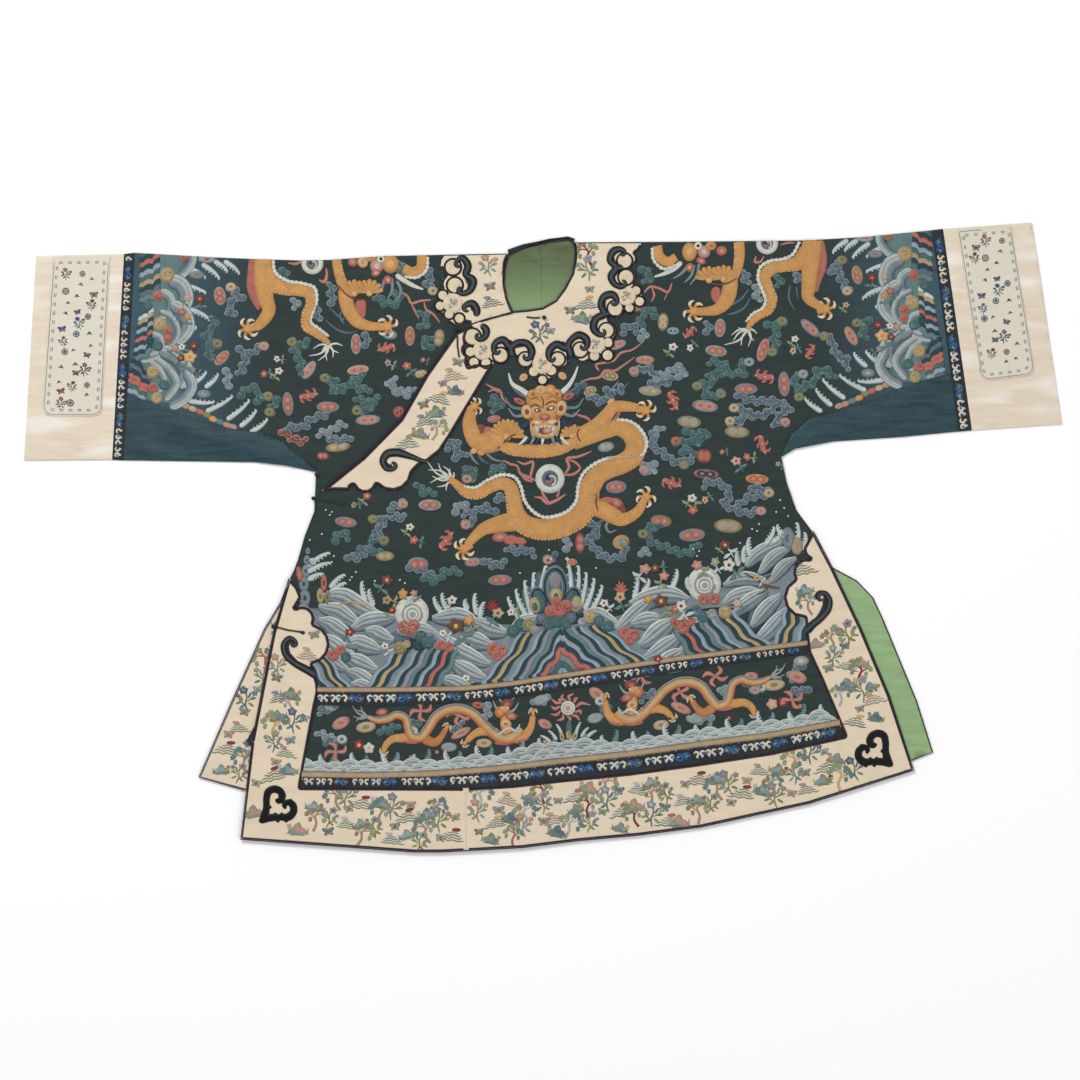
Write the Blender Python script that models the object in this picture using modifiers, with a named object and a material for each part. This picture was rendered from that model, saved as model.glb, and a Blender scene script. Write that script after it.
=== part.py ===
"""Chinese dragon robe with a side-fastening overlap, laid flat and face up.

Every cut edge is a short table in millimetres.  Its columns are across (+X), up (+Y) and bow,
which is how far the edge bulges to the right of the way to the next row.  Outlines run
counter-clockwise, so a positive bow swells the piece.  The pieces lie in layers one LIFT
apart: layer 0 is the back cloth on the table, and trims come last.  A half of the robe is
one cloth folded over the shoulder, a sleeve band is a flattened tube, and all the others
are flat outlines.  Solidify gives each its wall.
"""

import math
from collections import namedtuple

import bmesh
import bpy
from mathutils import Vector
from mathutils.geometry import delaunay_2d_cdt

MM = 0.001
COLLECTION = "chinese_dragon_robe"

# ---------------------------------------------------------------- driving dimensions, mm
CLOTH = 1.0                     # wall of one cloth
GAP = 0.3                       # clearance at a seam and between two layers
LIFT = CLOTH + GAP              # from one layer to the next
SHOULDER_INSET = 3.0            # lining stops this far below the shoulder fold
PANEL_MESH = 90.0               # spacing of the points inside a large cloth
TRIM_MESH = 60.0                # spacing of the points inside a trim
ARC_STEP = math.radians(32)     # turn of one segment on a round edge
STRAIGHT_TURN = 0.002           # a corner that turns less than this counts as straight
NUDGE = 0.02                    # and moves in by this, so that no triangle is flat
FOLD_STEPS = 4                  # segments round a folded edge
TUBE_RUNS = 3                   # segments across one face of a flattened tube
KNOT_RADIUS = 3.5
KNOT_FLATTEN = 0.8
LOOP_WIDTH = 3.0
PIPING_WIDTH = 2.0
NECK_BINDING_WIDTH = 3.5
NAPE_BINDING_WIDTH = 7.0

# Layers: the sleeve has no lining, so its upper cloth lies one layer lower.
BACK, LINING, FRONT, OVERLAP, BAND, SCROLL = range(6)
SLEEVE_STEP = (400.0, 460.0)    # upper cloth steps down here, on either sleeve
SLEEVE_FLOOR = 90.0             # what lies lower than this is body, not sleeve
CENTRE_STEP = (-60.0, 60.0)     # outer front steps down off the inner front here
BREAKS = (-460.0, -400.0, -60.0, 60.0, 400.0, 460.0)

Row = namedtuple("Row", "across up bow")
Stroke = namedtuple("Stroke", "across up bow width")


def edge(*rows):
    """A cut edge: rows of across, up and bow."""
    return [Row(*row) for row in rows]


def stroke(*rows):
    """A ribbon's middle line: rows of across, up, bow and width."""
    return [Stroke(*row) for row in rows]


# ---------------------------------------------------------------- shoulder, neck and centre
SHOULDER_RIGHT = edge((-653, 454, 1), (-389, 441, 0), (-341, 442, -2), (-165, 450, 0), (-58, 452, 0))
SHOULDER_LEFT = edge((52, 470, 0), (230, 471, 0), (411, 473, 2), (622, 490, 0))
NECK_BACK_RIGHT = edge((-58, 452, -2), (-3, 467, 0))
NECK_BACK_LEFT = edge((-3, 467, -1), (26, 472, -3), (52, 470, 0))
NECK_SIDE = edge((-50, 358, -3), (-65, 405, -3), (-58, 452, 0))
NECK_OVERLAP = edge((-50, 358, 1), (1, 364, 0))
NECK_LEFT = edge((1, 364, 5), (37, 396, 5), (54, 449, 1), (52, 470, 0))
CENTRE_FRONT = edge((1, 364, 0), (10, 98, 0), (19, -100, 0), (40, -273, 0), (56, -484, 0))
CENTRE_BACK = edge((-3, 467, 0), (10, -457, 0))

# ---------------------------------------------------------------- overlap, sides and hem
OVERLAP_TOP = edge((-50, 358, 0), (-96, 346, 0), (-112, 340, 0), (-139, 327, 0))
OVERLAP_SLANT = edge((-139, 327, 4), (-227, 189, -5), (-354, 74, 0))
SIDE_RIGHT_UPPER = edge((-354, 74, 0), (-363, 41, 2), (-390, -36, 0), (-405, -66, 0))
SIDE_RIGHT_LOWER = edge((-405, -66, 0), (-430, -154, 0), (-464, -327, 0), (-483, -482, 0))
SIDE_LEFT_LOWER = edge((592, -372, 0), (552, -252, 0), (507, -145, 0), (462, -50, 0), (431, 9, 0))
SIDE_LEFT_UPPER = edge((431, 9, 0), (405, 44, -3), (381, 130, 0))
HEM_RIGHT = edge((-483, -482, 0), (-205, -502, 1), (-123, -500, 0))
HEM_MIDDLE = edge((-123, -500, 3), (56, -484, 0))
HEM_LEFT = edge((56, -484, 2), (253, -462, 8), (592, -372, 0))
BACK_SIDE_RIGHT = edge((-363, 106, 0), (-366, 41, 2), (-392, -36, 0), (-412, -102, 0),
                       (-425, -200, 0), (-445, -440, 0))
BACK_SLIT_LEFT = edge((622, -344, 0), (596, -262, 0), (542, -131, 6), (501, -71, 0), (462, -50, 0))
BACK_SIDE_LEFT = edge((462, -50, 0), (431, 9, 0), (405, 44, -3), (381, 130, 0))
HEM_BACK_RIGHT = edge((-445, -440, 0), (-205, -466, 4), (10, -457, 0))
HEM_BACK_LEFT = edge((10, -457, 3), (253, -432, 6), (589, -356, 0), (622, -344, 0))
UNDERLAP_SIDE = edge((-363, 106, 0), (-366, 41, 2), (-392, -36, 0), (-409, -80, 0))
UNDERLAP_SLIT = edge((-409, -80, 0), (-419, -106, 0), (-444, -147, 0), (-495, -260, 0),
                     (-549, -384, 0))
UNDERLAP_HEM = edge((-549, -384, 0), (-478, -403, 4), (-300, -436, 4), (-62, -455, 0))
UNDERLAP_SEAM = edge((-409, -80, 0), (-396, -160, 0), (-437, -262, 0), (-474, -330, 0),
                     (-62, -390, 0))
UNDERLAP_INNER = edge((-62, -390, 0), (-62, 330, 0), (-50, 358, 0))

# ---------------------------------------------------------------- sleeves
GORE_RIGHT_TOP = edge((-665, 231, 0), (-602, 204, 0), (-517, 178, 2), (-450, 167, -5),
                      (-389, 129, 0), (-363, 106, 0))
GORE_RIGHT_FOLD = edge((-671, 124, 0), (-461, 121, 0), (-411, 116, 0), (-363, 106, 0))
GORE_LEFT_TOP = edge((381, 130, -8), (426, 190, 0), (464, 198, 3), (566, 236, 0), (652, 263, 0))
GORE_LEFT_FOLD = edge((381, 130, 0), (403, 143, 0), (464, 154, 0), (570, 161, 0), (664, 170, 0))
Band = namedtuple("Band", "node slot inner_top inner_foot outer_top outer_foot")
SLEEVE_BANDS = (
    Band("sleeve_ribbon_right", "ribbon", (-653, 454), (-671, 124), (-670, 452), (-689, 125)),
    Band("cuff_right", "cuff_silk", (-670, 452), (-689, 125), (-811, 449), (-830, 124)),
    Band("sleeve_ribbon_left", "ribbon", (622, 490), (664, 170), (640, 492), (686, 172)),
    Band("cuff_left", "cuff_silk", (640, 492), (686, 172), (782, 502), (830, 182)),
)
CUFF_PANEL_RIGHT = edge((-783, 448, 0), (-800, 212, 6), (-786, 194, 0), (-719, 194, 6),
                        (-705, 212, 0), (-692, 449, 0))
CUFF_PANEL_LEFT = edge((663, 491, 0), (699, 270, 6), (713, 251, 0), (772, 258, 6),
                       (785, 276, 0), (748, 498, 0))

# ---------------------------------------------------------------- cloud collar and bands
COLLAR_LEFT_HEADS = edge(
    (-112, 340, 6), (-123, 307, 6), (-119, 291, 3), (-119, 272, -2), (-101, 277, 4), (-80, 281, 6),
    (-57, 287, -3), (-41, 288, 9), (-27, 271, 6), (-13, 252, -1), (0, 242, -1), (12, 252, 6),
    (25, 271, 9), (39, 288, -3), (52, 286, 6), (73, 283, 4), (91, 287, -2), (112, 282, -1),
    (108, 301, 4), (113, 315, 9), (106, 346, -2), (108, 357, 9), (129, 363, 4), (145, 368, -2),
    (163, 366, 0), (155, 398, 3), (144, 406, 8), (139, 431, -2), (141, 434, 7), (146, 455, 3),
    (157, 470, 0))
COLLAR_SHOULDER_LEFT = edge((157, 470, 0), (52, 470, 0))
COLLAR_SHOULDER_RIGHT = edge((-60, 452, 0), (-158, 450, 0))
COLLAR_RIGHT_HEADS = edge((-158, 450, 7), (-155, 419, 7), (-156, 391, 2), (-166, 380, 4),
                          (-161, 354, 3), (-149, 343, 7), (-124, 345, 0), (-112, 342, 0),
                          (-96, 348, 0), (-52, 360, 0))
BAND_FOOT = edge((-354, 74, -1), (-310, 75, -2), (-303, 84, 14), (-266, 85, 20), (-209, 104, -3),
                 (-185, 121, 3))
BAND_SIDE = edge((-185, 121, 4), (-150, 159, 0), (-79, 277, 0))
SLIT_HEAD_RIGHT = edge((-360, -234, 0), (-369, -203, 27), (-367, -139, 15), (-397, -114, 0),
                       (-386, -96, 3), (-405, -66, 0))
SLIT_INNER_RIGHT = edge((-388, -400, 0), (-385, -382, 0), (-364, -269, 0), (-359, -247, 0),
                        (-360, -234, 0))
SLIT_HEAD_LEFT = edge((431, 9, 0), (417, -17, 4), (428, -35, 14), (403, -67, 26), (419, -129, 0),
                      (421, -156, 0))
SLIT_INNER_LEFT = edge((421, -156, 0), (423, -172, 0), (425, -185, 0), (445, -228, 0),
                       (475, -299, 0), (483, -318, 0))
HEM_BAND_RIGHT = edge((-388, -400, 0), (-123, -401, 0))
HEM_BAND_LEFT = edge((-123, -401, 2), (27, -388, 2), (248, -362, 4), (483, -318, 0))
HEM_BAND_SEAM = edge((-123, -500, 0), (-123, -401, 0))
UPPER_RIBBON_TOP = edge((-359, -247, 1), (-124, -245, 2), (27, -225, 0), (217, -197, 0),
                        (423, -172, 0))
UPPER_RIBBON_FOOT = edge((-364, -269, 2), (-163, -266, 3), (27, -245, 0), (217, -214, 0),
                         (425, -185, 0))
LOWER_RIBBON_TOP = edge((-385, -382, 2), (-176, -381, 2), (27, -361, 2), (249, -334, 3),
                        (475, -299, 0))

CUT_SCROLLS = {
    "collar_scroll_1": (BAND, stroke(
        (-138, 441, -7, 6), (-121, 435, -4, 9), (-124, 421, 0, 7), (-119, 410, -9, 9),
        (-133, 391, 0, 6))),
    "collar_scroll_2_upper": (BAND, stroke(
        (-125, 371, -5, 7), (-111, 366, -2, 10), (-107, 355, 0, 8))),
    "collar_scroll_2_lower": (SCROLL, stroke(
        (-98, 338, -4, 8), (-93, 327, -5, 9), (-101, 318, 0, 6))),
    "collar_scroll_3": (SCROLL, stroke(
        (-75, 302, -8, 6), (-61, 313, -2, 9), (-46, 306, 0, 8), (-32, 309, -8, 9),
        (-18, 290, 0, 6))),
    "collar_scroll_4": (SCROLL, stroke(
        (11, 291, -8, 6), (25, 308, -2, 9), (40, 306, 0, 8), (49, 319, -8, 9), (66, 309, 0, 6))),
    "collar_scroll_5": (SCROLL, stroke(
        (90, 327, -8, 6), (86, 350, 0, 9), (97, 360, 0, 7), (96, 377, -9, 9), (117, 381, 0, 6))),
    "collar_scroll_6": (SCROLL, stroke(
        (127, 404, -7, 6), (111, 419, 0, 9), (115, 432, 0, 7), (109, 449, -9, 9),
        (126, 457, 0, 6))),
    "overlap_scroll": (SCROLL, stroke(
        (-242, 114, -5, 5), (-254, 128, -5, 9), (-234, 134, 0, 10), (-189, 121, 0, 3))),
    "slit_scroll_right": (SCROLL, stroke(
        (-394, -173, 8, 6), (-410, -177, 2, 8), (-402, -194, 3, 9), (-371, -217, 0, 10))),
    "slit_scroll_left": (SCROLL, stroke(
        (437, -97, -9, 6), (452, -97, -2, 8), (446, -122, -1, 9), (424, -150, 0, 10))),
}
CORNER_RIGHT = stroke((-421, -413, 10, 5), (-440, -413, 0, 9), (-444, -447, 0, 11),
                      (-416, -451, 5, 9), (-402, -437, 5, 8), (-412, -431, 0, 5))
CORNER_LEFT = stroke((521, -329, -9, 5), (536, -321, 0, 9), (551, -350, 0, 11),
                     (528, -360, -5, 9), (507, -350, -5, 8), (517, -342, 0, 5))
Knot = namedtuple("Knot", "node across up layer")
KNOTS = (
    Knot("neck_button", 2, 351, SCROLL),
    Knot("chest_button", -139, 333, OVERLAP),
    Knot("underarm_button_upper", -362, 100, OVERLAP),
    Knot("underarm_button_lower", -367, 62, OVERLAP),
    Knot("slit_button", -431, -143, SCROLL),
)
LOOPS = {
    "neck_loop": (SCROLL, stroke((-26, 352, 1, LOOP_WIDTH), (-5, 351, 0, LOOP_WIDTH))),
    "chest_loop": (SCROLL, stroke((-137, 322, 1, LOOP_WIDTH), (-134, 288, 0, LOOP_WIDTH))),
    "underarm_loop": (BAND, stroke((-360, 62, 1, LOOP_WIDTH), (-318, 52, 0, LOOP_WIDTH))),
    "slit_loop": (SCROLL, stroke((-425, -144, 1, LOOP_WIDTH), (-390, -151, 0, LOOP_WIDTH),
                                 (-382, -153, 0, 2 * LOOP_WIDTH))),
}

# ---------------------------------------------------------------- finishes
Finish = namedtuple("Finish", "colour roughness")
FINISHES = {
    "ground_silk": Finish((0.028, 0.042, 0.041), 0.55),
    "gore_silk": Finish((0.020, 0.055, 0.075), 0.40),
    "cuff_silk": Finish((0.80, 0.64, 0.45), 0.38),
    "ivory_silk": Finish((0.77, 0.65, 0.46), 0.50),
    "black_satin": Finish((0.012, 0.012, 0.016), 0.35),
    "ribbon": Finish((0.010, 0.020, 0.060), 0.50),
    "piping": Finish((0.030, 0.012, 0.022), 0.50),
    "lining_silk": Finish((0.22, 0.43, 0.20), 0.45),
}


# ---------------------------------------------------------------- plan geometry
def arc_between(start, end, bow):
    """Points after start and before end, on an arc that bulges bow to the right."""
    chord = end - start
    half_turn = 2 * math.atan2(2 * abs(bow), chord.length)
    count = max(2, math.ceil(2 * half_turn / ARC_STEP))
    radius = chord.length / (2 * math.sin(half_turn))
    right = Vector((chord.y, -chord.x)).normalized() * math.copysign(1, bow)
    centre = (start + end) / 2 + right * (abs(bow) - radius)
    points = []
    for step in range(1, count):
        turn = 2 * half_turn * step / count * math.copysign(1, bow)
        spoke = start - centre
        cos_turn = math.cos(turn)
        sin_turn = math.sin(turn)
        points.append(centre + Vector((spoke.x * cos_turn - spoke.y * sin_turn,
                                       spoke.x * sin_turn + spoke.y * cos_turn)))
    return points


def trace(rows):
    """The points of an edge, with its bows turned into arcs."""
    corners = [Vector((row.across, row.up)) for row in rows]
    points = [corners[0]]
    for row, start, end in zip(rows, corners, corners[1:]):
        if row.bow:
            points += arc_between(start, end, row.bow)
        points.append(end)
    return points


def join(*pieces):
    """One closed outline from traced edges; points that repeat are dropped."""
    outline = []
    for piece in pieces:
        for point in piece:
            if not outline or (point - outline[-1]).length > GAP:
                outline.append(point)
    if (outline[0] - outline[-1]).length < GAP:
        outline.pop()
    return outline


def with_breaks(outline):
    """Adds a point wherever the outline crosses the foot or the top of a step."""
    points = []
    for start, end in zip(outline, outline[1:] + outline[:1]):
        points.append(start)
        span = end.x - start.x
        shares = [(at - start.x) / span for at in BREAKS if span and 0 < (at - start.x) / span < 1]
        for share in sorted(shares):
            point = start.lerp(end, share)
            if min((point - start).length, (point - end).length) > GAP:
                points.append(point)
    return points


def inset(outline, distance=GAP / 2):
    """The outline moved inwards, so that neighbours keep a seam's gap."""
    moved = []
    for before, here, after in zip(outline[-1:] + outline[:-1], outline, outline[1:] + outline[:1]):
        arriving = (here - before).normalized()
        leaving = (after - here).normalized()
        inward = Vector((-arriving.y - leaving.y, arriving.x + leaving.x))
        if inward.length < 0.3:
            moved.append(here + (arriving - leaving).normalized() * -distance * 3)
            continue
        inward.normalize()
        reach = max(0.35, inward.dot(Vector((-leaving.y, leaving.x))))
        straight = abs(arriving.cross(leaving)) < STRAIGHT_TURN
        moved.append(here + inward * (distance / reach + (NUDGE if straight else 0)))
    return moved


def shifted(points, distance):
    """An open line of points moved to the right of its way by a distance."""
    moved = []
    for index, here in enumerate(points):
        before = points[max(index - 1, 0)]
        after = points[min(index + 1, len(points) - 1)]
        way = (after - before).normalized()
        moved.append(here + Vector((way.y, -way.x)) * distance)
    return moved


def trimmed(points, length):
    """An open line with a length cut off each end."""
    start = points[0] + (points[1] - points[0]).normalized() * length
    end = points[-1] + (points[-2] - points[-1]).normalized() * length
    return [start] + points[1:-1] + [end]


def strip_beside(points, width):
    """Outline of a binding that lies to the right of a line, one gap off it."""
    return join(shifted(points, GAP + width), shifted(points, GAP / 2)[::-1])


def ribbon_outline(rows):
    """Outline of a ribbon of varying width round its middle line, with round ends."""
    middle = []
    widths = []
    for row, following in zip(rows, rows[1:]):
        run = trace([row, following])[:-1]
        for step, point in enumerate(run):
            middle.append(point)
            widths.append(row.width + (following.width - row.width) * step / len(run))
    middle.append(Vector((rows[-1].across, rows[-1].up)))
    widths.append(rows[-1].width)
    right = []
    left = []
    for index, here in enumerate(middle):
        before = middle[max(index - 1, 0)]
        after = middle[min(index + 1, len(middle) - 1)]
        way = (after - before).normalized()
        side = Vector((way.y, -way.x)) * widths[index] / 2
        right.append(here + side)
        left.append(here - side)
    tip = middle[-1] + (middle[-1] - middle[-2]).normalized() * widths[-1] * 0.3
    tail = middle[0] + (middle[0] - middle[1]).normalized() * widths[0] * 0.3
    return join([tail], right, [tip], left[::-1])


def inside(point, outline):
    """Whether a point lies inside an outline."""
    within = False
    for start, end in zip(outline, outline[1:] + outline[:1]):
        if (start.y > point.y) != (end.y > point.y):
            share = (point.y - start.y) / (end.y - start.y)
            if point.x < start.x + share * (end.x - start.x):
                within = not within
    return within


def off_edge(point, outline):
    """Distance from a point to an outline."""
    nearest = math.inf
    for start, end in zip(outline, outline[1:] + outline[:1]):
        span = end - start
        share = max(0.0, min(1.0, (point - start).dot(span) / span.length_squared))
        nearest = min(nearest, (point - start - span * share).length)
    return nearest


# ---------------------------------------------------------------- layers
def ramp(value, start, end):
    """0 before start, 1 after end, and straight between."""
    return max(0.0, min(1.0, (value - start) / (end - start)))


def sleeve_drop(x, y):
    """How many layers the sleeve's upper cloth lies lower than the body's."""
    return ramp(abs(x), *SLEEVE_STEP) if y > SLEEVE_FLOOR else 0.0


def inner_layer(x, y):
    """Layer of the cloths that lie on the lining, or in a sleeve on the back."""
    return FRONT - sleeve_drop(x, y)


def outer_layer(x, y):
    """Layer of the outer front, which lies on the inner front right of the centre."""
    return OVERLAP - ramp(x, *CENTRE_STEP) - sleeve_drop(x, y)


def raised(layer, count):
    """A layer function that lies count layers over another."""
    return lambda x, y: layer(x, y) + count


def level(count):
    """A layer function with one value everywhere."""
    return lambda x, y: count


# ---------------------------------------------------------------- meshes
def step_rails(outline):
    """Pairs of outline points with a step's foot or top line between them."""
    rails = []
    for at in BREAKS:
        crossings = sorted((i for i, point in enumerate(outline) if abs(point.x - at) < GAP),
                           key=lambda i: outline[i].y)
        for lower, upper in zip(crossings, crossings[1:]):
            if inside((outline[lower] + outline[upper]) / 2, outline):
                rails.append((lower, upper))
    return rails


def triangulate(outline, spacing):
    """Points, triangles and each point's place in the outline, with rows at the steps."""
    points = list(outline)
    count = len(outline)
    low = min(point.y for point in outline)
    high = max(point.y for point in outline)
    left = min(point.x for point in outline)
    right = max(point.x for point in outline)
    for i in range(1, math.ceil((right - left) / spacing)):
        for j in range(1, math.ceil((high - low) / spacing)):
            point = Vector((left + i * spacing, low + (j + 0.5 * (i % 2)) * spacing))
            clear = min(abs(point.x - at) for at in BREAKS) > spacing * 0.15
            if clear and inside(point, outline) and off_edge(point, outline) > spacing * 0.35:
                points.append(point)
    found = delaunay_2d_cdt(points, step_rails(outline), [list(range(count))], 1, 1e-5, True)
    plan = found[0]
    faces = [face for face in found[2] if inside(sum((plan[i] for i in face), Vector((0, 0))) / 3, outline)]
    places = [min((s for s in sources if s < count), default=None) for sources in found[3]]
    return plan, faces, places


def add_sheet(mesh, outline, layer, spacing, face_up=True):
    """Adds an outline as a sheet at its layer; returns the vertex of each outline point."""
    plan, faces, places = triangulate(outline, spacing)
    made = [mesh.verts.new((p.x, p.y, CLOTH / 2 + LIFT * layer(p.x, p.y))) for p in plan]
    for face in faces:
        corners = [made[i] for i in face]
        mesh.faces.new(corners if face_up else corners[::-1])
    return {place: made[i] for i, place in enumerate(places) if place is not None}


def fold_between(mesh, upper, lower, outwards):
    """Joins two rows of vertices by a half-round fold."""
    columns = []
    for top, foot, out in zip(upper, lower, outwards):
        middle = (top.co + foot.co) / 2
        spoke = (top.co - foot.co) / 2
        side = Vector((out.x, out.y, 0)) * spoke.length
        column = [top]
        for step in range(1, FOLD_STEPS):
            turn = math.pi * step / FOLD_STEPS
            column.append(mesh.verts.new(middle + spoke * math.cos(turn) + side * math.sin(turn)))
        columns.append(column + [foot])
    for one, other in zip(columns, columns[1:]):
        for i in range(FOLD_STEPS):
            mesh.faces.new((one[i], one[i + 1], other[i + 1], other[i]))


def finish(slot):
    """The material of a slot, made once."""
    if slot in bpy.data.materials:
        return bpy.data.materials[slot]
    material = bpy.data.materials.new(slot)
    material.use_nodes = True
    shader = material.node_tree.nodes["Principled BSDF"]
    shader.inputs["Base Color"].default_value = (*FINISHES[slot].colour, 1)
    shader.inputs["Roughness"].default_value = FINISHES[slot].roughness
    shader.inputs["Metallic"].default_value = 0
    material.diffuse_color = (*FINISHES[slot].colour, 1)
    return material


def cloth_object(name, slot, mesh, thickness=CLOTH):
    """A named object from an open surface in millimetres, thickened by Solidify."""
    bmesh.ops.recalc_face_normals(mesh, faces=mesh.faces)
    bmesh.ops.scale(mesh, vec=(MM, MM, MM), verts=mesh.verts)
    data = bpy.data.meshes.new(name)
    mesh.to_mesh(data)
    mesh.free()
    data.materials.append(finish(slot))
    made = bpy.data.objects.new(name, data)
    bpy.data.collections[COLLECTION].objects.link(made)
    wall = made.modifiers.new("wall", "SOLIDIFY")
    wall.thickness = thickness * MM
    wall.offset = 0
    wall.use_even_offset = True
    return made


# ---------------------------------------------------------------- sub-parts
def flat_piece(name, slot, outline, layer, spacing=TRIM_MESH, layers=1):
    """One flat cloth or trim; a binding can be as deep as several layers."""
    mesh = bmesh.new()
    middle = raised(layer, (layers - 1) / 2)
    add_sheet(mesh, inset(with_breaks(outline)), middle, spacing)
    return cloth_object(name, slot, mesh, CLOTH + (layers - 1) * LIFT)


def folded_piece(name, slot, upper, lower, fold, layer, spacing):
    """One cloth folded along an edge that its upper and its lower outline share."""
    mesh = bmesh.new()
    rows = []
    outwards = []
    for outline, height, face_up in ((upper, layer, True), (lower, level(BACK), False)):
        dense = with_breaks(outline)
        sheet = add_sheet(mesh, inset(dense), height, spacing, face_up)
        on_fold = [i for i, point in enumerate(dense) if off_line(point, fold) < 1e-3]
        on_fold.sort(key=lambda i: (dense[i] - fold[0]).length)
        rows.append([sheet[i] for i in on_fold])
        outwards = [fold_normal(dense[i], fold) for i in on_fold]
    fold_between(mesh, rows[0], rows[1], outwards)
    return cloth_object(name, slot, mesh)


def off_line(point, line):
    """Distance from a point to an open line."""
    nearest = math.inf
    for start, end in zip(line, line[1:]):
        span = end - start
        share = max(0.0, min(1.0, (point - start).dot(span) / span.length_squared))
        nearest = min(nearest, (point - start - span * share).length)
    return nearest


def fold_normal(point, fold):
    """The way out of the cloth at a point of a fold that runs with the cloth on its right."""
    nearest = min(range(len(fold)), key=lambda i: (fold[i] - point).length)
    before = fold[max(nearest - 1, 0)]
    after = fold[min(nearest + 1, len(fold) - 1)]
    way = (after - before).normalized()
    return Vector((-way.y, way.x))


def halves():
    """The two halves, each cut in one from front hem over the shoulder to back hem."""
    shoulder = trace(SHOULDER_RIGHT)
    sleeve_end = [Vector(SLEEVE_BANDS[0].inner_top)]
    front = join(shoulder[::-1], sleeve_end, trace(GORE_RIGHT_TOP), trace(UNDERLAP_SIDE),
                 trace(UNDERLAP_SEAM), trace(UNDERLAP_INNER), trace(NECK_SIDE))
    back = join(shoulder[::-1], sleeve_end, trace(GORE_RIGHT_TOP), trace(BACK_SIDE_RIGHT),
                trace(HEM_BACK_RIGHT), trace(CENTRE_BACK)[::-1], trace(NECK_BACK_RIGHT)[::-1])
    folded_piece("right_half", "ground_silk", front, back, shoulder, inner_layer, PANEL_MESH)

    shoulder = trace(SHOULDER_LEFT)
    front = join(shoulder[::-1], trace(NECK_LEFT)[::-1], trace(CENTRE_FRONT), trace(HEM_LEFT),
                 trace(SIDE_LEFT_LOWER), trace(SIDE_LEFT_UPPER), trace(GORE_LEFT_TOP))
    back = join(shoulder[::-1], trace(NECK_BACK_LEFT)[::-1], trace(CENTRE_BACK),
                trace(HEM_BACK_LEFT), trace(BACK_SLIT_LEFT), trace(BACK_SIDE_LEFT),
                trace(GORE_LEFT_TOP))
    folded_piece("left_half", "ground_silk", front, back, shoulder, outer_layer, PANEL_MESH)


def overlap_front():
    """The outer right front, from the centre seam to the slanting overlap edge."""
    outline = join(trace(NECK_OVERLAP)[::-1], trace(OVERLAP_TOP), trace(OVERLAP_SLANT),
                   trace(SIDE_RIGHT_UPPER), trace(SIDE_RIGHT_LOWER), trace(HEM_RIGHT),
                   trace(HEM_MIDDLE), trace(CENTRE_FRONT)[::-1])
    flat_piece("overlap_front", "ground_silk", outline, outer_layer, PANEL_MESH)


def gores():
    """Plain silk gores, folded under the sleeves."""
    fold = trace(GORE_RIGHT_FOLD)
    outline = join(fold, trace(GORE_RIGHT_TOP)[::-1])
    folded_piece("gore_right", "gore_silk", outline, outline, fold[::-1], inner_layer, TRIM_MESH)
    fold = trace(GORE_LEFT_FOLD)
    outline = join(fold, trace(GORE_LEFT_TOP)[::-1])
    folded_piece("gore_left", "gore_silk", outline, outline, fold[::-1], outer_layer, TRIM_MESH)


def sleeve_band(band):
    """A ribbon or cuff round a sleeve: a flattened tube from its seam to its open end."""
    mesh = bmesh.new()
    radius = LIFT / 2
    rings = []
    for top, foot, into in ((band.inner_top, band.inner_foot, 1), (band.outer_top, band.outer_foot, -1)):
        outwards = math.copysign(1, band.outer_top[0] - band.inner_top[0])
        shift = Vector((outwards * into * GAP / 2, 0))
        high = Vector(top) + shift
        low = Vector(foot) + shift
        way = (high - low).normalized()
        ring = []
        for start, end, height in ((high, low, LIFT), (low, high, 0.0)):
            for step in range(TUBE_RUNS + 1):
                point = start.lerp(end, step / TUBE_RUNS)
                ring.append(mesh.verts.new((point.x, point.y, CLOTH / 2 + height)))
            out = (end - start).normalized()
            for step in range(1, FOLD_STEPS):
                turn = math.pi * step / FOLD_STEPS
                rise = radius * math.cos(turn) * (1 if height else -1)
                point = end + out * radius * math.sin(turn)
                ring.append(mesh.verts.new((point.x, point.y, CLOTH / 2 + radius + rise)))
        rings.append(ring)
    count = len(rings[0])
    for i in range(count):
        following = (i + 1) % count
        mesh.faces.new((rings[0][i], rings[1][i], rings[1][following], rings[0][following]))
    cloth_object(band.node, band.slot, mesh)


def linings():
    """The green back lining in its two halves, seen through the neck and at the slit."""
    for node, shoulder, armhole, rest in (
            ("lining_right", SHOULDER_RIGHT, (-395, 430), (
                trace(BACK_SIDE_RIGHT), trace(HEM_BACK_RIGHT), trace(CENTRE_BACK)[::-1],
                trace(NECK_BACK_RIGHT)[::-1])),
            ("lining_left", SHOULDER_LEFT, (395, 460), (
                trace(NECK_BACK_LEFT)[::-1], trace(CENTRE_BACK), trace(HEM_BACK_LEFT),
                trace(BACK_SLIT_LEFT), trace(BACK_SIDE_LEFT)))):
        body = [p for p in trace(shoulder) if abs(p.x) < SLEEVE_STEP[0] - SHOULDER_INSET]
        top = [Vector((p.x, p.y - SHOULDER_INSET)) for p in body][::-1]
        corner = [Vector(armhole)]
        if node == "lining_right":
            outline = join(top, corner, *rest)
        else:
            outline = join(corner, top, *rest)
        flat_piece(node, "lining_silk", outline, level(LINING), PANEL_MESH)


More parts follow.
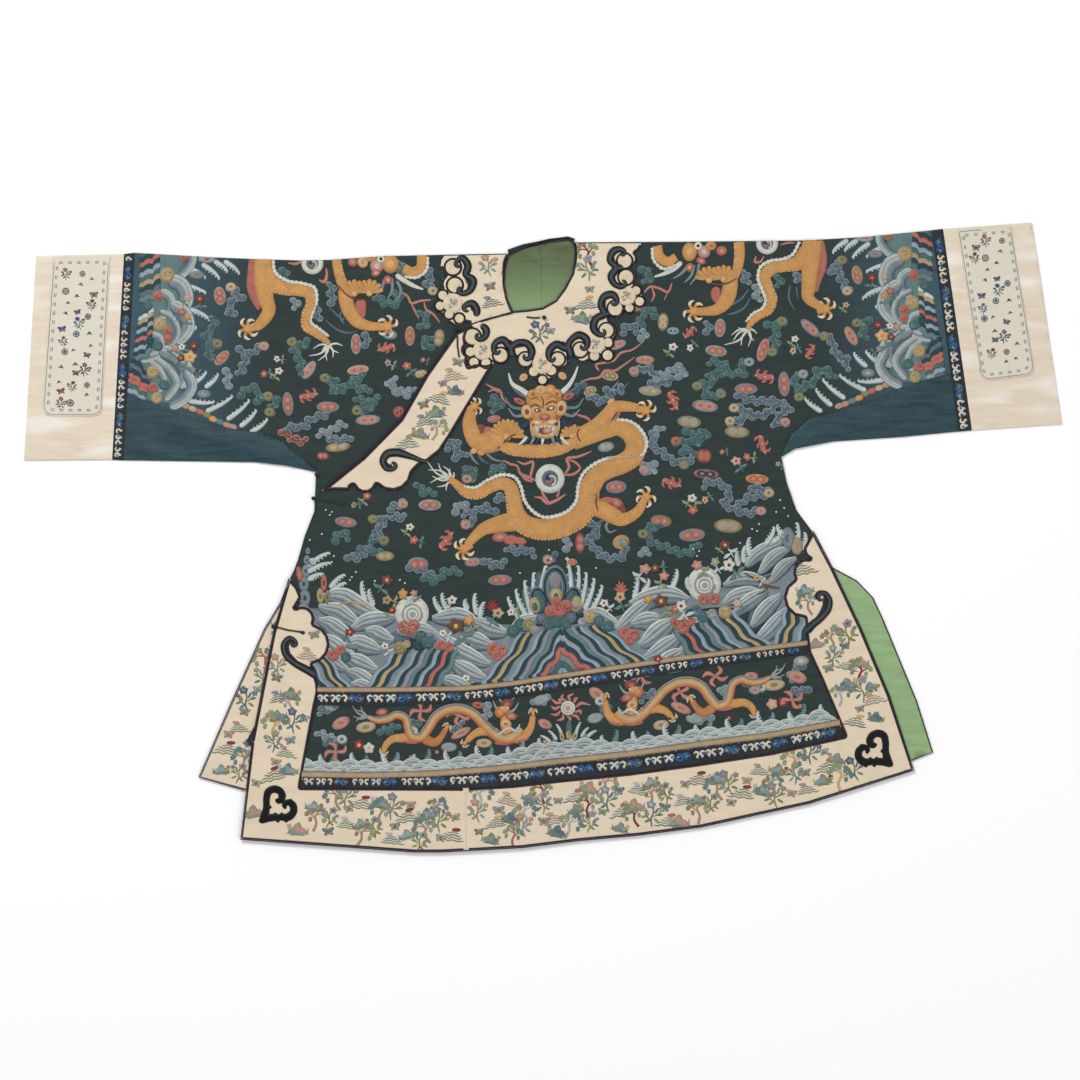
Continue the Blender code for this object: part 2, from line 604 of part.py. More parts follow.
def collar():
    """The ivory cloud collar: the outer front's part and the right shoulder's part."""
    outline = join(trace(NECK_OVERLAP)[::-1], trace(OVERLAP_TOP)[:3], trace(COLLAR_LEFT_HEADS),
                   trace(COLLAR_SHOULDER_LEFT), trace(NECK_LEFT)[::-1])
    flat_piece("collar_front", "ivory_silk", outline, raised(outer_layer, 1))
    outline = join(trace(COLLAR_SHOULDER_RIGHT), trace(COLLAR_RIGHT_HEADS), trace(NECK_SIDE)[1:])
    flat_piece("collar_shoulder", "ivory_silk", outline, level(OVERLAP))


def bands():
    """The ivory overlap band and the borders of slits, hem and under-lap."""
    outline = join(trace(OVERLAP_TOP)[2:], trace(OVERLAP_SLANT), trace(BAND_FOOT),
                   trace(BAND_SIDE), trace(COLLAR_LEFT_HEADS[:6])[::-1])
    flat_piece("overlap_band", "ivory_silk", outline, raised(outer_layer, 1))
    outline = join(trace(SIDE_RIGHT_LOWER), trace(HEM_RIGHT), trace(HEM_BAND_SEAM),
                   trace(HEM_BAND_RIGHT)[::-1], trace(SLIT_INNER_RIGHT), trace(SLIT_HEAD_RIGHT))
    flat_piece("border_right", "ivory_silk", outline, raised(outer_layer, 1))
    outline = join(trace(HEM_MIDDLE), trace(HEM_LEFT), trace(SIDE_LEFT_LOWER),
                   trace(SLIT_HEAD_LEFT), trace(SLIT_INNER_LEFT), trace(HEM_BAND_LEFT)[::-1],
                   trace(HEM_BAND_SEAM)[::-1])
    flat_piece("border_left", "ivory_silk", outline, raised(outer_layer, 1))
    outline = join(trace(UNDERLAP_SLIT), trace(UNDERLAP_HEM), trace(UNDERLAP_SEAM)[::-1])
    flat_piece("border_underlap", "ivory_silk", outline, level(FRONT))


def scrolls_and_ribbons():
    """Black satin scrolls, the corner clouds and the two woven ribbons over the hem."""
    for node, (layer, rows) in CUT_SCROLLS.items():
        height = raised(outer_layer, 2) if layer == SCROLL else level(layer)
        flat_piece(node, "black_satin", ribbon_outline(rows), height)
    for node, rows in (("corner_cloud_right", CORNER_RIGHT), ("corner_cloud_left", CORNER_LEFT)):
        flat_piece(node, "black_satin", ribbon_outline(rows), raised(outer_layer, 2))
    outline = join(trace(UPPER_RIBBON_FOOT), trace(UPPER_RIBBON_TOP)[::-1])
    flat_piece("hem_ribbon_upper", "ribbon", outline, raised(outer_layer, 1))
    outline = join(trace(HEM_BAND_RIGHT), trace(HEM_BAND_LEFT), trace(LOWER_RIBBON_TOP)[::-1])
    flat_piece("hem_ribbon_lower", "ribbon", outline, raised(outer_layer, 1))


def cuff_panels():
    """The embroidered panel on each cuff."""
    for node, rows in (("cuff_panel_right", CUFF_PANEL_RIGHT), ("cuff_panel_left", CUFF_PANEL_LEFT)):
        flat_piece(node, "ivory_silk", join(trace(rows)), level(FRONT))


def bindings():
    """The neck's black binding and the dark piping on the outer edges."""
    neck = trace(NECK_OVERLAP) + trace(NECK_LEFT)[1:]
    outline = strip_beside(neck[::-1], NECK_BINDING_WIDTH)
    flat_piece("neck_binding_front", "black_satin", outline, outer_layer, layers=2)
    side = trimmed(trace(NECK_SIDE), NECK_BINDING_WIDTH + GAP)
    outline = strip_beside(side, NECK_BINDING_WIDTH)
    flat_piece("neck_binding_side", "black_satin", outline, level(FRONT), layers=2)
    nape = trimmed(trace(NECK_BACK_RIGHT) + trace(NECK_BACK_LEFT)[1:], NAPE_BINDING_WIDTH / 2)
    outline = strip_beside(nape[::-1], NAPE_BINDING_WIDTH)
    flat_piece("neck_binding_back", "black_satin", outline, level(BACK), layers=2)
    outline = strip_beside(trace(OVERLAP_SLANT)[1:], PIPING_WIDTH)
    flat_piece("overlap_piping", "piping", outline, outer_layer, layers=2)
    rim = join(trace(SIDE_RIGHT_LOWER), trace(HEM_RIGHT), trace(HEM_MIDDLE), trace(HEM_LEFT),
               trace(SIDE_LEFT_LOWER))
    flat_piece("edge_piping", "piping", strip_beside(rim, PIPING_WIDTH), outer_layer, layers=2)
    rim = join(trace(UNDERLAP_SLIT), trace(UNDERLAP_HEM)[:2])
    flat_piece("underlap_piping", "piping", strip_beside(rim, PIPING_WIDTH), level(FRONT))
    rim = join(trace(HEM_BACK_LEFT)[-2:], trace(BACK_SLIT_LEFT)[1:])
    flat_piece("back_piping", "piping", strip_beside(rim, PIPING_WIDTH), level(BACK), layers=2)


def fastenings():
    """Black knot buttons and their loops."""
    for knot in KNOTS:
        top = CLOTH + LIFT * (knot.layer - 1) + GAP
        bpy.ops.mesh.primitive_uv_sphere_add(segments=12, ring_count=8, radius=KNOT_RADIUS * MM)
        made = bpy.context.object
        made.name = knot.node
        made.data.name = knot.node
        made.scale.z = KNOT_FLATTEN
        height = top + KNOT_RADIUS * KNOT_FLATTEN
        made.location = Vector((knot.across, knot.up, height)) * MM
        made.data.materials.append(finish("black_satin"))
        for holder in made.users_collection:
            holder.objects.unlink(made)
        bpy.data.collections[COLLECTION].objects.link(made)
    for node, (layer, rows) in LOOPS.items():
        flat_piece(node, "black_satin", ribbon_outline(rows), raised(outer_layer, layer - OVERLAP))


def centre_on_origin():
    """Moves every piece, so that the middle of the box's underside is the origin."""
    graph = bpy.context.evaluated_depsgraph_get()
    pieces = list(bpy.data.collections[COLLECTION].objects)
    corners = [piece.evaluated_get(graph).matrix_world @ Vector(corner)
               for piece in pieces for corner in piece.evaluated_get(graph).bound_box]
    low = [min(corner[axis] for corner in corners) for axis in range(3)]
    high = [max(corner[axis] for corner in corners) for axis in range(3)]
    middle = Vector(((low[0] + high[0]) / 2, (low[1] + high[1]) / 2, low[2]))
    for piece in pieces:
        piece.location -= middle


def main():
    for old in list(bpy.data.objects):
        bpy.data.objects.remove(old, do_unlink=True)
    bpy.context.scene.collection.children.link(bpy.data.collections.new(COLLECTION))
    halves()
    overlap_front()
    gores()
    for band in SLEEVE_BANDS:
        sleeve_band(band)
    linings()
    collar()
    bands()
    scrolls_and_ribbons()
    cuff_panels()
    bindings()
    fastenings()
    bpy.context.view_layer.update()
    centre_on_origin()


if __name__ == "__main__":
    main()
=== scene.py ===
"""Chinese dragon robe, laid flat: its cloths, trims and needlework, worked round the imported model.

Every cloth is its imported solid, cut finer and lifted over soft creases.  The needlework is
raised shapes of coloured thread: strips carried along a line and rounds with rings.  Tables
give places in squares of the embroidery frame, counted right and down, as a stitcher counts
them, and `squares` turns them to millimetres.
"""

import math

import bmesh
import bpy
import numpy as np
from bpy.props import FloatProperty, FloatVectorProperty, PointerProperty
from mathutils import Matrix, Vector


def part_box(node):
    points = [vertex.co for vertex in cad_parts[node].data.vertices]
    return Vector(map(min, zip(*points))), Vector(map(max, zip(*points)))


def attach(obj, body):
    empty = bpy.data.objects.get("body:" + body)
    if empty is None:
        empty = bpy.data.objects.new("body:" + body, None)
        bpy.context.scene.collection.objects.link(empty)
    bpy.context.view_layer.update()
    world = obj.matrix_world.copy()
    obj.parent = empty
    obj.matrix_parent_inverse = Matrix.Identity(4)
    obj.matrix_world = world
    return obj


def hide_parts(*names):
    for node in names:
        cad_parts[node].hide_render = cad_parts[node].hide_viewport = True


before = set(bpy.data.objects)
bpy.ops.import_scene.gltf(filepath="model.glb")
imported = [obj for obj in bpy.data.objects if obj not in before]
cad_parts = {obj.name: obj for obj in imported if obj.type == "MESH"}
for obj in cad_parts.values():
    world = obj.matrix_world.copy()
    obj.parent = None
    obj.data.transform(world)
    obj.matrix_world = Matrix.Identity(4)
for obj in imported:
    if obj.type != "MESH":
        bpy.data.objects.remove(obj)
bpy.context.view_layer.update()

bl_info = {
    "name": "Chinese Dragon Robe",
    "version": (1, 0, 0),
    "blender": (4, 5, 0),
    "location": "3D View > Sidebar > Robe",
    "description": "Makes an embroidered silk dragon robe laid flat",
    "category": "Add Mesh",
}

MM = 0.001
SQUARE = 1.6                      # mm, one square of the embroidery frame
FRAME_MIDDLE = (543.0, 537.5)     # the square at the origin
CLOTH = 1.0                       # mm, wall of one cloth
LIFT = 1.3                        # mm, from one cloth to the next
WALL = 0.12                       # mm, how far a shape's side slopes out
SUNK = -0.15                      # mm, how far a shape's foot sinks into the cloth
FIN_STEP, FIN_TOOTH = 0.9, 7.0    # mm, from point to point along a fin, and from tooth to tooth
KNOT_SIDES, KNOT_RINGS = 36, 19   # points round a ball knot, and rings between its two ends
SLEEVE_MIRROR = (-22.4, 33.6)     # mm, across and up, from one sleeve's needlework to the other's
CORNER_MIRROR = (105.7, 90.2)     # mm, the same for the corner clouds
HEM_DRAGON_MIRROR = (83.2, 30.4, 0.15, 140.8)  # mm, the same for the hem's dragons, a slope, its root
CAMERA_HEIGHT, VIEW_WIDTH = 8, 1.728           # m, the camera's height and the width it sees
SENSOR = 36                       # mm, the camera's sensor

THREADS = {
    "gold": "#cb975b", "gold_dark": "#9d6d3f", "gold_light": "#d8ad77", "orange": "#bd7c4e",
    "coral": "#b36c5f", "coral_dark": "#864b45", "rose": "#bc8e82", "pink": "#cca69a",
    "red": "#8d383d", "sky": "#90a2ab", "pale": "#bbc1bc", "white": "#d6d6ca",
    "grey": "#969e9b", "blue": "#5a6c79", "steel": "#7e8b91", "navy": "#2f4054",
    "teal": "#466869", "sea": "#64807f", "deep": "#27434a", "olive": "#89855e",
    "tan": "#ab967a", "sand": "#bfa986", "lilac": "#8e8c98", "ink": "#181c20",
    "cream": "#e2d2b4", "leaf": "#6f8462", "moss": "#8d9873", "mist": "#8c999c",
    "plum": "#5d3d4a", "brown": "#6e4a3b", "foam": "#c3cdca", "cobalt": "#35608e",
    "straw": "#b29c72",
}
THREAD_INDEX = {name: i for i, name in enumerate(THREADS)}


def linear(colour):
    """A hex colour as linear red, green and blue: c/12.92 when dark, else ((c + .055)/1.055)^2.4."""
    c = np.array([int(colour[i:i + 2], 16) for i in (1, 3, 5)]) / 255
    return np.where(c < 0.04045, c / 12.92, ((c + 0.055) / 1.055) ** 2.4)


THREAD_COLOURS = np.array([linear(colour) for colour in THREADS.values()])


def squares(rows):
    """Frame squares to millimetres: x = 1.6 (col - 543), y = 1.6 (537.5 - row), sizes times 1.6."""
    rows = np.array(rows, float).reshape(len(rows), -1)
    made = rows * SQUARE
    made[:, 0] = (rows[:, 0] - FRAME_MIDDLE[0]) * SQUARE
    made[:, 1] = (FRAME_MIDDLE[1] - rows[:, 1]) * SQUARE
    return made


# ---------------------------------------------------------------- cloth heights and creases
def share(value, start, end):
    """0 before start, 1 after end, and straight between."""
    return np.clip((value - start) / (end - start), 0, 1)


def sleeve_drop(x, y):
    """Layers by which a sleeve's upper cloth lies lower than the body's."""
    return share(np.abs(x), 400, 460) * (y > 90)


def inner_top(x, y):
    """Top of the cloths on the lining: layer 2, one less in a sleeve."""
    return CLOTH + LIFT * (2 - sleeve_drop(x, y))


def outer_top(x, y):
    """Top of the outer front: layer 3 right of the middle, falling to 2 left of it."""
    return CLOTH + LIFT * (3 - share(x, -60, 60) - sleeve_drop(x, y))


# Soft creases: from, to, half width, height, bow to the left of the way; all mm.
CREASES = np.array([
    (-640, 205, -470, 128, 16, 2.6, 6), (-610, 190, -520, 150, 9, 1.6, -3),
    (-560, 172, -430, 118, 12, 2.4, 4), (-655, 150, -600, 126, 8, 1.8, 2),
    (-500, 168, -395, 112, 10, 2.8, -5), (-470, 176, -372, 116, 7, 2.0, -4),
    (640, 240, 500, 170, 14, 2.4, -6), (600, 215, 470, 166, 9, 1.8, 3),
    (648, 205, 560, 168, 10, 2.2, 4), (540, 220, 420, 150, 12, 2.6, 5),
    (470, 190, 398, 140, 8, 1.9, 3),
    (-812, 300, -700, 262, 14, 1.2, 3), (-822, 190, -730, 150, 12, 2.6, 5),
    (-800, 205, -742, 172, 8, 1.6, -4), (-826, 150, -760, 132, 9, 1.5, 2),
    (-815, 330, -705, 322, 10, 1.0, 2), (-808, 420, -790, 250, 9, 0.9, 3),
    (815, 245, 722, 226, 12, 2.4, 5), (822, 205, 760, 192, 9, 1.6, -3),
    (803, 300, 720, 306, 10, 1.1, 3), (790, 470, 800, 300, 9, 1.0, -3),
    (-380, 150, -300, 60, 14, 1.6, 6), (-360, 95, -330, -20, 12, 1.4, 4),
    (410, 120, 380, -10, 14, 1.6, -5), (360, 60, 400, -60, 12, 1.3, 4),
    (-620, 330, -430, 300, 24, 1.0, 8), (-600, 400, -380, 380, 26, 0.9, -6),
    (-560, 250, -380, 220, 20, 1.1, 6), (590, 340, 420, 300, 24, 1.0, -8),
    (600, 430, 400, 400, 26, 0.9, 6), (560, 270, 400, 230, 20, 1.1, -5),
    (-250, 20, -120, -60, 26, 0.8, 8), (160, 60, 300, -40, 26, 0.8, -8),
    (-200, 240, -60, 200, 22, 0.7, 5), (120, 260, 280, 230, 24, 0.8, -6),
    (-330, -120, -180, -190, 20, 0.9, 5), (200, -120, 380, -150, 22, 0.9, -5),
    (-450, -300, -300, -330, 18, 1.0, 5), (-200, -440, -60, -430, 16, 1.1, 4),
    (60, -420, 200, -400, 18, 1.1, -4), (300, -380, 440, -330, 18, 1.2, 5),
    (520, -180, 590, -330, 10, 2.6, -6), (560, -210, 612, -330, 7, 1.8, 5),
    (-470, -240, -520, -380, 12, 1.2, 4), (-20, 400, 40, 440, 12, 1.5, -4),
    (-40, 440, -10, 380, 9, 1.3, 3), (30, 380, 44, 455, 7, 2.0, 4),
    (-300, -480, -120, -490, 10, 0.8, 3), (430, -420, 560, -370, 10, 0.9, -3),
    (-700, 380, -668, 160, 8, 0.7, 3), (660, 430, 690, 200, 8, 0.7, -3),
])


def creases(x, y):
    """Height of the soft creases: each is h exp(-(off/w)^2) sin(pi t)^0.7 along its bowed line."""
    total = np.zeros_like(x)
    for x0, y0, x1, y1, wide, high, bow in CREASES:
        run = math.hypot(x1 - x0, y1 - y0)
        ux, uy = (x1 - x0) / run, (y1 - y0) / run
        near = ((np.abs(x - (x0 + x1) / 2) < run / 2 + 2 * wide)
                & (np.abs(y - (y0 + y1) / 2) < run / 2 + 2 * wide))
        dx, dy = x[near] - x0, y[near] - y0
        t = np.clip((dx * ux + dy * uy) / run, 0, 1)
        wave = np.sin(math.pi * t)
        off = dy * ux - dx * uy - bow * wave
        total[near] += high * np.exp(-(off / wide) ** 2) * wave ** 0.7
    return total


# ---------------------------------------------------------------- packed outlines
def rim_of(node, above=0.0):
    """A node's plan outline in mm: the open edges of its upward faces over a height, end to end."""
    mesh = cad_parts[node].data
    co = np.empty(len(mesh.vertices) * 3, np.float32)
    mesh.vertices.foreach_get("co", co)
    co, same = np.unique(np.round(co.reshape(-1, 3) / MM, 3), axis=0, return_inverse=True)
    corners = np.empty(len(mesh.loops), np.int32)
    mesh.loops.foreach_get("vertex_index", corners)
    corners = same.ravel()[corners].reshape(-1, 3)
    a, b, c = (co[corners[:, i]] for i in range(3))
    normal = np.cross(b - a, c - a)
    size = np.linalg.norm(normal, axis=1)
    up = (normal[:, 2] > 0.7 * size) & ((a + b + c)[:, 2] / 3 > above) & (size > 1e-6)
    faces = corners[up]
    edges = np.concatenate([faces[:, (0, 1)], faces[:, (1, 2)], faces[:, (2, 0)]])
    known = set(map(tuple, edges.tolist()))
    after = {i: j for i, j in edges.tolist() if (j, i) not in known}
    longest = []
    while after:
        start, at = next(iter(after.items()))
        del after[start]
        loop = [start]
        while at != start and at in after:
            loop.append(at)
            at = after.pop(at)
        longest = max(longest, loop, key=len)
    return co[longest, :2]


def within(points, outline):
    """Whether each point is inside an outline: it crosses an odd number of edges to its right."""
    x, y = points[:, :1], points[:, 1:2]
    ax, ay = outline.T
    bx, by = np.roll(outline, -1, axis=0).T
    spans = (ay > y) != (by > y)
    cross = ax + (y - ay) * (bx - ax) / np.where(by == ay, 1, by - ay)
    return (spans & (x < cross)).sum(1) % 2 == 1


def nearest_on(points, outline):
    """The nearest place on an outline to each point, and how far it is."""
    a = outline[None]
    span = np.roll(outline, -1, axis=0)[None] - a
    off = points[:, None] - a
    t = np.clip((off * span).sum(2) / np.maximum((span ** 2).sum(2), 1e-9), 0, 1)
    spots = a + t[..., None] * span
    gap = np.linalg.norm(points[:, None] - spots, axis=2)
    best = gap.argmin(1)
    rows = np.arange(len(points))
    return spots[rows, best], gap[rows, best]


# ---------------------------------------------------------------- needlework
def smooth(rows, step):
    """Points at even steps on a smooth line through rows: cubic Hermite over the chord length."""
    rows = np.array(rows, float)
    t = np.concatenate([[0], np.cumsum(np.hypot(*np.diff(rows[:, :2], axis=0).T))])
    tangent = np.gradient(rows, t, axis=0) if len(rows) > 2 else np.tile(
        (rows[1] - rows[0]) / t[1], (2, 1))
    s = np.linspace(0, t[-1], max(3, int(math.ceil(t[-1] / step)) + 1))
    i = np.clip(np.searchsorted(t, s, "right") - 1, 0, len(t) - 2)
    h = (t[i + 1] - t[i])[:, None]
    u = (s - t[i])[:, None] / h
    return ((2 * u ** 3 - 3 * u ** 2 + 1) * rows[i] + (u ** 3 - 2 * u ** 2 + u) * h * tangent[i]
            + (3 * u ** 2 - 2 * u ** 3) * rows[i + 1] + (u ** 3 - u ** 2) * h * tangent[i + 1])


def along(line):
    """The way a line runs at each of its points, and the way to its left."""
    way = np.gradient(line[:, :2], axis=0)
    way /= np.maximum(np.linalg.norm(way, axis=1, keepdims=True), 1e-9)
    return way, np.stack([-way[:, 1], way[:, 0]], 1)


def around_place(x, y, reach, angle, half):
    """Rows of a strip about a place: x + reach cos(angle), y + reach sin(angle), half width."""
    reach, angle, half = np.broadcast_arrays(reach, angle, half)
    return np.stack([x + reach * np.cos(angle), y + reach * np.sin(angle), half], 1)


def cells(rows, columns, closed=False):
    """Two triangles for each cell of a grid of points; closed joins the last column to the first."""
    i = np.arange(rows * columns).reshape(rows, columns)
    if closed:
        i = np.hstack([i, i[:, :1]])
    a, b, c, d = i[:-1, :-1], i[1:, :-1], i[1:, 1:], i[:-1, 1:]
    return np.stack([a, b, c, a, c, d], -1).reshape(-1, 3)


# A section's columns: side from -1 (right) to 1 (left), rise in mm, thread, shade; the shade scales the
# thread's colour and holds the pattern's light and dark together with painted shade at edges and feet and
# painted highlight on tops.
def satin(thread, edge=0.72, rise=0.30):
    """Plain satin stitch, with painted shade making it a little darker at its edges."""
    return [(-1, rise, thread, edge), (-0.6, rise, thread, 1.0), (0.6, rise, thread, 1.04),
            (1, rise, thread, edge)]


def fine(thread, edge=0.9, rise=0.30):
    """A thin line of stitches with a flat top, with painted shade making it darker along one edge."""
    return [(-1, rise, thread, edge), (1, rise, thread, 1.0)]


def banded(left, middle, right, rise):
    """Three threads side by side, from right to left."""
    return [(-1, rise, right, 0.9), (-0.45, rise, right, 1.0), (-0.4, rise, middle, 1.0),
            (0.4, rise, middle, 1.0), (0.45, rise, left, 1.0), (1, rise, left, 1.0)]


class Needlework:
    """Raised shapes of coloured thread, kept as whole arrays until they become one mesh.

    Each shape lies a step higher than the one before it, so that a later one covers it.
    """

    def __init__(self, step):
        """Empty work; step is how much higher each shape lies than the last, in mm."""
        self.points, self.faces, self.tones, self.shades = [], [], [], []
        self.total = 0
        self.level = 0.0
        self.step = step

    def add(self, points, faces, tones, shades):
        """Keeps a shape's points in mm, its triangles, and each point's thread and shade."""
        self.points.append(points.reshape(-1, 3) + (0, 0, self.level))
        self.faces.append(faces + self.total)
        self.tones.append(tones.ravel())
        self.shades.append(shades.ravel())
        self.total += points.size // 3
        self.level += self.step

    def strip(self, rows, section, step, round_ends=False, paint=None, crown=0.0):
        """A strip along a line: point = line + side width left + rise up, and its four low edges, painted
        darker as shade.

        Rows are across, up and half width in mm.  crown adds crown sqrt(1 - side^2).
        """
        line = smooth(rows, step)
        if round_ends:
            run = np.linspace(0, 1, len(line)) * np.hypot(*np.diff(line[:, :2], axis=0).T).sum()
            reach = np.minimum(run, run[-1] - run) / np.maximum(line[:, 2], 1e-6)
            line[:, 2] *= np.sqrt(np.clip(1 - (1 - np.clip(reach, 0.05, 1)) ** 2, 0, 1))
        way, left = along(line)
        side, rise, threads, shade = zip(*section)
        side, rise = np.array(side, float), np.array(rise, float)
        tones = np.array([THREAD_INDEX.get(t, t) for t in threads])
        rise = rise + crown * np.sqrt(np.clip(1 - side ** 2, 0, 1))
        body = np.empty((len(line), len(side), 3))
        body[..., :2] = line[:, None, :2] + (side * line[:, 2:3])[..., None] * left[:, None]
        body[..., 2] = rise
        tones = np.broadcast_to(tones, body.shape[:2]).copy()
        shades = np.broadcast_to(np.array(shade, float), body.shape[:2]).copy()
        if paint:
            run = np.arange(len(line))[:, None] * step
            tones, shades = paint(run, side[None], line[:, 2:3], tones, shades)
        full = np.pad(body, ((1, 1), (1, 1), (0, 0)), mode="edge")
        full[0, :, :2] -= way[0] * WALL
        full[-1, :, :2] += way[-1] * WALL
        full[1:-1, 0, :2] -= left * WALL
        full[1:-1, -1, :2] += left * WALL
        full[0, (0, -1), :2] = full[1, (0, -1), :2] - way[0] * WALL
        full[-1, (0, -1), :2] = full[-2, (0, -1), :2] + way[-1] * WALL
        for edge in (np.s_[0, :], np.s_[-1, :], np.s_[:, 0], np.s_[:, -1]):
            full[edge + (2,)] = SUNK - self.level
        # painted shade: the low walls at the strip's foot are 0.6 times as dark
        low = np.pad(shades, 1, mode="edge")
        low[(0, -1), :] *= 0.6
        low[:, (0, -1)] *= 0.6
        self.add(full, cells(*full.shape[:2]), np.pad(tones, 1, mode="edge"), low)

    def round(self, x, y, rings, across=1.0, up=None, turn=0.0, sides=14, lobes=0, depth=0.0):
        """A round shape: rings from the middle out, each with a share of the radius, rise, thread
        and shade; radius = share (1 + depth cos(lobes angle)), stretched and turned."""
        up = across if up is None else up
        angle = np.arange(sides) * 2 * math.pi / sides
        part, rise, threads, shade = zip(*rings)
        part = np.array(part, float)[:, None]
        reach = 1 + depth * np.cos(lobes * angle) if lobes else np.ones(sides)
        local_x, local_y = part * across * np.cos(angle) * reach, part * up * np.sin(angle) * reach
        wall = np.array([1 + WALL / max(across, 0.1), 1 + WALL / max(up, 0.1)])
        local_x = np.vstack([local_x, local_x[-1:] * wall[0]])
        local_y = np.vstack([local_y, local_y[-1:] * wall[1]])
        cos, sin = math.cos(math.radians(turn)), math.sin(math.radians(turn))
        grid = np.empty((len(part) + 1, sides, 3))
        grid[..., 0] = x + local_x * cos - local_y * sin
        grid[..., 1] = y + local_x * sin + local_y * cos
        grid[:-1, :, 2] = np.array(rise)[:, None]
        grid[-1, :, 2] = SUNK - self.level
        tones = np.array([THREAD_INDEX.get(t, t) for t in threads] + [
            THREAD_INDEX.get(threads[-1], threads[-1])])
        # painted shade: the wall ring at the round's foot is 0.6 times as dark as its rim
        shades = np.array(list(shade) + [shade[-1] * 0.6])
        points = np.vstack([[(x, y, rise[0])], grid.reshape(-1, 3)])
        around = np.arange(sides)
        fan = np.stack([np.zeros(sides, int), around + 1, (around + 1) % sides + 1], 1)
        faces = np.vstack([fan, cells(len(part) + 1, sides, closed=True) + 1])
        self.add(points, faces, np.concatenate([[tones[0]], np.repeat(tones, sides)]),
                 np.concatenate([[shades[0]], np.repeat(shades, sides)]))

    def whole(self):
        """All the shapes' arrays end to end."""
        return (np.vstack(self.points), np.vstack(self.faces), np.concatenate(self.tones),
                np.concatenate(self.shades))

    def mirror(self, work, across, up, slope=0.0, about=0.0, flip=-1):
        """Adds another work's mirror image: x' = across - x, y' = y + up + slope (x' - about)."""
        points, faces, tones, shades = work.whole()
        points = points * (flip, 1, 1) + (across, up, 0)
        points[:, 1] += slope * (points[:, 0] - about)
        self.add(points, faces[:, ::flip], tones, shades)

    def scatter(self, motif, places, dyes=None):
        """Copies of a motif: place + size turn(flip across, up); dyes give each copy's threads.

        Rows of places are across, up, size, turn in degrees and flip, 1 or -1.
        """
        points, faces, tones, shades = motif.whole()
        x, y, size, turn, flip = (column[:, None] for column in np.array(places, float).T)
        cos, sin = np.cos(np.radians(turn)), np.sin(np.radians(turn))
        across, up = points[:, 0] * size * flip, points[:, 1] * size
        made = np.stack([x + across * cos - up * sin, y + across * sin + up * cos,
                         np.broadcast_to(points[:, 2], across.shape)], -1)
        copies = len(made)
        turned = np.where((flip < 0)[:, :, None], faces[None, :, ::-1], faces[None])
        turned = turned + (np.arange(copies) * len(points))[:, None, None]
        if dyes is None:
            tones = np.tile(tones, (copies, 1))
        else:
            table = np.array([[THREAD_INDEX[t] for t in row] for row in dyes])
            tones = table[:, tones]
        self.add(made, turned.reshape(-1, 3), tones, np.tile(shades, (copies, 1)))


def lobe(work, x, y, radius, rim, body, curl, way):
    """One curled cloud lobe: a light edge, a fill, and a curl of the edge's thread inside."""
    inner = max(1 - 1.0 / radius, 0.3)
    work.round(x, y, [(0.7, 0.30, rim, 1), (1, 0.30, rim, 0.92)], radius, sides=12)
    work.round(x, y, [(0.6, 0.30, body, 1.05), (1, 0.30, body, 0.9)], radius * inner, sides=12)
    angle = np.linspace(0.3, 5.0, 7) * way
    reach = radius * np.linspace(0.55, 0.12, 7)
    work.strip(around_place(x, y, reach, angle, max(radius * 0.085, 0.34)), satin(curl),
               step=radius * 0.35)


class Value:
    """A shader socket with arithmetic: each operator adds the Math node that works it out."""

    def __init__(self, dye, socket):
        """A socket of a dye's node tree."""
        self.dye, self.socket = dye, socket

    def maths(self, operation, *values):
        """A Math node over this value and others."""
        return self.dye.node("ShaderNodeMath", {"operation": operation},
                             dict(enumerate((self,) + values)))

    def __add__(self, other):
        """self + other."""
        return self.maths("ADD", other)

    __radd__ = __add__

    def __mul__(self, other):
        """self times other."""
        return self.maths("MULTIPLY", other)

    __rmul__ = __mul__

    def over(self, low, high):
        """0 at low and 1 at high, smoothly between."""
        return self.dye.node("ShaderNodeMapRange", {"interpolation_type": "SMOOTHSTEP"},
                             {"Value": self, "From Min": low, "From Max": high})


SOCKETS = {"sheen_weight": "Sheen Weight", "sheen_roughness": "Sheen Roughness",
           "specular_ior_level": "Specular IOR Level"}


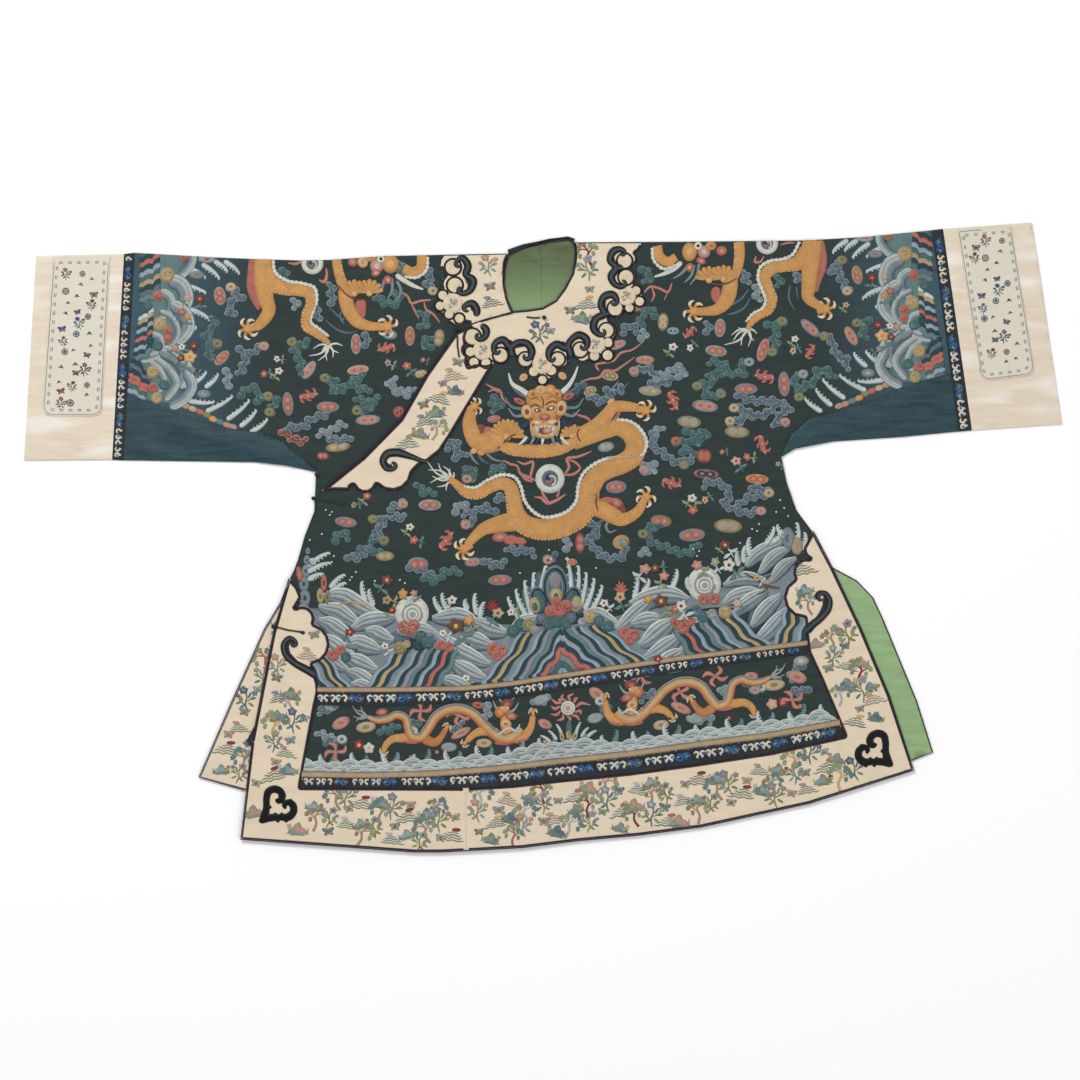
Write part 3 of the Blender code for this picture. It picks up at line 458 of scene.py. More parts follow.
class Dye:
    """A material and its nodes."""

    def __init__(self, name, **constants):
        """A new material whose shader has these constants on its sockets."""
        self.material = bpy.data.materials.new(name)
        self.material.use_nodes = True
        self.tree = self.material.node_tree
        self.shader = self.tree.nodes["Principled BSDF"]
        for socket, value in constants.items():
            self.shader.inputs[SOCKETS.get(socket, socket.capitalize())].default_value = value

    def node(self, kind, settings=None, values=None, output=0):
        """Adds a node: its settings first, then the values or links of its sockets."""
        made = self.tree.nodes.new(kind)
        for name, value in (settings or {}).items():
            setattr(made, name, value)
        for socket, value in (values or {}).items():
            target = made.inputs[socket]
            if isinstance(value, Value):
                self.tree.links.new(value.socket, target)
            else:
                target.default_value = value
        return Value(self, made.outputs[output])

    def feed(self, socket, value):
        """Links a value to one of the shader's own sockets."""
        self.tree.links.new(value.socket, self.shader.inputs[socket])

    def places(self, scale=(1, 1, 1), turn=0.0):
        """Object coordinates, scaled and turned about up."""
        at = self.node("ShaderNodeTexCoord", output="Object")
        return self.node("ShaderNodeMapping", None, {
            "Vector": at, "Scale": scale, "Rotation": (0, 0, math.radians(turn))})

    def noise(self, size, scale, turn, detail, rough=0.5):
        """Noise whose blobs are size metres across."""
        return self.node("ShaderNodeTexNoise", None, {
            "Vector": self.places(scale, turn), "Scale": 1 / size, "Detail": detail,
            "Roughness": rough})

    def blend(self, factor, a, b, kind="MIX"):
        """Two colours mixed by a factor."""
        return self.node("ShaderNodeMix", {"data_type": "RGBA", "blend_type": kind},
                         {0: factor, 6: a, 7: b}, output=2)

    def weave(self, pitch, turn):
        """Over and under of plain cloth: a wave one way times a wave the other."""
        waves = [self.node("ShaderNodeTexWave", {"wave_profile": "SIN"}, {
            "Vector": self.places(turn=turn + side), "Scale": 0.314 / pitch,
            "Distortion": 0.6, "Detail": 1.0, "Detail Scale": 2.0}) for side in (0, 90)]
        return waves[0] * waves[1]

    def bump(self, height, strength, distance):
        """Feeds a height to the shader's normal."""
        self.feed("Normal", self.node("ShaderNodeBump", None, {
            "Height": height, "Strength": strength, "Distance": distance}))


def rgba(colour, times=1.0):
    """A colour as four numbers, lighter or darker by a factor."""
    return (*(min(part * times, 1.0) for part in colour), 1.0)


def silk(name, colour, lighter, pitch, rough, sheen, streak, turn, depth=0.5,
         tint_and_shade=None, painted_sheen=0.0):
    """Plain silk: its colour and a lighter one in soft streaks, and a fine weave in both colour
    and bump; lighter is how many times lighter.  The streaks are the silk's uneven tone, and on
    the gores, where they are much lighter and slanted, a painted sheen.  fade is an axis, where
    along it another colour starts and is full, that colour and how much of it; across (axis 0)
    both ends change alike.  It gives the ground silk a bluer tint and the lining painted shade.
    The gleam argument is a painted sheen: it adds that much of a few broad pale streaks."""
    dye = Dye(name, roughness=rough, sheen_weight=sheen, sheen_roughness=0.4,
              specular_ior_level=0.2)
    # soft lighter streaks: the silk's uneven tone, and on the gores a painted sheen
    streaks = dye.noise(0.05, streak, turn, 3.0, 0.6)
    slubs = dye.noise(0.004, (1, 14, 1), turn, 2.0)
    cloth = dye.blend((streaks * 0.75 + slubs * 0.25).over(0.3, 0.7), rgba(colour),
                      rgba(colour, lighter))
    # a colour laid along an axis: a tint on the ground silk, painted shade on the lining
    if tint_and_shade:
        axis, start, full, other, much = tint_and_shade
        reach = dye.node("ShaderNodeSeparateXYZ", None, {"Vector": dye.places()}, output=axis)
        if axis == 0:
            reach = reach.maths("ABSOLUTE")
        cloth = dye.blend(reach.over(start, full) * (streaks * 0.6 + 0.6) * much, cloth,
                          rgba(linear(other)))
    # painted sheen: broad pale streaks over the cloth's colour
    if painted_sheen:
        cloth = dye.blend(dye.noise(0.085, (1, 3.4, 1), turn - 24, 1.0, 0.4).over(0.48, 0.8) * painted_sheen,
                          cloth, (0.86, 0.83, 0.78, 1))
    threads = dye.weave(pitch, turn)
    cloth = dye.blend(threads * 0.25, cloth, rgba(colour, 0.6))
    dye.feed("Base Color", cloth)
    dye.bump(threads + slubs * 0.5, depth, pitch * 0.4)
    return dye.material


def stitched(name, rough=0.45, grain=0.0011, depth=0.35):
    """Embroidery thread: the stored thread colour, uneven from stitch to stitch."""
    dye = Dye(name, roughness=rough, metallic=0.0, specular_ior_level=0.2)
    thread = dye.node("ShaderNodeAttribute", {"attribute_name": "thread"}, output="Color")
    stitches = dye.noise(grain, (1, 1, 1), 0, 2.0, 0.7)
    patches = dye.noise(0.012, (1, 1, 1), 0, 2.0)
    uneven = (stitches * 0.7 + patches * 0.3).over(0.25, 0.75)
    shaded = dye.blend(1.0, thread, dye.blend(uneven, (0.58, 0.58, 0.60, 1), (1.0, 0.99, 0.97, 1)),
                       "MULTIPLY")
    dye.feed("Base Color", shaded)
    dye.bump(stitches, depth, 0.0004)
    return dye.material


# ---------------------------------------------------------------- making pieces
def new_object(name, mesh, finish):
    """Links a mesh as a piece that rides on the robe."""
    piece = bpy.data.objects.new(name, mesh)
    bpy.context.scene.collection.objects.link(piece)
    mesh.materials.clear()
    mesh.materials.append(finish)
    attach(piece, "root")
    return piece


def sew(work, name, nodes, top, finish, above, leave=()):
    """Makes needlework one mesh on its panels: points off the panels go to the nearest edge,
    and height = top of the cloth + rise + creases.  Nothing is sewn on the cloths in leave."""
    points, faces, tones, shades = work.whole()
    outlines = [rim_of(node, above) for node in nodes]
    for node in leave:
        faces = faces[~within(points[:, :2], rim_of(node))[faces].all(1)]
    flat = points[:, :2]
    inside = np.any([within(flat, outline) for outline in outlines], axis=0)
    off = np.flatnonzero(~inside)
    faces = faces[inside[faces].any(1)]
    used = np.isin(off, faces)
    off = off[used]
    if len(off):
        spots, gaps = zip(*(nearest_on(flat[off], outline) for outline in outlines))
        best = np.array(gaps).argmin(0)
        points[off, :2] = np.array(spots)[best, np.arange(len(off))]
    a, b, c = (points[faces[:, i]] for i in range(3))
    faces = faces[np.linalg.norm(np.cross(b - a, c - a), axis=1) > 1e-7]
    kept, place = np.unique(faces, return_inverse=True)
    faces = place.reshape(-1, 3)
    points, tones, shades = points[kept], tones[kept], shades[kept]
    x, y = points[:, 0], points[:, 1]
    points[:, 2] += top(x, y) + creases(x, y)
    mesh = mesh_of(name, points * MM, faces)
    colours = np.ones((len(points), 4), np.float32)
    # thread colour times shade: the shade holds painted shade and highlight of the raised shapes
    colours[:, :3] = THREAD_COLOURS[tones] * shades[:, None]
    stored = mesh.attributes.new("thread", "FLOAT_COLOR", "POINT")
    stored.data.foreach_set("color", colours.ravel())
    lay_map(mesh)
    return new_object(name, mesh, finish)


def mesh_of(name, points, faces):
    """A mesh from arrays of points in metres and triangles, shaded smooth."""
    mesh = bpy.data.meshes.new(name)
    mesh.vertices.add(len(points))
    mesh.vertices.foreach_set("co", points.astype(np.float32).ravel())
    mesh.loops.add(faces.size)
    mesh.loops.foreach_set("vertex_index", faces.astype(np.int32).ravel())
    mesh.polygons.add(len(faces))
    mesh.polygons.foreach_set("loop_start", np.arange(0, faces.size, 3, dtype=np.int32))
    mesh.polygons.foreach_set("use_smooth", np.ones(len(faces), bool))
    mesh.update(calc_edges=True)
    mesh.validate()
    return mesh


def lay_map(mesh):
    """The bake's map, seen from above: u and v are the shares of the piece's width and length."""
    corners = np.empty(len(mesh.loops), np.int32)
    mesh.loops.foreach_get("vertex_index", corners)
    co = np.empty(len(mesh.vertices) * 3, np.float32)
    mesh.vertices.foreach_get("co", co)
    flat = co.reshape(-1, 3)[:, :2]
    low, high = flat.min(0), flat.max(0)
    shares = 0.005 + 0.99 * (flat - low) / (high - low)
    mesh.uv_layers.new(name="OFBake").uv.foreach_set("vector", shares[corners].ravel())


def cloth_piece(node, finish, spacing):
    """A packed cloth, cut on a square grid and lifted over the creases; it stands for the node."""
    work = bmesh.new()
    work.from_mesh(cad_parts[node].data)
    bmesh.ops.remove_doubles(work, verts=work.verts, dist=1e-6)
    low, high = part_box(node)
    for axis, normal in ((0, (1, 0, 0)), (1, (0, 1, 0))):
        start = math.ceil(low[axis] / MM / spacing) * spacing
        for at in np.arange(start, high[axis] / MM, spacing):
            spot = [0.0, 0.0, 0.0]
            spot[axis] = float(at) * MM
            bmesh.ops.bisect_plane(work, geom=work.verts[:] + work.edges[:] + work.faces[:],
                                   dist=1e-6, plane_co=spot, plane_no=normal)
    mesh = bpy.data.meshes.new(node)
    work.to_mesh(mesh)
    work.free()
    co = np.empty(len(mesh.vertices) * 3, np.float32)
    mesh.vertices.foreach_get("co", co)
    co = co.reshape(-1, 3).astype(float)
    co[:, 2] += creases(co[:, 0] / MM, co[:, 1] / MM) * MM
    mesh.vertices.foreach_set("co", co.astype(np.float32).ravel())
    mesh.polygons.foreach_set("use_smooth", np.ones(len(mesh.polygons), bool))
    mesh.update()
    mesh.set_sharp_from_angle(angle=math.radians(40))
    piece = new_object(node + "_cloth", mesh, finish)
    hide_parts(node)
    return piece


def cut_area(node):
    """Half a packed cloth's surface in square metres, which is the area of its cut."""
    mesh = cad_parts[node].data
    sizes = np.empty(len(mesh.polygons), np.float32)
    mesh.polygons.foreach_get("area", sizes)
    return float(sizes.sum()) / 2


# ---------------------------------------------------------------- shapes on the frame
def spot(column, row):
    """One place on the embroidery frame, in mm."""
    return (column - FRAME_MIDDLE[0]) * SQUARE, (FRAME_MIDDLE[1] - row) * SQUARE


def ovals(work, *rows, rise=0.30, sides=14):
    """Ovals: column, row, half across, half up, turn, then threads from the rim inwards; each ring has a
    painted highlight in its middle and painted shade at its rim.
    """
    for column, row, across, up, turn, *threads in rows:
        x, y = spot(column, row)
        for i, thread in enumerate(threads):
            part = 1 - 0.36 * i
            work.round(x, y, [(0.55, rise + 0.04, thread, 1.05), (1, rise, thread, 0.86)],
                       across * part * SQUARE, up * part * SQUARE, turn, sides)


def lines(work, *rows, step=1.6, rise=0.30, round_ends=True):
    """Lines of satin stitch: a thread, then column, row and half width of each place."""
    for thread, *places in rows:
        work.strip(squares(places), satin(thread, 0.75, rise), step=step, round_ends=round_ends)


def scale_stitch(pitch, belly, light=1.06, dark=0.82):
    """Shades for a scaled body: scales sit on two square grids half a pitch apart, light in the
    middle and darker from 0.26 to 0.42 of a pitch; belly is the side with plates, -1, 0 or 1."""
    def paint(run, side, half, tones, shades):
        """Threads and shades at run mm along and side times half mm out."""
        ahead, out = run / pitch, side * half / pitch
        away = np.minimum(np.hypot(ahead - np.round(ahead), out - np.round(out)),
                          np.hypot(ahead - np.floor(ahead) - 0.5, out - np.floor(out) - 0.5))
        shades = shades * (light - (light - dark) * share(away, 0.26, 0.42))
        if belly:
            plate = side * belly > 1 - 2.6 / np.maximum(half, 3)
            ribs = np.where((run / (pitch * 0.75)) % 1 < 0.35, 0.62, 1.02)
            shades = np.where(plate, ribs, shades)
            tones = np.where(plate & (ribs > 0.7), THREAD_INDEX["gold_light"], tones)
            tones = np.where(plate & (ribs < 0.7), THREAD_INDEX["orange"], tones)
        return tones, shades
    return paint


def scaled(work, rows, belly=0, thread="gold", columns=15, crown=0.55, rise=0.55, pitch=6.0):
    """A scaled limb or body: a crowned strip with scale_stitch over its threads, and painted shade darkening
    it toward its sides.
    """
    side = np.linspace(-1, 1, columns)
    section = [(s, rise, thread, 1.06 - 0.26 * abs(s) ** 3) for s in side]
    work.strip(squares(rows), section, step=1.25, paint=scale_stitch(pitch, belly), crown=crown)


def ridge(work, rows, rise):
    """A saw-edged fin of white: half width = width (0.6 + 0.85 saw(run / FIN_TOOTH))."""
    line = smooth(squares(rows), FIN_STEP)
    run = np.arange(len(line)) * FIN_STEP
    line[:, 2] *= 0.6 + 0.85 * (1 - (run / FIN_TOOTH) % 1)
    work.strip(line, satin("white", 0.8, rise), step=FIN_STEP)


def paw(work, column, row, toward, size=1.0, spread=150, rise=0.65):
    """A five-clawed paw: toes fan out about a palm, and each ends in a pale hooked claw."""
    x, y = spot(column, row)
    one = SQUARE * size
    back = np.array([-9.5, -4.5, 0]) * one
    work.strip(around_place(x, y, back, math.radians(toward), np.array([4.4, 4.0, 3.8]) * one),
               satin("gold", 0.74, rise), step=1.6, crown=0.3)
    fan = np.radians(toward + np.linspace(-spread / 2, spread / 2, 5))
    for i, angle in enumerate(fan):
        work.strip(around_place(x, y, np.array([0, 3.6, 7.4]) * one, angle,
                                np.array([2.6, 1.7, 1.25]) * one),
                   satin("gold", 0.72, rise), step=1.6)
        hook = math.copysign(0.42, i - 2 or 1)
        angles = angle + hook * np.array([0, 0.25, 0.8, 1.5])
        work.strip(around_place(x, y, np.array([6.4, 8.2, 9.9, 10.8]) * one, angles,
                                np.array([1.3, 1.7, 1.3, 0.5]) * one),
                   satin("cream", 0.72, rise - 0.05), step=1.1)
    work.round(x, y, [(0.6, rise + 0.3, "gold", 1.08), (1, rise, "gold", 0.86)], 4.4 * one)


def shell_fan(work, column, row, radius, toward, rays, spread, rise=0.85):
    """A pleated joint: round-ended rays side by side from one root, with painted shade where they meet."""
    x, y = spot(column, row)
    reach = radius * SQUARE
    for angle in np.radians(toward + np.linspace(-spread / 2, spread / 2, rays)):
        half = reach * math.radians(spread) / rays * 0.52
        ends = np.array([0.12, 0.6, 1.0]) * reach
        work.strip(around_place(x, y, ends, angle, np.array([0.35, 0.8, 1.0]) * half),
                   satin("gold", 0.6, rise), step=1.8, round_ends=True)
    work.round(x, y, [(0.5, rise + 0.2, "gold_light", 1), (1, rise + 0.1, "gold", 0.8)], reach * 0.24)


def pearl(work, column, row, radius):
    """A pearl: a white ring, pale and blue rings, and a curl of dark blue and coral within."""
    x, y = spot(column, row)
    r = radius * SQUARE
    rings = [(1.0, "white"), (0.80, "steel"), (0.70, "blue"), (0.44, "navy")]
    for i, (part, thread) in enumerate(rings):
        work.round(x, y, [(0.7, 0.45, thread, 1.04), (1, 0.36 + 0.02 * i, thread, 0.9)],
                   r * part, sides=30)
    for thread, start, reach in (("navy", 0.4, 0.36), ("coral", 3.6, 0.30), ("pale", 5.0, 0.5)):
        angle = start + np.linspace(0, 3.2, 7)
        away = r * reach * np.linspace(1, 0.25, 7)
        work.strip(around_place(x, y, away, angle, r * 0.085), satin(thread, 0.9, 0.45), step=1.2)


def flames(work, *rows, thread="coral"):
    """Tongues of flame: wavy tapered lines, each a row of places, with a paler vein."""
    for places in rows:
        work.strip(squares(places), banded(thread, "rose", thread, 0.34), step=1.3,
                   round_ends=True)


def hair(work, column, row, ends, thread="white", half=1.1):
    """Strands from one place to each end, bowed a little and tapered to a point."""
    for i, (end_column, end_row) in enumerate(ends):
        bow = 0.14 * (-1) ** i
        middle_column = (column + end_column) / 2 + bow * (end_row - row)
        middle_row = (row + end_row) / 2 - bow * (end_column - column)
        lines(work, (thread, (column, row, half), (middle_column, middle_row, half * 0.8),
                     (end_column, end_row, 0.3)), rise=0.5)


# ---------------------------------------------------------------- great dragon
def dragon_flames(work):
    """The great dragon's flames, the tufts at its joints, its pearl and its tail's hair."""
    flames(work,
           ((503, 460, .5), (510, 464, 1.4), (517, 466, 1.2), (520, 473, 1.5), (530, 478, 1.7),
            (536, 481, .5)),
           ((517, 461, .5), (524, 464, 1.3), (533, 462, 1.3), (532, 470, 1.5), (530, 478, 1.2)),
           ((520, 473, .6), (525, 479, 1.4), (533, 482, .8)),
           ((592, 451, .4), (583, 455, 1.2), (577, 457, 1.4), (567, 459, 1.6), (569, 467, 1.6),
            (565, 474, 1)),
           ((566, 459, .4), (576, 463, 1.3), (580, 468, 1.2), (574, 474, 1.5), (564, 475, 1)),
           ((534, 497, .4), (541, 498, 1.5), (547, 503, 1.8), (557, 500, 1.6), (566, 494, .5)),
           ((541, 489, .8), (544, 496, 1.6), (549, 503, 1)), ((560, 489, .6), (557, 497, 1.5)),
           ((486, 384, .5), (493, 388, 1.2), (500, 391, 1.3), (503, 399, 1.2), (508, 404, .5)),
           ((488, 392, .5), (494, 390, 1), (499, 393, .5)),
           ((573, 413, .5), (581, 416, 1.2), (587, 418, 1.4), (592, 423, .6)),
           ((580, 382, .4), (590, 379, 1.1), (600, 377, 1.4), (605, 371, 1.5), (614, 371, 1.4),
            (624, 365, 1.1), (635, 357, .4)),
           ((599, 371, 1), (596, 365, 1.3), (603, 363, 1.3), (613, 361, 1.3), (621, 353, 1.3),
            (632, 350, 1), (644, 341, .4)))
    for thread, *rows in (
            ("steel", (604, 403, 1.4), (607, 394, 1.2), (613, 388, 1), (619, 381, .4)),
            ("blue", (609, 402, 1.3), (613, 396, 1.2), (621, 391, 1), (629, 382, .4)),
            ("navy", (616, 401, 1.2), (620, 396, 1), (616, 393, .5)),
            ("steel", (470, 452, 1.4), (473, 459, 1.2), (479, 465, .4)),
            ("blue", (478, 453, 1.3), (482, 460, 1.1), (489, 464, .4)),
            ("steel", (486, 453, 1.2), (493, 459, 1.1), (504, 462, .4)),
            ("blue", (604, 519, 1.5), (596, 526, 1.4), (591, 533, 1.2), (586, 541, .4)),
            ("steel", (610, 519, 1.4), (606, 527, 1.3), (609, 532, 1), (617, 530, .4))):
        lines(work, (thread, *rows), rise=0.3)
    pearl(work, 550, 478.7, 14.6)
    hair(work, 452, 479, ((427, 461), (428, 470), (432, 476), (430, 483), (437, 487), (446, 491),
                          (438, 463), (443, 466), (450, 468), (454, 472)))


def dragon_body(work):
    """The coils, tail first so that each turn lies over the last, the hind legs and the fins."""
    body = ((573, 443, 7.6), (591, 436, 8), (606, 431, 7.8), (618, 427.5, 8.6), (629, 432, 9.8),
            (636, 443.5, 10.5), (633, 456, 10.4), (622, 464, 10), (608, 469.5, 9.6),
            (596, 477.5, 9.8), (589.5, 489.5, 10.6), (587.5, 502, 11), (581, 515, 11.2),
            (568, 524, 11.2), (552, 529, 11), (536, 529, 10.6), (522.5, 523, 10),
            (515.5, 511, 8.6), (513, 497, 7.6), (509.5, 486.5, 7), (501, 483.5, 6.4),
            (490, 487.5, 5.9), (478, 494, 5.6), (466, 492.5, 5.2), (457.5, 485, 4.2),
            (449, 478.5, 2.8))
    # hind legs, with coral flames behind the thighs
    ovals(work, (500, 537, 8, 5, 10, "coral", "rose"), (511, 540, 8, 5, 0, "coral"),
          (520, 541, 7, 4, -10, "coral"), (606, 501, 8, 4, 10, "coral"),
          (617, 503, 7, 4.5, -30, "coral", "rose"), (622, 509, 5, 4, -60, "coral_dark"),
          rise=0.4)
    scaled(work, ((522, 521, 9.5), (508, 522.5, 9.4), (496, 525, 8.2), (484, 529, 6.4),
                  (475, 536.5, 5), (467, 545.5, 4)), belly=0)
    paw(work, 463.5, 549.5, 215, 1.0, 200)
    scaled(work, ((592, 506, 9), (602, 510, 8.6), (612, 515, 8.4), (621, 519.5, 6.8),
                  (630, 517, 5.8), (638, 511, 5), (643, 503, 4.2)), belly=0)
    paw(work, 646, 497, 62, 0.95, 230)
    scaled(work, body[9:], belly=1)
    scaled(work, body[:12], belly=0)
    # fins: the outer edge of the top bend, over the body, and the inner edge to the tail
    ridge(work, ((617, 419.5, 1.2), (630, 421.5, 1.5), (641, 430, 1.6), (646.5, 443, 1.6),
                 (643.5, 453, 1.5), (636, 457, 1.2)), rise=1.0)
    ridge(work, ((643, 453, 1), (626, 456.5, 1.1), (607, 458.5, 1.4), (594.5, 464, 1.6),
                 (583, 474, 1.6), (578, 487, 1.6), (576.5, 500, 1.6), (569, 510, 1.6),
                 (556, 516, 1.6), (543, 517, 1.6), (531.5, 510, 1.6), (524, 499, 1.6),
                 (521, 487, 1.6), (515, 477.5, 1.6), (501, 475, 1.6), (488, 480, 1.5),
                 (475, 487.5, 1.4), (462, 486, 1.2)), rise=0.85)


def dragon_forelegs(work):
    """The forelegs and shoulders, the plates between them and the pleated joints."""
    ovals(work, (489, 432, 9, 5, -20, "coral"), (481, 429, 5, 5, 0, "coral_dark"), rise=0.42)
    lines(work, ("coral", (583, 440, 1.5), (600, 432, 2.2), (614, 422, 2.4), (620, 411, 1.5)),
          rise=0.7)
    scaled(work, ((504, 441, 9), (495, 441, 11), (485, 443, 10.5), (476.5, 441, 8.5),
                  (471.5, 432, 8), (469.5, 421, 6.8), (471, 411, 5)), belly=0)
    paw(work, 474.5, 406.5, 30, 0.85, 200)
    ovals(work, (474, 451, 4, 3, 30, "gold_light"), (481, 453, 4, 2.6, -10, "gold"), rise=0.7)
    scaled(work, ((575, 437, 6.4), (586, 431.5, 7), (597, 425, 7), (606.5, 415.5, 6.6),
                  (613.5, 407.5, 6), (626, 406.5, 5.4), (638, 408, 4)), belly=0)
    ovals(work, (611, 402, 4, 3, 40, "gold_light"), rise=0.7)
    paw(work, 646, 410.5, 350, 0.95, 230)
    scaled(work, ((499, 444, 4), (509, 448.5, 6.2), (522, 450.5, 6.6), (536, 451.5, 6.8),
                  (550, 450.5, 6.8), (564, 447, 6.4), (577, 441, 4.4)), belly=-1, rise=0.62)
    shell_fan(work, 507, 437, 18, 78, 10, 150)
    shell_fan(work, 572, 436, 12, 100, 7, 150)
    lines(work, ("brown", (497, 449, .6), (504, 443, .8), (509, 437.5, .8), (516, 434, .5)),
          ("brown", (581, 442, .5), (577.5, 436, .8), (578.5, 428, .5)),
          ("coral_dark", (598, 511, .6), (596, 503, .9), (597, 494, .5)), rise=1.0)


def dragon_mane(work):
    """The mane's strands and the two horns."""
    for thread, *places in (
            ("blue", (527, 398, 1.8), (516, 391, 1.4), (509, 381, .5)),
            ("navy", (525, 403, 1.9), (512, 397, 1.5), (503, 386, .5)),
            ("sea", (524, 409, 1.8), (512, 407, 1.4), (505, 397, .5)),
            ("steel", (525, 415, 1.8), (515, 416, 1.4), (508, 408, .5)),
            ("navy", (529, 422, 2.6), (522, 427, 2.2), (518, 423, .8)),
            ("blue", (563, 396, 1.8), (573, 390, 1.4), (582, 384, .5)),
            ("navy", (565, 402, 1.9), (576, 398, 1.5), (585, 389, .5)),
            ("sea", (565, 408, 1.8), (577, 407, 1.4), (584, 398, .5)),
            ("steel", (564, 414, 1.8), (573, 416, 1.4), (580, 409, .5)),
            ("navy", (562, 421, 2.6), (569, 425, 2.2), (573, 421, .8)),
            ("white", (530, 396, 2.7), (521, 389.5, 2.5), (512.5, 384, 1.9), (508.5, 373, .6)),
            ("white", (561, 393, 2.7), (568, 386.5, 2.3), (573.5, 378, 1.7), (578, 366, .6))):
        lines(work, (thread, *places), rise=0.9)


def dragon_face(work):
    """The ears, the crown, the face, the jaws and the beard."""
    ovals(work, (519.5, 401.5, 6.4, 3, -24, "coral", "coral_dark"),
          (568.5, 396.5, 6.8, 3, 24, "coral", "coral_dark"),
          (544, 399.5, 19, 13.4, 3, "gold_dark"), (544, 399.5, 18, 12.6, 3, "gold"),
          (544, 412, 15.6, 12.4, 0, "gold"), (527, 412, 5.8, 7.4, 14, "gold_light", "coral_dark"),
          (561, 408.4, 6, 8.2, -14, "gold_light", "coral_dark"), rise=0.95)
    ovals(work, (533, 394.5, 6, 5, 0, "gold", "gold_dark"), (541, 390, 6, 4.6, 0, "gold_light", "gold"),
          (550, 389.6, 6, 5, 0, "gold", "gold_light"), (557, 394, 5.4, 5, 0, "gold", "gold_dark"),
          (536.6, 410.6, 5.6, 4.4, -6, "gold_light", "sand"),
          (551.6, 408.6, 6.4, 4.8, 12, "gold_light", "sand"),
          rise=1.02)
    lines(work, ("brown", (530, 407.5, .5), (535.5, 404.6, .9), (541, 408, .5)),
          ("brown", (545, 405.5, .5), (551, 401.6, .9), (558, 402.6, .5)),
          ("brown", (541, 396, .5), (543.4, 402, .7), (542.2, 409, .5)),
          ("gold_dark", (530, 400, .4), (535, 397.6, .8), (540, 401, .4)),
          ("gold_dark", (547, 400, .4), (552, 395.6, .8), (558, 398, .4)),
          ("sand", (643, 452, .5), (634, 456, .9), (622, 457, 1), (606, 457, .6)),
          ("coral", (529, 419, .8), (533.5, 423.5, 1.3), (539, 420, .7)),
          ("coral", (549.5, 419, .7), (556, 421, 1.3), (561.5, 415, .8)),
          ("sand", (531, 422, 1), (531.5, 430, 1.3), (533, 437, .8)),
          ("sand", (559, 420, 1), (558.5, 429, 1.3), (556.5, 437, .8)), rise=1.1)
    ovals(work, (537.4, 410.4, 3.4, 2.4, 0, "brown"), (537.4, 410.3, 2.9, 1.9, 0, "cream"),
          (550.6, 408.4, 4.6, 2.6, 13, "brown"), (550.6, 408.3, 4.1, 2.1, 13, "cream"),
          (538.4, 410.4, 1, 1.2, 0, "brown"), (549, 408.7, 1, 1.2, 0, "brown"),
          (545, 430.6, 14.4, 8.4, 0, "gold_light"), (545, 430.8, 12.4, 6.8, 0, "coral"),
          (545, 430.8, 11, 5.4, 0, "coral_dark"),
          (537.4, 422.6, 6, 2.8, -10, "gold_light", "cream"),
          (551.6, 422, 6.2, 2.8, 10, "gold_light", "cream"),
          (544.6, 417, 5.8, 3.5, 0, "coral", "rose"), (542, 419, 1.4, 1, 0, "coral_dark"),
          (547.3, 418.8, 1.4, 1, 0, "coral_dark"), (548, 430.4, 5.4, 3.2, 8, "rose", "pink"),
          (537.4, 429.6, 1.7, 2.8, 12, "foam"), (553.4, 429, 1.7, 2.8, -12, "foam"),
          (541.4, 427.2, 1.2, 1.3, 0, "foam"), (545, 426.8, 1.2, 1.3, 0, "foam"),
          (549, 427, 1.2, 1.3, 0, "foam"), (540, 435, 1.3, 1.3, 0, "foam"),
          (552, 434.6, 1.3, 1.3, 0, "foam"), rise=1.1, sides=12)
    lines(work, *((thread, (column, 436.5, 1.7), (column + lean * .4, 441, 1.5),
                   (column + lean, 445.5, .4)) for column, lean, thread in (
        (530, -7, "navy"), (534.5, -5, "steel"), (539, -3, "navy"), (543, -1, "white"),
        (547.5, 1.5, "navy"), (552, 3.5, "steel"), (556.5, 6, "navy"), (560.5, 9, "white"),
        (527, -9, "white"))), rise=0.92)
    ovals(work, (523.5, 377.5, 4.6, 3.6, 40, "gold_light", "gold"),
          (562.5, 376, 4.6, 3.6, -40, "gold_light", "gold"), rise=0.3)


def great_dragon():
    """The chest's front-facing dragon, from its flames up to its face."""
    work = Needlework(0.006)
    for part in (dragon_flames, dragon_body, dragon_forelegs, dragon_mane, dragon_face):
        part(work)
    return work


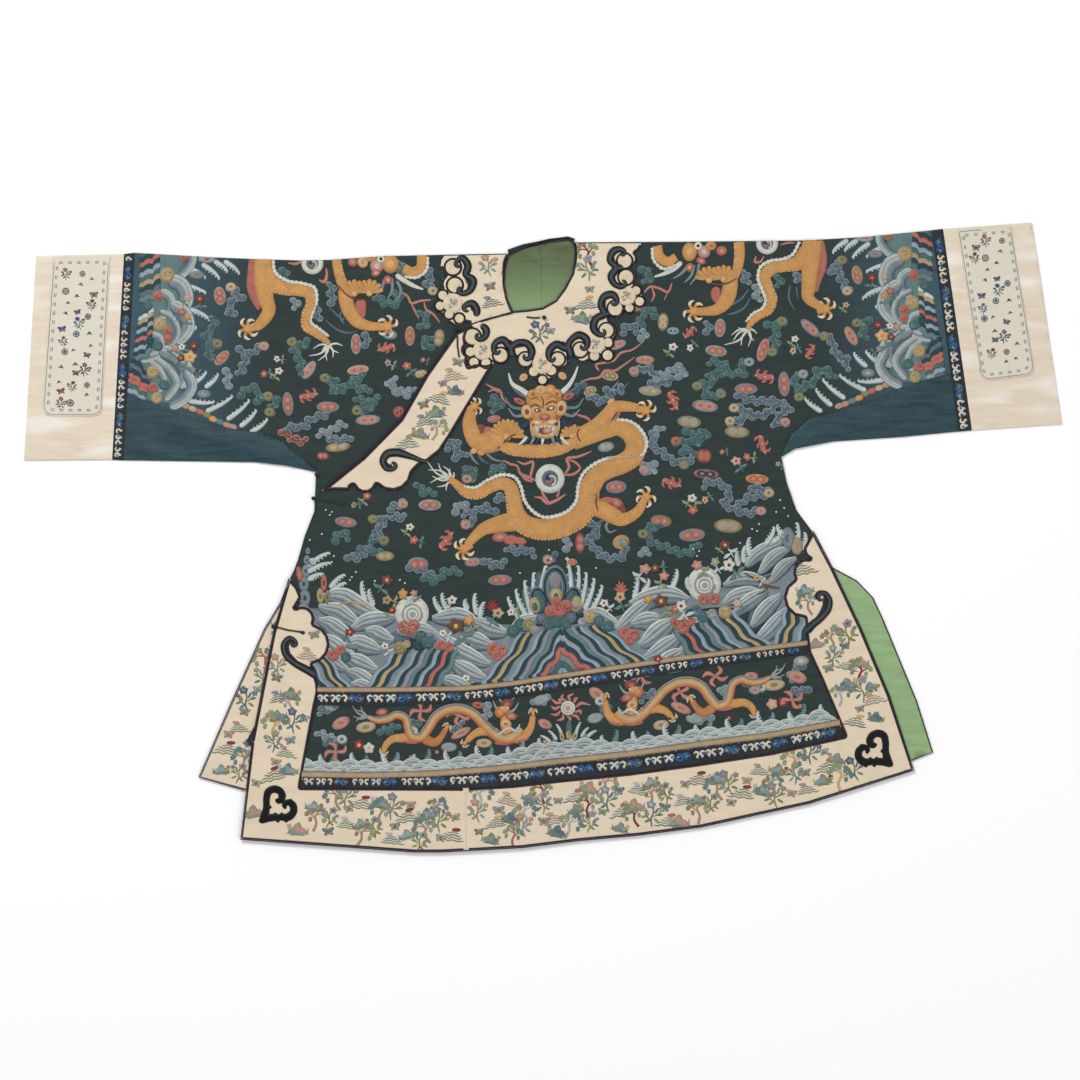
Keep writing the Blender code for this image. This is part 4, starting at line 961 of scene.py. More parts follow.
# Shoulder dragons: each limb is its rows, then the side its belly's plates are on, or 0.
SHOULDER_DRAGONS = {
    "right": dict(
        coral=(((252.5, 252, 2.6), (251, 272, 3.4), (251.5, 288, 4.6), (255.5, 300, 4), (259, 310, 1.5)),
               ((361.5, 299, 5), (361, 309, 5.4), (363, 318, 3))),
        limbs=((((263.5, 250, 8.4), (263, 268, 9.2), (264.5, 284, 10), (266, 299, 7.8),
                 (269, 310, 6.8), (263.5, 320.5, 6), (255.5, 328, 4.6)), 0),
               (((266, 270, 8), (272, 283, 8.4), (284, 288.6, 6.8), (298, 290, 6.4),
                 (308.5, 292.6, 6), (311.5, 302, 5.6), (307, 315.4, 5.4), (306.5, 326, 5),
                 (315.7, 332.8, 4.5), (324, 339, 3.4), (329.5, 344, 2.2)), -1),
               (((335.8, 250, 4.6), (337.5, 266, 4.8), (341.5, 281, 5.2), (347, 293, 5.4)), 1),
               (((344.5, 290, 6.6), (346, 300, 7.2), (350.5, 313, 7), (359, 322.5, 6.2), (372, 326.5, 4.6),
                 (382, 326.5, 3.8)), 0),
               (((404, 268, 4.5), (412, 272.5, 5.4), (420.5, 269, 5.4), (422, 260, 5), (421, 250, 5)),
                0)),
        fins=(((272.9, 252, 1.4), (276.5, 273.8, 1.5), (287.6, 281, 1.5), (303, 283.6, 1.5),
               (314.5, 288, 1.6), (317, 299.3, 1.5), (312.5, 312.7, 1.5), (311, 322.4, 1.4),
               (318.4, 328.2, 1.4), (329, 336.5, 1.2)),
              ((405, 277, 1.2), (417, 277.5, 1.4), (426.5, 270, 1.4), (428, 257, 1.2))),
        paws=((247.5, 329, 195, 1.0, 220), (388, 326.5, 5, 1.0, 230)),
        fans=((354.5, 287, 9.5, 9), (369.5, 287, 9.5, 8.5)),
        joint=((338, 285, .5), (347, 295, .9), (356, 299.5, .9), (366, 299, .5)),
        pearl=(312.5, 263.5, 11),
        flames=(((288, 263, .5), (296, 264, 1.6), (303, 261, .8)),
                ((319, 280, .6), (324, 282, 1.8), (327, 274, 1.4), (326, 268, .5)),
                ((402, 292, .5), (408, 297, 1.3), (411, 303, 1.3), (421, 301, 1.3), (431, 300, 1)),
                ((411, 303, .5), (415, 311, 1.2), (419, 319, .5)),
                ((424, 302, .6), (426, 309, 1.2), (433, 314, 1.2), (440, 323, .5))),
        hair=(329.5, 345, ((309, 356), (313, 349), (318, 361), (327, 361), (333, 358), (339, 353),
                           (343, 346), (322, 352)), "white"),
        tufts=(((329, 308, .4), (334, 312, 1), (338, 316, 1.1), (345, 320, 1)),
               ((326, 320, .4), (333, 327, 1), (343, 332, 1.3), (350, 333, 1), (357, 331, .4)),
               ((343, 310, 1), (340, 316, 1.2), (344, 324, 1.1))),
        horn=((396, 275, 2.6), (404, 280.5, 2.4), (414, 286, 2), (423.5, 289.5, .8)),
        face=((353, 262, 5, 5, 0, "coral", "rose"), (363, 262, 5.5, 6, 0, "gold_light", "tan"),
              (377, 266, 7, 7, 0, "rose", "pale"), (371, 257, 6, 5, 0, "gold", "coral"),
              (390.5, 264, 8.5, 9.5, 0, "gold", "gold_light"), (376, 273, 5, 3.6, 20, "coral", "pink"),
              (388, 280, 4, 4.6, 30, "coral", "pink"), (381, 259, 4, 4, 0, "white", "ink")),
        mane=(((385, 279, 1.6), (381, 290, 1.4), (375, 297, .5)),
              ((392, 278, 1.6), (392, 291, 1.4), (387, 300, .5)),
              ((397, 281, 1.6), (401, 291, 1.4), (398, 300, .5)))),
    "left": dict(
        coral=(((820.8, 240, 2.8), (823.5, 259, 3.6), (822.2, 269, 3.8), (818.5, 280, 3), (816, 292, 2)),
               ((716.3, 287, 4.6), (716, 296, 5), (719, 304, 3))),
        limbs=((((812.5, 240, 9.4), (810, 258, 10.4), (809.5, 274, 8), (808.5, 288, 7.2),
                 (808, 297, 6), (816, 304.5, 4.6), (823, 308, 4)), 0),
               (((808, 252, 9), (797, 263.5, 7.4), (784.6, 266, 6.2), (772, 268.5, 6.3),
                 (764.8, 276.5, 5.9), (768.5, 288.6, 5.3), (772, 299.3, 5.3), (768.5, 309.5, 5),
                 (758, 316, 4.2), (751, 323, 3.2), (747.5, 329.5, 2)), 1),
               (((739, 242, 5.4), (739.2, 258, 5.3), (737, 270, 4.8), (733, 280, 4)), -1),
               (((731, 278, 7), (730, 287, 7.6), (726.5, 300, 7.4), (718, 309, 5.8), (706, 311.5, 4.4),
                 (698, 311.5, 3.8)), 0),
               (((657, 246, 5), (659.5, 257, 5.2), (668, 262, 5), (676, 257, 4)), 0)),
        fins=(((799.5, 242, 1.4), (791.3, 255.6, 1.5), (782, 259.4, 1.4), (771.2, 260.8, 1.5),
               (760.2, 267.5, 1.5), (757.8, 278, 1.5), (762.5, 291.2, 1.5), (765.5, 301, 1.4),
               (762.5, 308, 1.4), (752.5, 314, 1.3), (745.8, 322, 1.1)),
              ((652, 248, 1.2), (653.5, 260, 1.4), (664, 269, 1.4), (676, 265, 1.1))),
        paws=((826, 309, 10, 1.0, 230), (693.5, 311.5, 178, 1.0, 220)),
        fans=((709, 274, 9.5, 8.5), (723.5, 272.5, 9.5, 9)),
        joint=((704, 280, .5), (715, 284.5, .9), (727, 283.5, .9), (736.5, 278.5, .5)),
        pearl=(767, 243.5, 11),
        flames=(((756, 256, .6), (755, 262, 1.6), (760, 262, 1.2), (764, 256, .5)),
                ((644, 293, .6), (650, 287, 1.3), (658, 288, 1.3), (668, 292, 1.3), (672, 283, .8)),
                ((652, 288, .6), (654, 296, 1.2), (651, 302, .5)),
                ((668, 292, .6), (664, 300, .5)), ((780, 245, .5), (788, 243, 1.2), (795, 243, .5))),
        hair=(748.5, 329, ((724, 345), (731, 335.5), (738, 327.5), (741, 346), (748, 347),
                           (754, 341), (757, 334), (733, 341)), "white"),
        tufts=(((749, 289, .4), (741, 299, 1.1), (732, 305, 1.2)),
               ((751, 297, .4), (743, 309, 1.1), (735, 313, 1.2), (727, 315, .6)),
               ((790, 285, .9), (789, 299, 1.1), (795, 311, .4)), ((796, 287, 1), (798, 299, .4))),
        horn=((681.5, 262, 2.6), (674, 269, 2.4), (665, 273.5, 2), (654, 277, .8)),
        face=((689.5, 252, 7.5, 9.5, 0, "gold", "gold_light"), (704, 252, 6.5, 6.5, 0, "rose", "pale"),
              (711, 246, 5.5, 4.5, 0, "gold", "coral"), (721.5, 251, 5.5, 5, 0, "coral", "rose"),
              (701, 261, 5, 3.6, -20, "coral", "pink"), (689.5, 267.5, 3.8, 4.6, -20, "coral", "pink"),
              (698, 246, 4, 4, 0, "white", "ink")),
        mane=(((694, 265, 1.6), (691, 276, 1.4), (684, 283, .5)),
              ((688, 266, 1.6), (682, 273, 1.4), (673, 279, .5)),
              ((699, 264, 1.6), (697, 275, 1.4), (690, 285, .5)))),
}


def shoulder_dragon(side):
    """The part of a shoulder's dragon that shows on the front, as far as the fold."""
    work, parts = Needlework(0.006), SHOULDER_DRAGONS[side]
    flames(work, *parts["flames"])
    pearl(work, *parts["pearl"])
    hair(work, *parts["hair"])
    for places in parts["coral"]:
        work.strip(squares(places), satin("coral", 0.8, 0.5), step=1.6, round_ends=True, crown=0.2)
    lines(work, *(("steel", *places) for places in parts["mane"]), rise=0.5)
    lines(work, *(("blue", *places) for places in parts["tufts"]), rise=0.4)
    ovals(work, *parts["face"], rise=0.6)
    lines(work, ("white", *parts["horn"]), rise=0.6)
    for places, belly in parts["limbs"]:
        scaled(work, places, belly)
    for column, row, across, up in parts["fans"]:
        shell_fan(work, column, row + up * 0.75, across * 1.5, 90, 7, 150, 0.95)
    lines(work, ("brown", *parts["joint"]), rise=1.0)
    for places in parts["fins"]:
        ridge(work, places, rise=0.8)
    for places in parts["paws"]:
        paw(work, *places)
    return work


# ---------------------------------------------------------------- clouds, bats and sprigs
# Dye: light rim, body, dark curl.
CLOUD_DYES = {"blue": ("mist", "blue", "sky"), "teal": ("sea", "teal", "mist"),
              "sky": ("sky", "steel", "pale"), "rose": ("rose", "coral_dark", "rose")}
# Cloud: dye, thread of the ring at its end ("" for none), then its places on the frame.
CHAINS = {
    "right": (
        ("blue", "sand", (241, 299), (236, 293), (231, 287)),
        ("blue", "", (236, 294), (234, 301), (229, 307), (233, 312), (228, 315)),
        ("teal", "", (213, 318), (213, 327), (206, 336), (211, 344), (208, 352), (211, 359)),
        ("teal", "olive", (211, 344), (217.5, 343.5)),
        ("blue", "rose", (241, 348), (246, 356), (255, 351), (264, 346)),
        ("blue", "", (247, 357), (244, 365), (239, 374)),
        ("sky", "", (228, 371), (228, 379), (227, 386)),
        ("teal", "olive", (308, 342), (299, 345), (292, 342)),
        ("teal", "", (293, 349), (299, 357), (302, 365), (300, 373)),
        ("teal", "olive", (240, 394), (250, 388), (259, 392), (258, 400), (268, 396)),
        ("teal", "olive", (278, 401), (273, 406), (269.5, 412)),
        ("teal", "olive", (342, 389), (332, 390), (336, 382), (325, 378)),
        ("teal", "", (332, 390), (344, 389), (352, 381), (363, 376)),
        ("teal", "", (352, 383), (360, 390), (369, 389)),
        ("teal", "", (356, 398), (366, 402), (378, 399)),
        ("teal", "olive", (369, 403), (368, 410), (357, 411)),
        ("blue", "", (286, 428), (295, 426), (304, 427), (311, 420), (319, 417), (329, 413)),
        ("rose", "", (283, 431), (289, 437), (298, 441), (306, 441)),
        ("sky", "", (318, 434), (329, 431), (338, 426), (345, 424)),
        ("blue", "", (330, 438), (339, 440), (350, 437)),
        ("sky", "", (401, 391), (394, 389), (389, 382), (396, 380)),
        ("sky", "", (398, 391), (407, 394), (414, 388)),
        ("blue", "", (331, 284), (332, 294), (333, 303)), ("blue", "", (317, 306), (318, 319)),
        ("sky", "", (295, 300), (296, 308)), ("teal", "", (284, 270), (287, 278)),
        ("teal", "", (376, 297), (384, 303), (393, 304), (400, 299), (396, 292)),
        ("blue", "sand", (425, 268), (431, 276), (428, 285), (433, 291)),
        ("teal", "", (421, 312), (427, 321), (421, 328)), ("blue", "", (367, 335), (367, 345)),
        ("teal", "", (430, 349), (423, 343), (431, 337)),
        ("blue", "", (398, 262), (402, 268), (399, 275)),
    ),
    "left": (
        ("teal", "olive", (376, 533), (371, 539), (384, 540)),
        ("blue", "olive", (388, 519), (380, 521), (373, 519)),
        ("blue", "", (385, 520), (380, 528), (375, 535), (384, 540)),
        ("blue", "rose", (390, 508), (403, 504)), ("blue", "", (393, 516), (404, 517)),
        ("teal", "", (334, 540), (341, 533), (349, 538)), ("teal", "", (418, 484), (423, 491), (434, 492)),
        ("teal", "rose", (463, 474), (471, 468), (475, 476), (467, 479)),
        ("teal", "", (491, 472), (498, 467), (504, 472)), ("blue", "", (497, 498), (503, 497)),
        ("sky", "", (454, 511), (461, 504), (468, 510)),
        ("blue", "", (463, 514), (475, 511), (486, 507), (494, 513)),
        ("blue", "rose", (474, 521), (466, 525)), ("teal", "", (356, 552), (368, 548), (379, 553)),
        ("blue", "", (446, 448), (453, 441), (458, 448), (455, 456), (466, 453)),
        ("teal", "", (490, 402), (497, 399), (499, 407), (492, 410)),
        ("blue", "rose", (656, 376), (648, 369), (634, 371)),
        ("sky", "", (656, 376), (668, 373), (676, 368), (684, 371), (680, 378)),
        ("blue", "", (672, 380), (661, 383), (651, 385)),
        ("teal", "olive", (709, 362), (719, 363), (727, 367), (721, 373), (709, 375), (714, 381), (697, 386)),
        ("teal", "grey", (722, 373), (733, 374), (744, 372), (740, 365), (749, 362)),
        ("teal", "olive", (706, 385), (705, 393), (712, 397), (721, 394)),
        ("teal", "olive", (834, 378), (825, 370), (817, 372), (815, 381), (803, 386), (799, 397)),
        ("teal", "grey", (795, 387), (793, 379), (803, 374)),
        ("blue", "", (738, 394), (748, 399), (760, 402), (772, 401), (785, 405), (789, 411)),
        ("blue", "rose", (787, 408), (780, 416), (774, 424), (785, 422)),
        ("blue", "sand", (775, 406), (766, 414), (753, 415), (744, 410), (734, 408)),
        ("blue", "sand", (744, 411), (743, 420), (730, 421)),
        ("teal", "coral", (687, 430), (696, 436), (706, 431), (702, 440), (689, 443), (676, 441)),
        ("teal", "", (688, 443), (683, 450), (695, 452)),
        ("sky", "", (654, 434), (662, 427)),
        ("blue", "olive", (654, 434), (651, 446), (663, 452), (672, 460), (684, 465)),
        ("blue", "", (682, 463), (693, 458)), ("sky", "rose", (655, 466), (644, 470)),
        ("sky", "", (644, 463), (653, 473)),
        ("blue", "rose", (703, 486), (713, 482), (725, 486), (730, 494), (723, 504), (735, 509),
         (747, 513), (761, 511)),
        ("blue", "sand", (736, 508), (745, 500), (757, 496), (769, 493)),
        ("blue", "", (767, 492), (759, 488), (752, 487)),
        ("sky", "", (568, 540), (568, 549)),
        ("blue", "olive", (586, 540), (594, 547), (600, 555), (612, 558), (624, 554), (624, 543)),
        ("blue", "", (592, 522), (598, 530), (590, 538)),
        ("teal", "olive", (660, 527), (651, 526), (643, 534)),
        ("teal", "", (645, 534), (652, 542), (664, 546), (673, 551), (687, 553), (697, 544)),
        ("sky", "", (641, 552), (649, 552)), ("blue", "", (507, 548), (515, 551), (524, 549), (535, 555)),
        ("teal", "rose", (556, 556), (548, 560)), ("blue", "", (485, 560), (495, 566), (505, 563)),
        ("teal", "", (424, 577), (436, 580), (446, 572), (459, 571)),
        ("blue", "", (410, 566), (420, 569), (430, 575)),
        ("blue", "", (348, 556), (358, 557), (368, 551)),
        ("teal", "olive", (768, 323), (777, 330), (773, 339), (777, 347), (772, 352)),
        ("teal", "olive", (776, 326), (782, 321)),
        ("blue", "olive", (846, 369), (846, 360), (838, 357), (834, 348), (831, 339), (824, 336)),
        ("teal", "olive", (865, 339), (862, 330), (868, 322), (857, 323)),
        ("blue", "olive", (830, 270), (838, 267), (842, 260)),
        ("blue", "sand", (838, 270), (842, 280), (847, 291)),
        ("teal", "", (779, 277), (779, 286)), ("blue", "", (798, 275), (798, 281)),
        ("blue", "", (745, 272), (747, 283)), ("sky", "", (757, 287), (758, 300)),
        ("blue", "", (708, 323), (708, 332)),
        ("teal", "", (641, 325), (643, 315), (650, 309), (656, 315)),
        ("teal", "", (643, 268), (650, 275), (645, 283)), ("blue", "", (622, 332), (630, 326), (638, 331)),
        ("blue", "", (590, 396), (600, 402), (610, 396), (605, 391)), ("sky", "", (645, 331), (643, 339)),
        ("teal", "", (575, 390), (582, 384)), ("blue", "", (622, 388), (616, 393)),
    ),
}
# Pairs of round clouds: column, row, half across, half up, turn, and rim, fill and dot.
PAIRS = {
    "right": ((220, 296, 6, 9, 8, "tan", "coral", "rose"), (222, 358, 9, 5, 45, "tan", "coral", "rose"),
              (288, 404, 5.6, 11.5, 5, "steel", "coral", "rose"),
              (309, 370, 10, 5, 55, "grey", "rose", "coral"),
              (328, 407, 11, 5.5, 0, "steel", "coral", "rose"),
              (358, 370, 10.5, 4.8, 8, "sand", "rose", "coral"),
              (368, 420, 12, 5.2, 5, "steel", "rose", "coral"),
              (338, 447, 12, 5, 8, "olive", "tan", "sand"),
              (356, 344, 5.2, 10, 0, "grey", "coral", "rose"),
              (410, 336, 5, 9.5, 0, "tan", "coral", "rose"),
              (439, 338, 5.5, 8.5, -10, "olive", "tan", "sand"),
              (421, 374, 6.5, 4.4, 10, "olive", "sand", "tan"),
              (323, 456, 6, 4, 0, "coral_dark", "coral", "rose"),
              (399, 412, 6, 6, 30, "coral_dark", "coral", "red"),
              (390, 335, 7, 4.6, 0, "steel", "sky", "navy")),
    "left": ((346, 522, 10.5, 5.2, -8, "steel", "coral", "rose"),
             (430, 505, 11, 5.6, 0, "grey", "coral", "rose"),
             (385, 556, 9, 5, 0, "olive", "tan", "sand"),
             (494, 419, 6.5, 3.6, 10, "rose", "coral", "rose"),
             (650, 391, 11, 5, -5, "grey", "tan", "sand"),
             (746, 389, 11, 5.8, 0, "steel", "coral", "rose"),
             (705, 406, 12.5, 6, -8, "steel", "rose", "coral"),
             (784, 384, 6, 12, 3, "steel", "coral", "rose"),
             (737, 432, 12, 6, -4, "olive", "tan", "grey"),
             (689, 422, 11.5, 6.2, -6, "olive", "grey", "gold"),
             (704, 456, 7.5, 7.2, 0, "coral_dark", "coral", "coral"),
             (616, 487, 10, 6.5, 4, "steel", "coral", "rose"),
             (706, 474, 12, 4.6, -4, "coral", "navy", "steel"),
             (757, 479, 11, 5, -4, "gold", "coral", "gold"),
             (728, 526, 13.5, 7, -4, "olive", "tan", "grey"),
             (661, 521, 10, 6, -6, "olive", "coral", "rose"),
             (692, 535, 12.5, 6.5, 4, "steel", "coral", "rose"),
             (621, 542, 8, 7, 20, "gold", "tan", "sky"),
             (580, 543, 5, 10, 0, "coral_dark", "coral", "rose"),
             (716, 351, 10.5, 5.6, -8, "grey", "coral", "rose"),
             (720, 328, 5.6, 9, -4, "grey", "coral", "rose"),
             (763, 350, 5.4, 11.5, -18, "rose", "coral", "rose"),
             (810, 328, 11.5, 5.2, -42, "steel", "rose", "coral"),
             (851, 336, 10, 5, -60, "tan", "rose", "coral"),
             (663, 322, 5.4, 8.6, -5, "olive", "sand", "tan"),
             (857, 275, 5.4, 9, 10, "tan", "coral", "rose"),
             (418, 564, 10, 7, 0, "steel", "coral", "rose"),
             (500, 580, 11.5, 5.4, 4, "steel", "coral", "rose"),
             (473, 562, 8, 4.6, 8, "steel", "rose", "coral"),
             (610, 376, 8, 4.8, -8, "sand", "olive", "sand"),
             (645, 360, 9, 4.5, 0, "tan", "rose", "coral"),
             (590, 391, 6.5, 4.6, 20, "sand", "olive", "sand"),
             (606, 447, 8, 5, 12, "steel", "grey", "sand"),
             (638, 307, 6, 4, 30, "rose", "coral", "rose"), (385, 470, 7, 4, 0, "rose", "coral", "rose"),
             (617, 345, 9, 4.4, 20, "grey", "rose", "coral"),
             (673, 331, 6, 4, 0, "steel", "sky", "navy"), (572, 562, 5, 3.4, 0, "gold", "coral", "rose")),
}
# Bats: column, row, turn and size.  Sprigs: column, row, turn, size and the flower's thread.
BATS = {"right": ((308, 396, 42, 1), (387, 348, -14, .95)),
        "left": ((446, 541, 80, 1.1), (673, 400, 86, 1.05), (671, 483, 12, 1.05), (765, 377, -38, 1.05),
                 (762, 444, -42, 1.05), (690, 332, 20, .8), (810, 352, 84, .8))}
SPRIGS = {"right": ((279, 371, 0, 1, "white"), (264, 374, 60, .9, "coral"), (277, 359, 120, .8, "white"),
                    (407, 366, 0, 1.1, "coral"), (388, 363, 100, .9, "grey"),
                    (423, 360, 40, .7, "coral")),
          "left": ((367, 496, 0, 1, "coral"), (354, 505, 60, .8, "moss"), (410, 527, 0, 1, "white"),
                   (414, 540, 40, 1.1, "coral"), (692, 498, 0, 1.1, "white"), (705, 500, 90, .9, "sand"),
                   (693, 510, 200, 1.2, "coral"), (736, 461, 0, 1.2, "pink"),
                   (747, 457, 120, 1, "coral"), (722, 452, 60, .7, "coral"), (795, 339, 0, .9, "white"),
                   (793, 351, 80, .9, "sand"), (673, 347, 0, 1.1, "white"), (690, 348, 100, .9, "white"),
                   (723, 545, 0, .9, "coral"), (778, 464, 30, .7, "grey"), (846, 305, 0, .8, "sand"))}


def chain(work, dye, end, *places):
    """A curling cloud: a light-rimmed strip through its places, lobes with a dark eye at even
    steps on alternate sides, and a ring at its end."""
    rim, body, curl = CLOUD_DYES[dye]
    points = smooth([(*place, 1) for place in places], 5.4)[:, :2]
    side = 2.0 * (-1.0) ** np.arange(len(points))[:, None]
    lobes = points + side * along(points)[1]
    base = work.level
    for thread, grow, lift, tone in ((rim, 0, 0, 1.12), (body, -0.85, 0.06, 0.92)):
        work.level = base + lift
        work.strip(squares([(column, row, 2.4 + grow) for column, row in points]),
                   [(s, .3, thread, tone) for s in (-1, 1)], step=3.2, round_ends=True)
        for k, (column, row) in enumerate(lobes):
            part = 1.0 + 0.22 * math.sin(2.3 * k + points[0, 0])
            work.round(*spot(column, row), [(.6, .34, thread, tone), (1, .3, thread, tone)],
                       (3.7 * part + grow) * SQUARE, (3.3 * part + grow) * SQUARE, 0, 10)
    work.level = base + 0.12
    for i, (column, row) in enumerate(lobes):
        x, y = spot(column, row)
        angle = np.linspace(0.4, 4.9, 6) * (-1) ** i
        reach = SQUARE * np.linspace(2.1, 0.4, 6)
        work.strip(around_place(x, y, reach, angle, 0.5), fine(curl if i % 2 else rim), step=1.8)
    if end:
        ovals(work, (*points[-1], 5.3, 4.5, 0, end, rim, body), sides=14)
    work.level = base + 0.0006


def pair_motif():
    """Two round clouds side by side in one rim, a unit long and half a unit high."""
    work = Needlework(0.03)
    work.round(0, 0, [(0.6, 0.3, 0, 1.05), (1, 0.3, 0, 0.88)], SQUARE, SQUARE, 0, 20, 2, 0.06)
    for x in (-0.38, 0.38):
        work.round(x * SQUARE, 0, [(0.6, 0.34, 1, 1.05), (1, 0.3, 1, 0.88)],
                   0.46 * SQUARE, 0.72 * SQUARE, sides=12)
    for x in (-0.36, 0.36):
        work.round(x * SQUARE, 0, [(0.6, 0.4, 2, 1), (1, 0.34, 2, 0.9)], 0.2 * SQUARE,
                   0.34 * SQUARE, sides=7)
    return work


def pairs(work, rows):
    """Pairs of round clouds, each stretched to its own size and turned."""
    points, faces, tones, shades = pair_motif().whole()
    for column, row, across, up, turn, *threads in rows:
        long, high = (across, up) if across >= up else (up, across)
        turn = turn if across >= up else turn + 90
        x, y = spot(column, row)
        cos, sin = math.cos(math.radians(turn)), math.sin(math.radians(turn))
        flat = points[:, :2] * (long * 0.94, high)
        made = np.column_stack([x + flat[:, 0] * cos - flat[:, 1] * sin,
                                y + flat[:, 0] * sin + flat[:, 1] * cos, points[:, 2]])
        dye = np.array([THREAD_INDEX[thread] for thread in threads])
        work.add(made, faces, dye[tones], shades)


def bat_motif():
    """A bat: a bent body with ragged wings, all of thread 0, with pale tips of thread 1."""
    work = Needlework(0.02)
    body = [(-8, 3, .6), (-5, 4, 2.2), (-2, 1, 2.8), (1, 0, 3), (4, -3, 2.8), (7, -3, 1.8), (9, -6, .6)]
    wings = ([(-6, 4, 1.2), (-8, 0, 1.3), (-7, -3, .5)], [(-1, 1, 1.4), (-2, -4, 1.2), (0, -6, .5)],
             [(1, 0, 1.4), (3, 4, 1.2), (1, 6, .5)], [(6, -3, 1.3), (9, 0, 1.2), (8, 3, .5)])
    for rows in (body, *wings):
        work.strip(np.array(rows, float) * SQUARE, satin(0, 0.75), step=1.8, round_ends=True)
    for x, y in ((-6, 4), (7, -4), (0, 0)):
        work.round(x * SQUARE, y * SQUARE, [(0.6, .4, 1, 1), (1, .34, 1, .9)], 1.3 * SQUARE,
                   .9 * SQUARE, sides=8)
    return work


def sprig_motif():
    """A flower of five petals (thread 0) with an eye (1), two leaves and a stem (2)."""
    work = Needlework(0.02)
    for rows in ([(-1, -1, .5), (-4, -5, .5), (-6, -9, .3)], [(-3, -4, .4), (-7, -4, 1.3), (-9, -2, .3)],
                 [(-4, -6, .4), (-1, -8, 1.3), (1, -10, .3)]):
        work.strip(np.array(rows, float) * SQUARE, satin(2, 0.8), step=1.8, round_ends=True)
    work.round(0, 0, [(0.5, .42, 0, 1.05), (1, .3, 0, .82)], 4 * SQUARE, 3.4 * SQUARE, 0, 20, 5, .2)
    work.round(0, 0, [(0.6, .5, 1, 1), (1, .45, 1, .9)], 1.2 * SQUARE, sides=8)
    return work


def sprigs(work, rows, dye, flips=(1, -1)):
    """Sprigs at rows of column, row, turn, size and thread; dye gives a copy's three threads from
    its number and its own thread."""
    work.scatter(sprig_motif(), [(*spot(column, row), size, turn, flips[i % 2])
                                 for i, (column, row, turn, size, _) in enumerate(rows)],
                 [dye(i, thread) for i, (*_, thread) in enumerate(rows)])


def field_work(side):
    """Clouds, bats and sprigs scattered over one side of the field."""
    work = Needlework(0.0006)
    for dye, end, *places in CHAINS[side]:
        chain(work, dye, end, *places)
    pairs(work, PAIRS[side])
    work.level += 0.05
    bats = np.array(BATS[side], float)
    work.scatter(bat_motif(), [(*spot(c, r), size, turn, (-1) ** i) for i, (c, r, turn, size)
                               in enumerate(bats)],
                 [("coral", "pink") for _ in bats])
    sprigs(work, SPRIGS[side], lambda i, thread: (
        thread, "gold_light" if thread == "coral" else "red", ("moss", "sea")[i % 2]))
    return work


# ---------------------------------------------------------------- waves, mountains and stripes
STRIPES = ("sky", "deep", "straw", "deep", "steel", "sky", "deep", "lilac", "sea", "deep", "sky",
           "navy", "coral", "deep", "sea")
# Wave crests: breadth, then the crest's places, from the far waves to the near ones.
HEM_WAVES = (
    (16, (744, 566), (750, 552), (762, 543), (782, 539)),
    (14, (757, 573), (764, 558), (774, 549), (790, 545)),
    (13, (768, 582), (774, 568), (783, 559), (796, 556)),
    (16, (722, 584), (733, 574), (746, 571), (758, 574), (770, 583)),
    (22, (628, 602), (638, 593), (652, 587), (667, 585), (680, 589), (690, 597)),
    (22, (322, 594), (334, 588), (347, 588), (358, 594), (370, 603), (382, 612)),
    (20, (431, 616), (443, 610), (457, 607), (470, 611), (480, 620)),
    (18, (721, 603), (729, 592), (740, 587), (753, 586), (762, 591)),
    (20, (582, 612), (590, 607), (600, 607), (610, 613), (622, 624)),
    (18, (509, 627), (517, 617), (528, 613), (540, 615)),
    (19, (318, 604), (330, 602), (341, 603), (352, 611), (364, 623)),
    (17, (731, 614), (739, 600), (752, 591), (767, 588)),
    (20, (350, 627), (361, 615), (377, 611), (396, 614)),
    (20, (614, 628), (624, 613), (638, 601), (652, 596)),
    (20, (472, 616), (484, 617), (497, 622), (509, 630)),
    (17, (749, 626), (754, 612), (764, 600), (780, 592)),
    (20, (318, 617), (332, 616), (345, 624), (357, 636)),
    (20, (629, 622), (640, 613), (652, 611), (664, 617)),
    (20, (364, 628), (375, 624), (386, 629), (396, 638)),
    (19, (396, 630), (408, 622), (424, 622), (438, 630)),
    (20, (459, 637), (470, 630), (482, 633), (495, 643)),
    (22, (637, 644), (646, 630), (658, 620), (674, 616)),
    (18, (752, 640), (762, 627), (774, 614), (786, 606)),
    (20, (434, 630), (447, 634), (460, 641), (476, 650), (492, 662)),
    (20, (318, 633), (332, 634), (346, 643), (358, 656)),
    (20, (344, 642), (357, 634), (371, 638), (384, 648)),
    (18, (676, 628), (690, 616), (704, 611), (718, 614)),
    (20, (642, 656), (653, 645), (666, 636), (680, 632)),
    (18, (318, 646), (330, 648), (341, 656), (350, 668)),
    (20, (342, 655), (354, 652), (368, 657), (380, 668)),
    (20, (452, 658), (464, 660), (476, 666), (488, 676)),
    (20, (648, 668), (658, 657), (670, 649), (684, 646)),
    (18, (346, 668), (358, 667), (371, 674), (382, 686)),
    (18, (440, 676), (452, 674), (466, 680), (476, 690)),
    (16, (718, 640), (732, 636), (744, 640), (758, 650)),
    (16, (662, 668), (674, 658), (684, 654), (694, 658)),
    (16, (350, 682), (360, 678), (370, 682), (378, 690)),
)
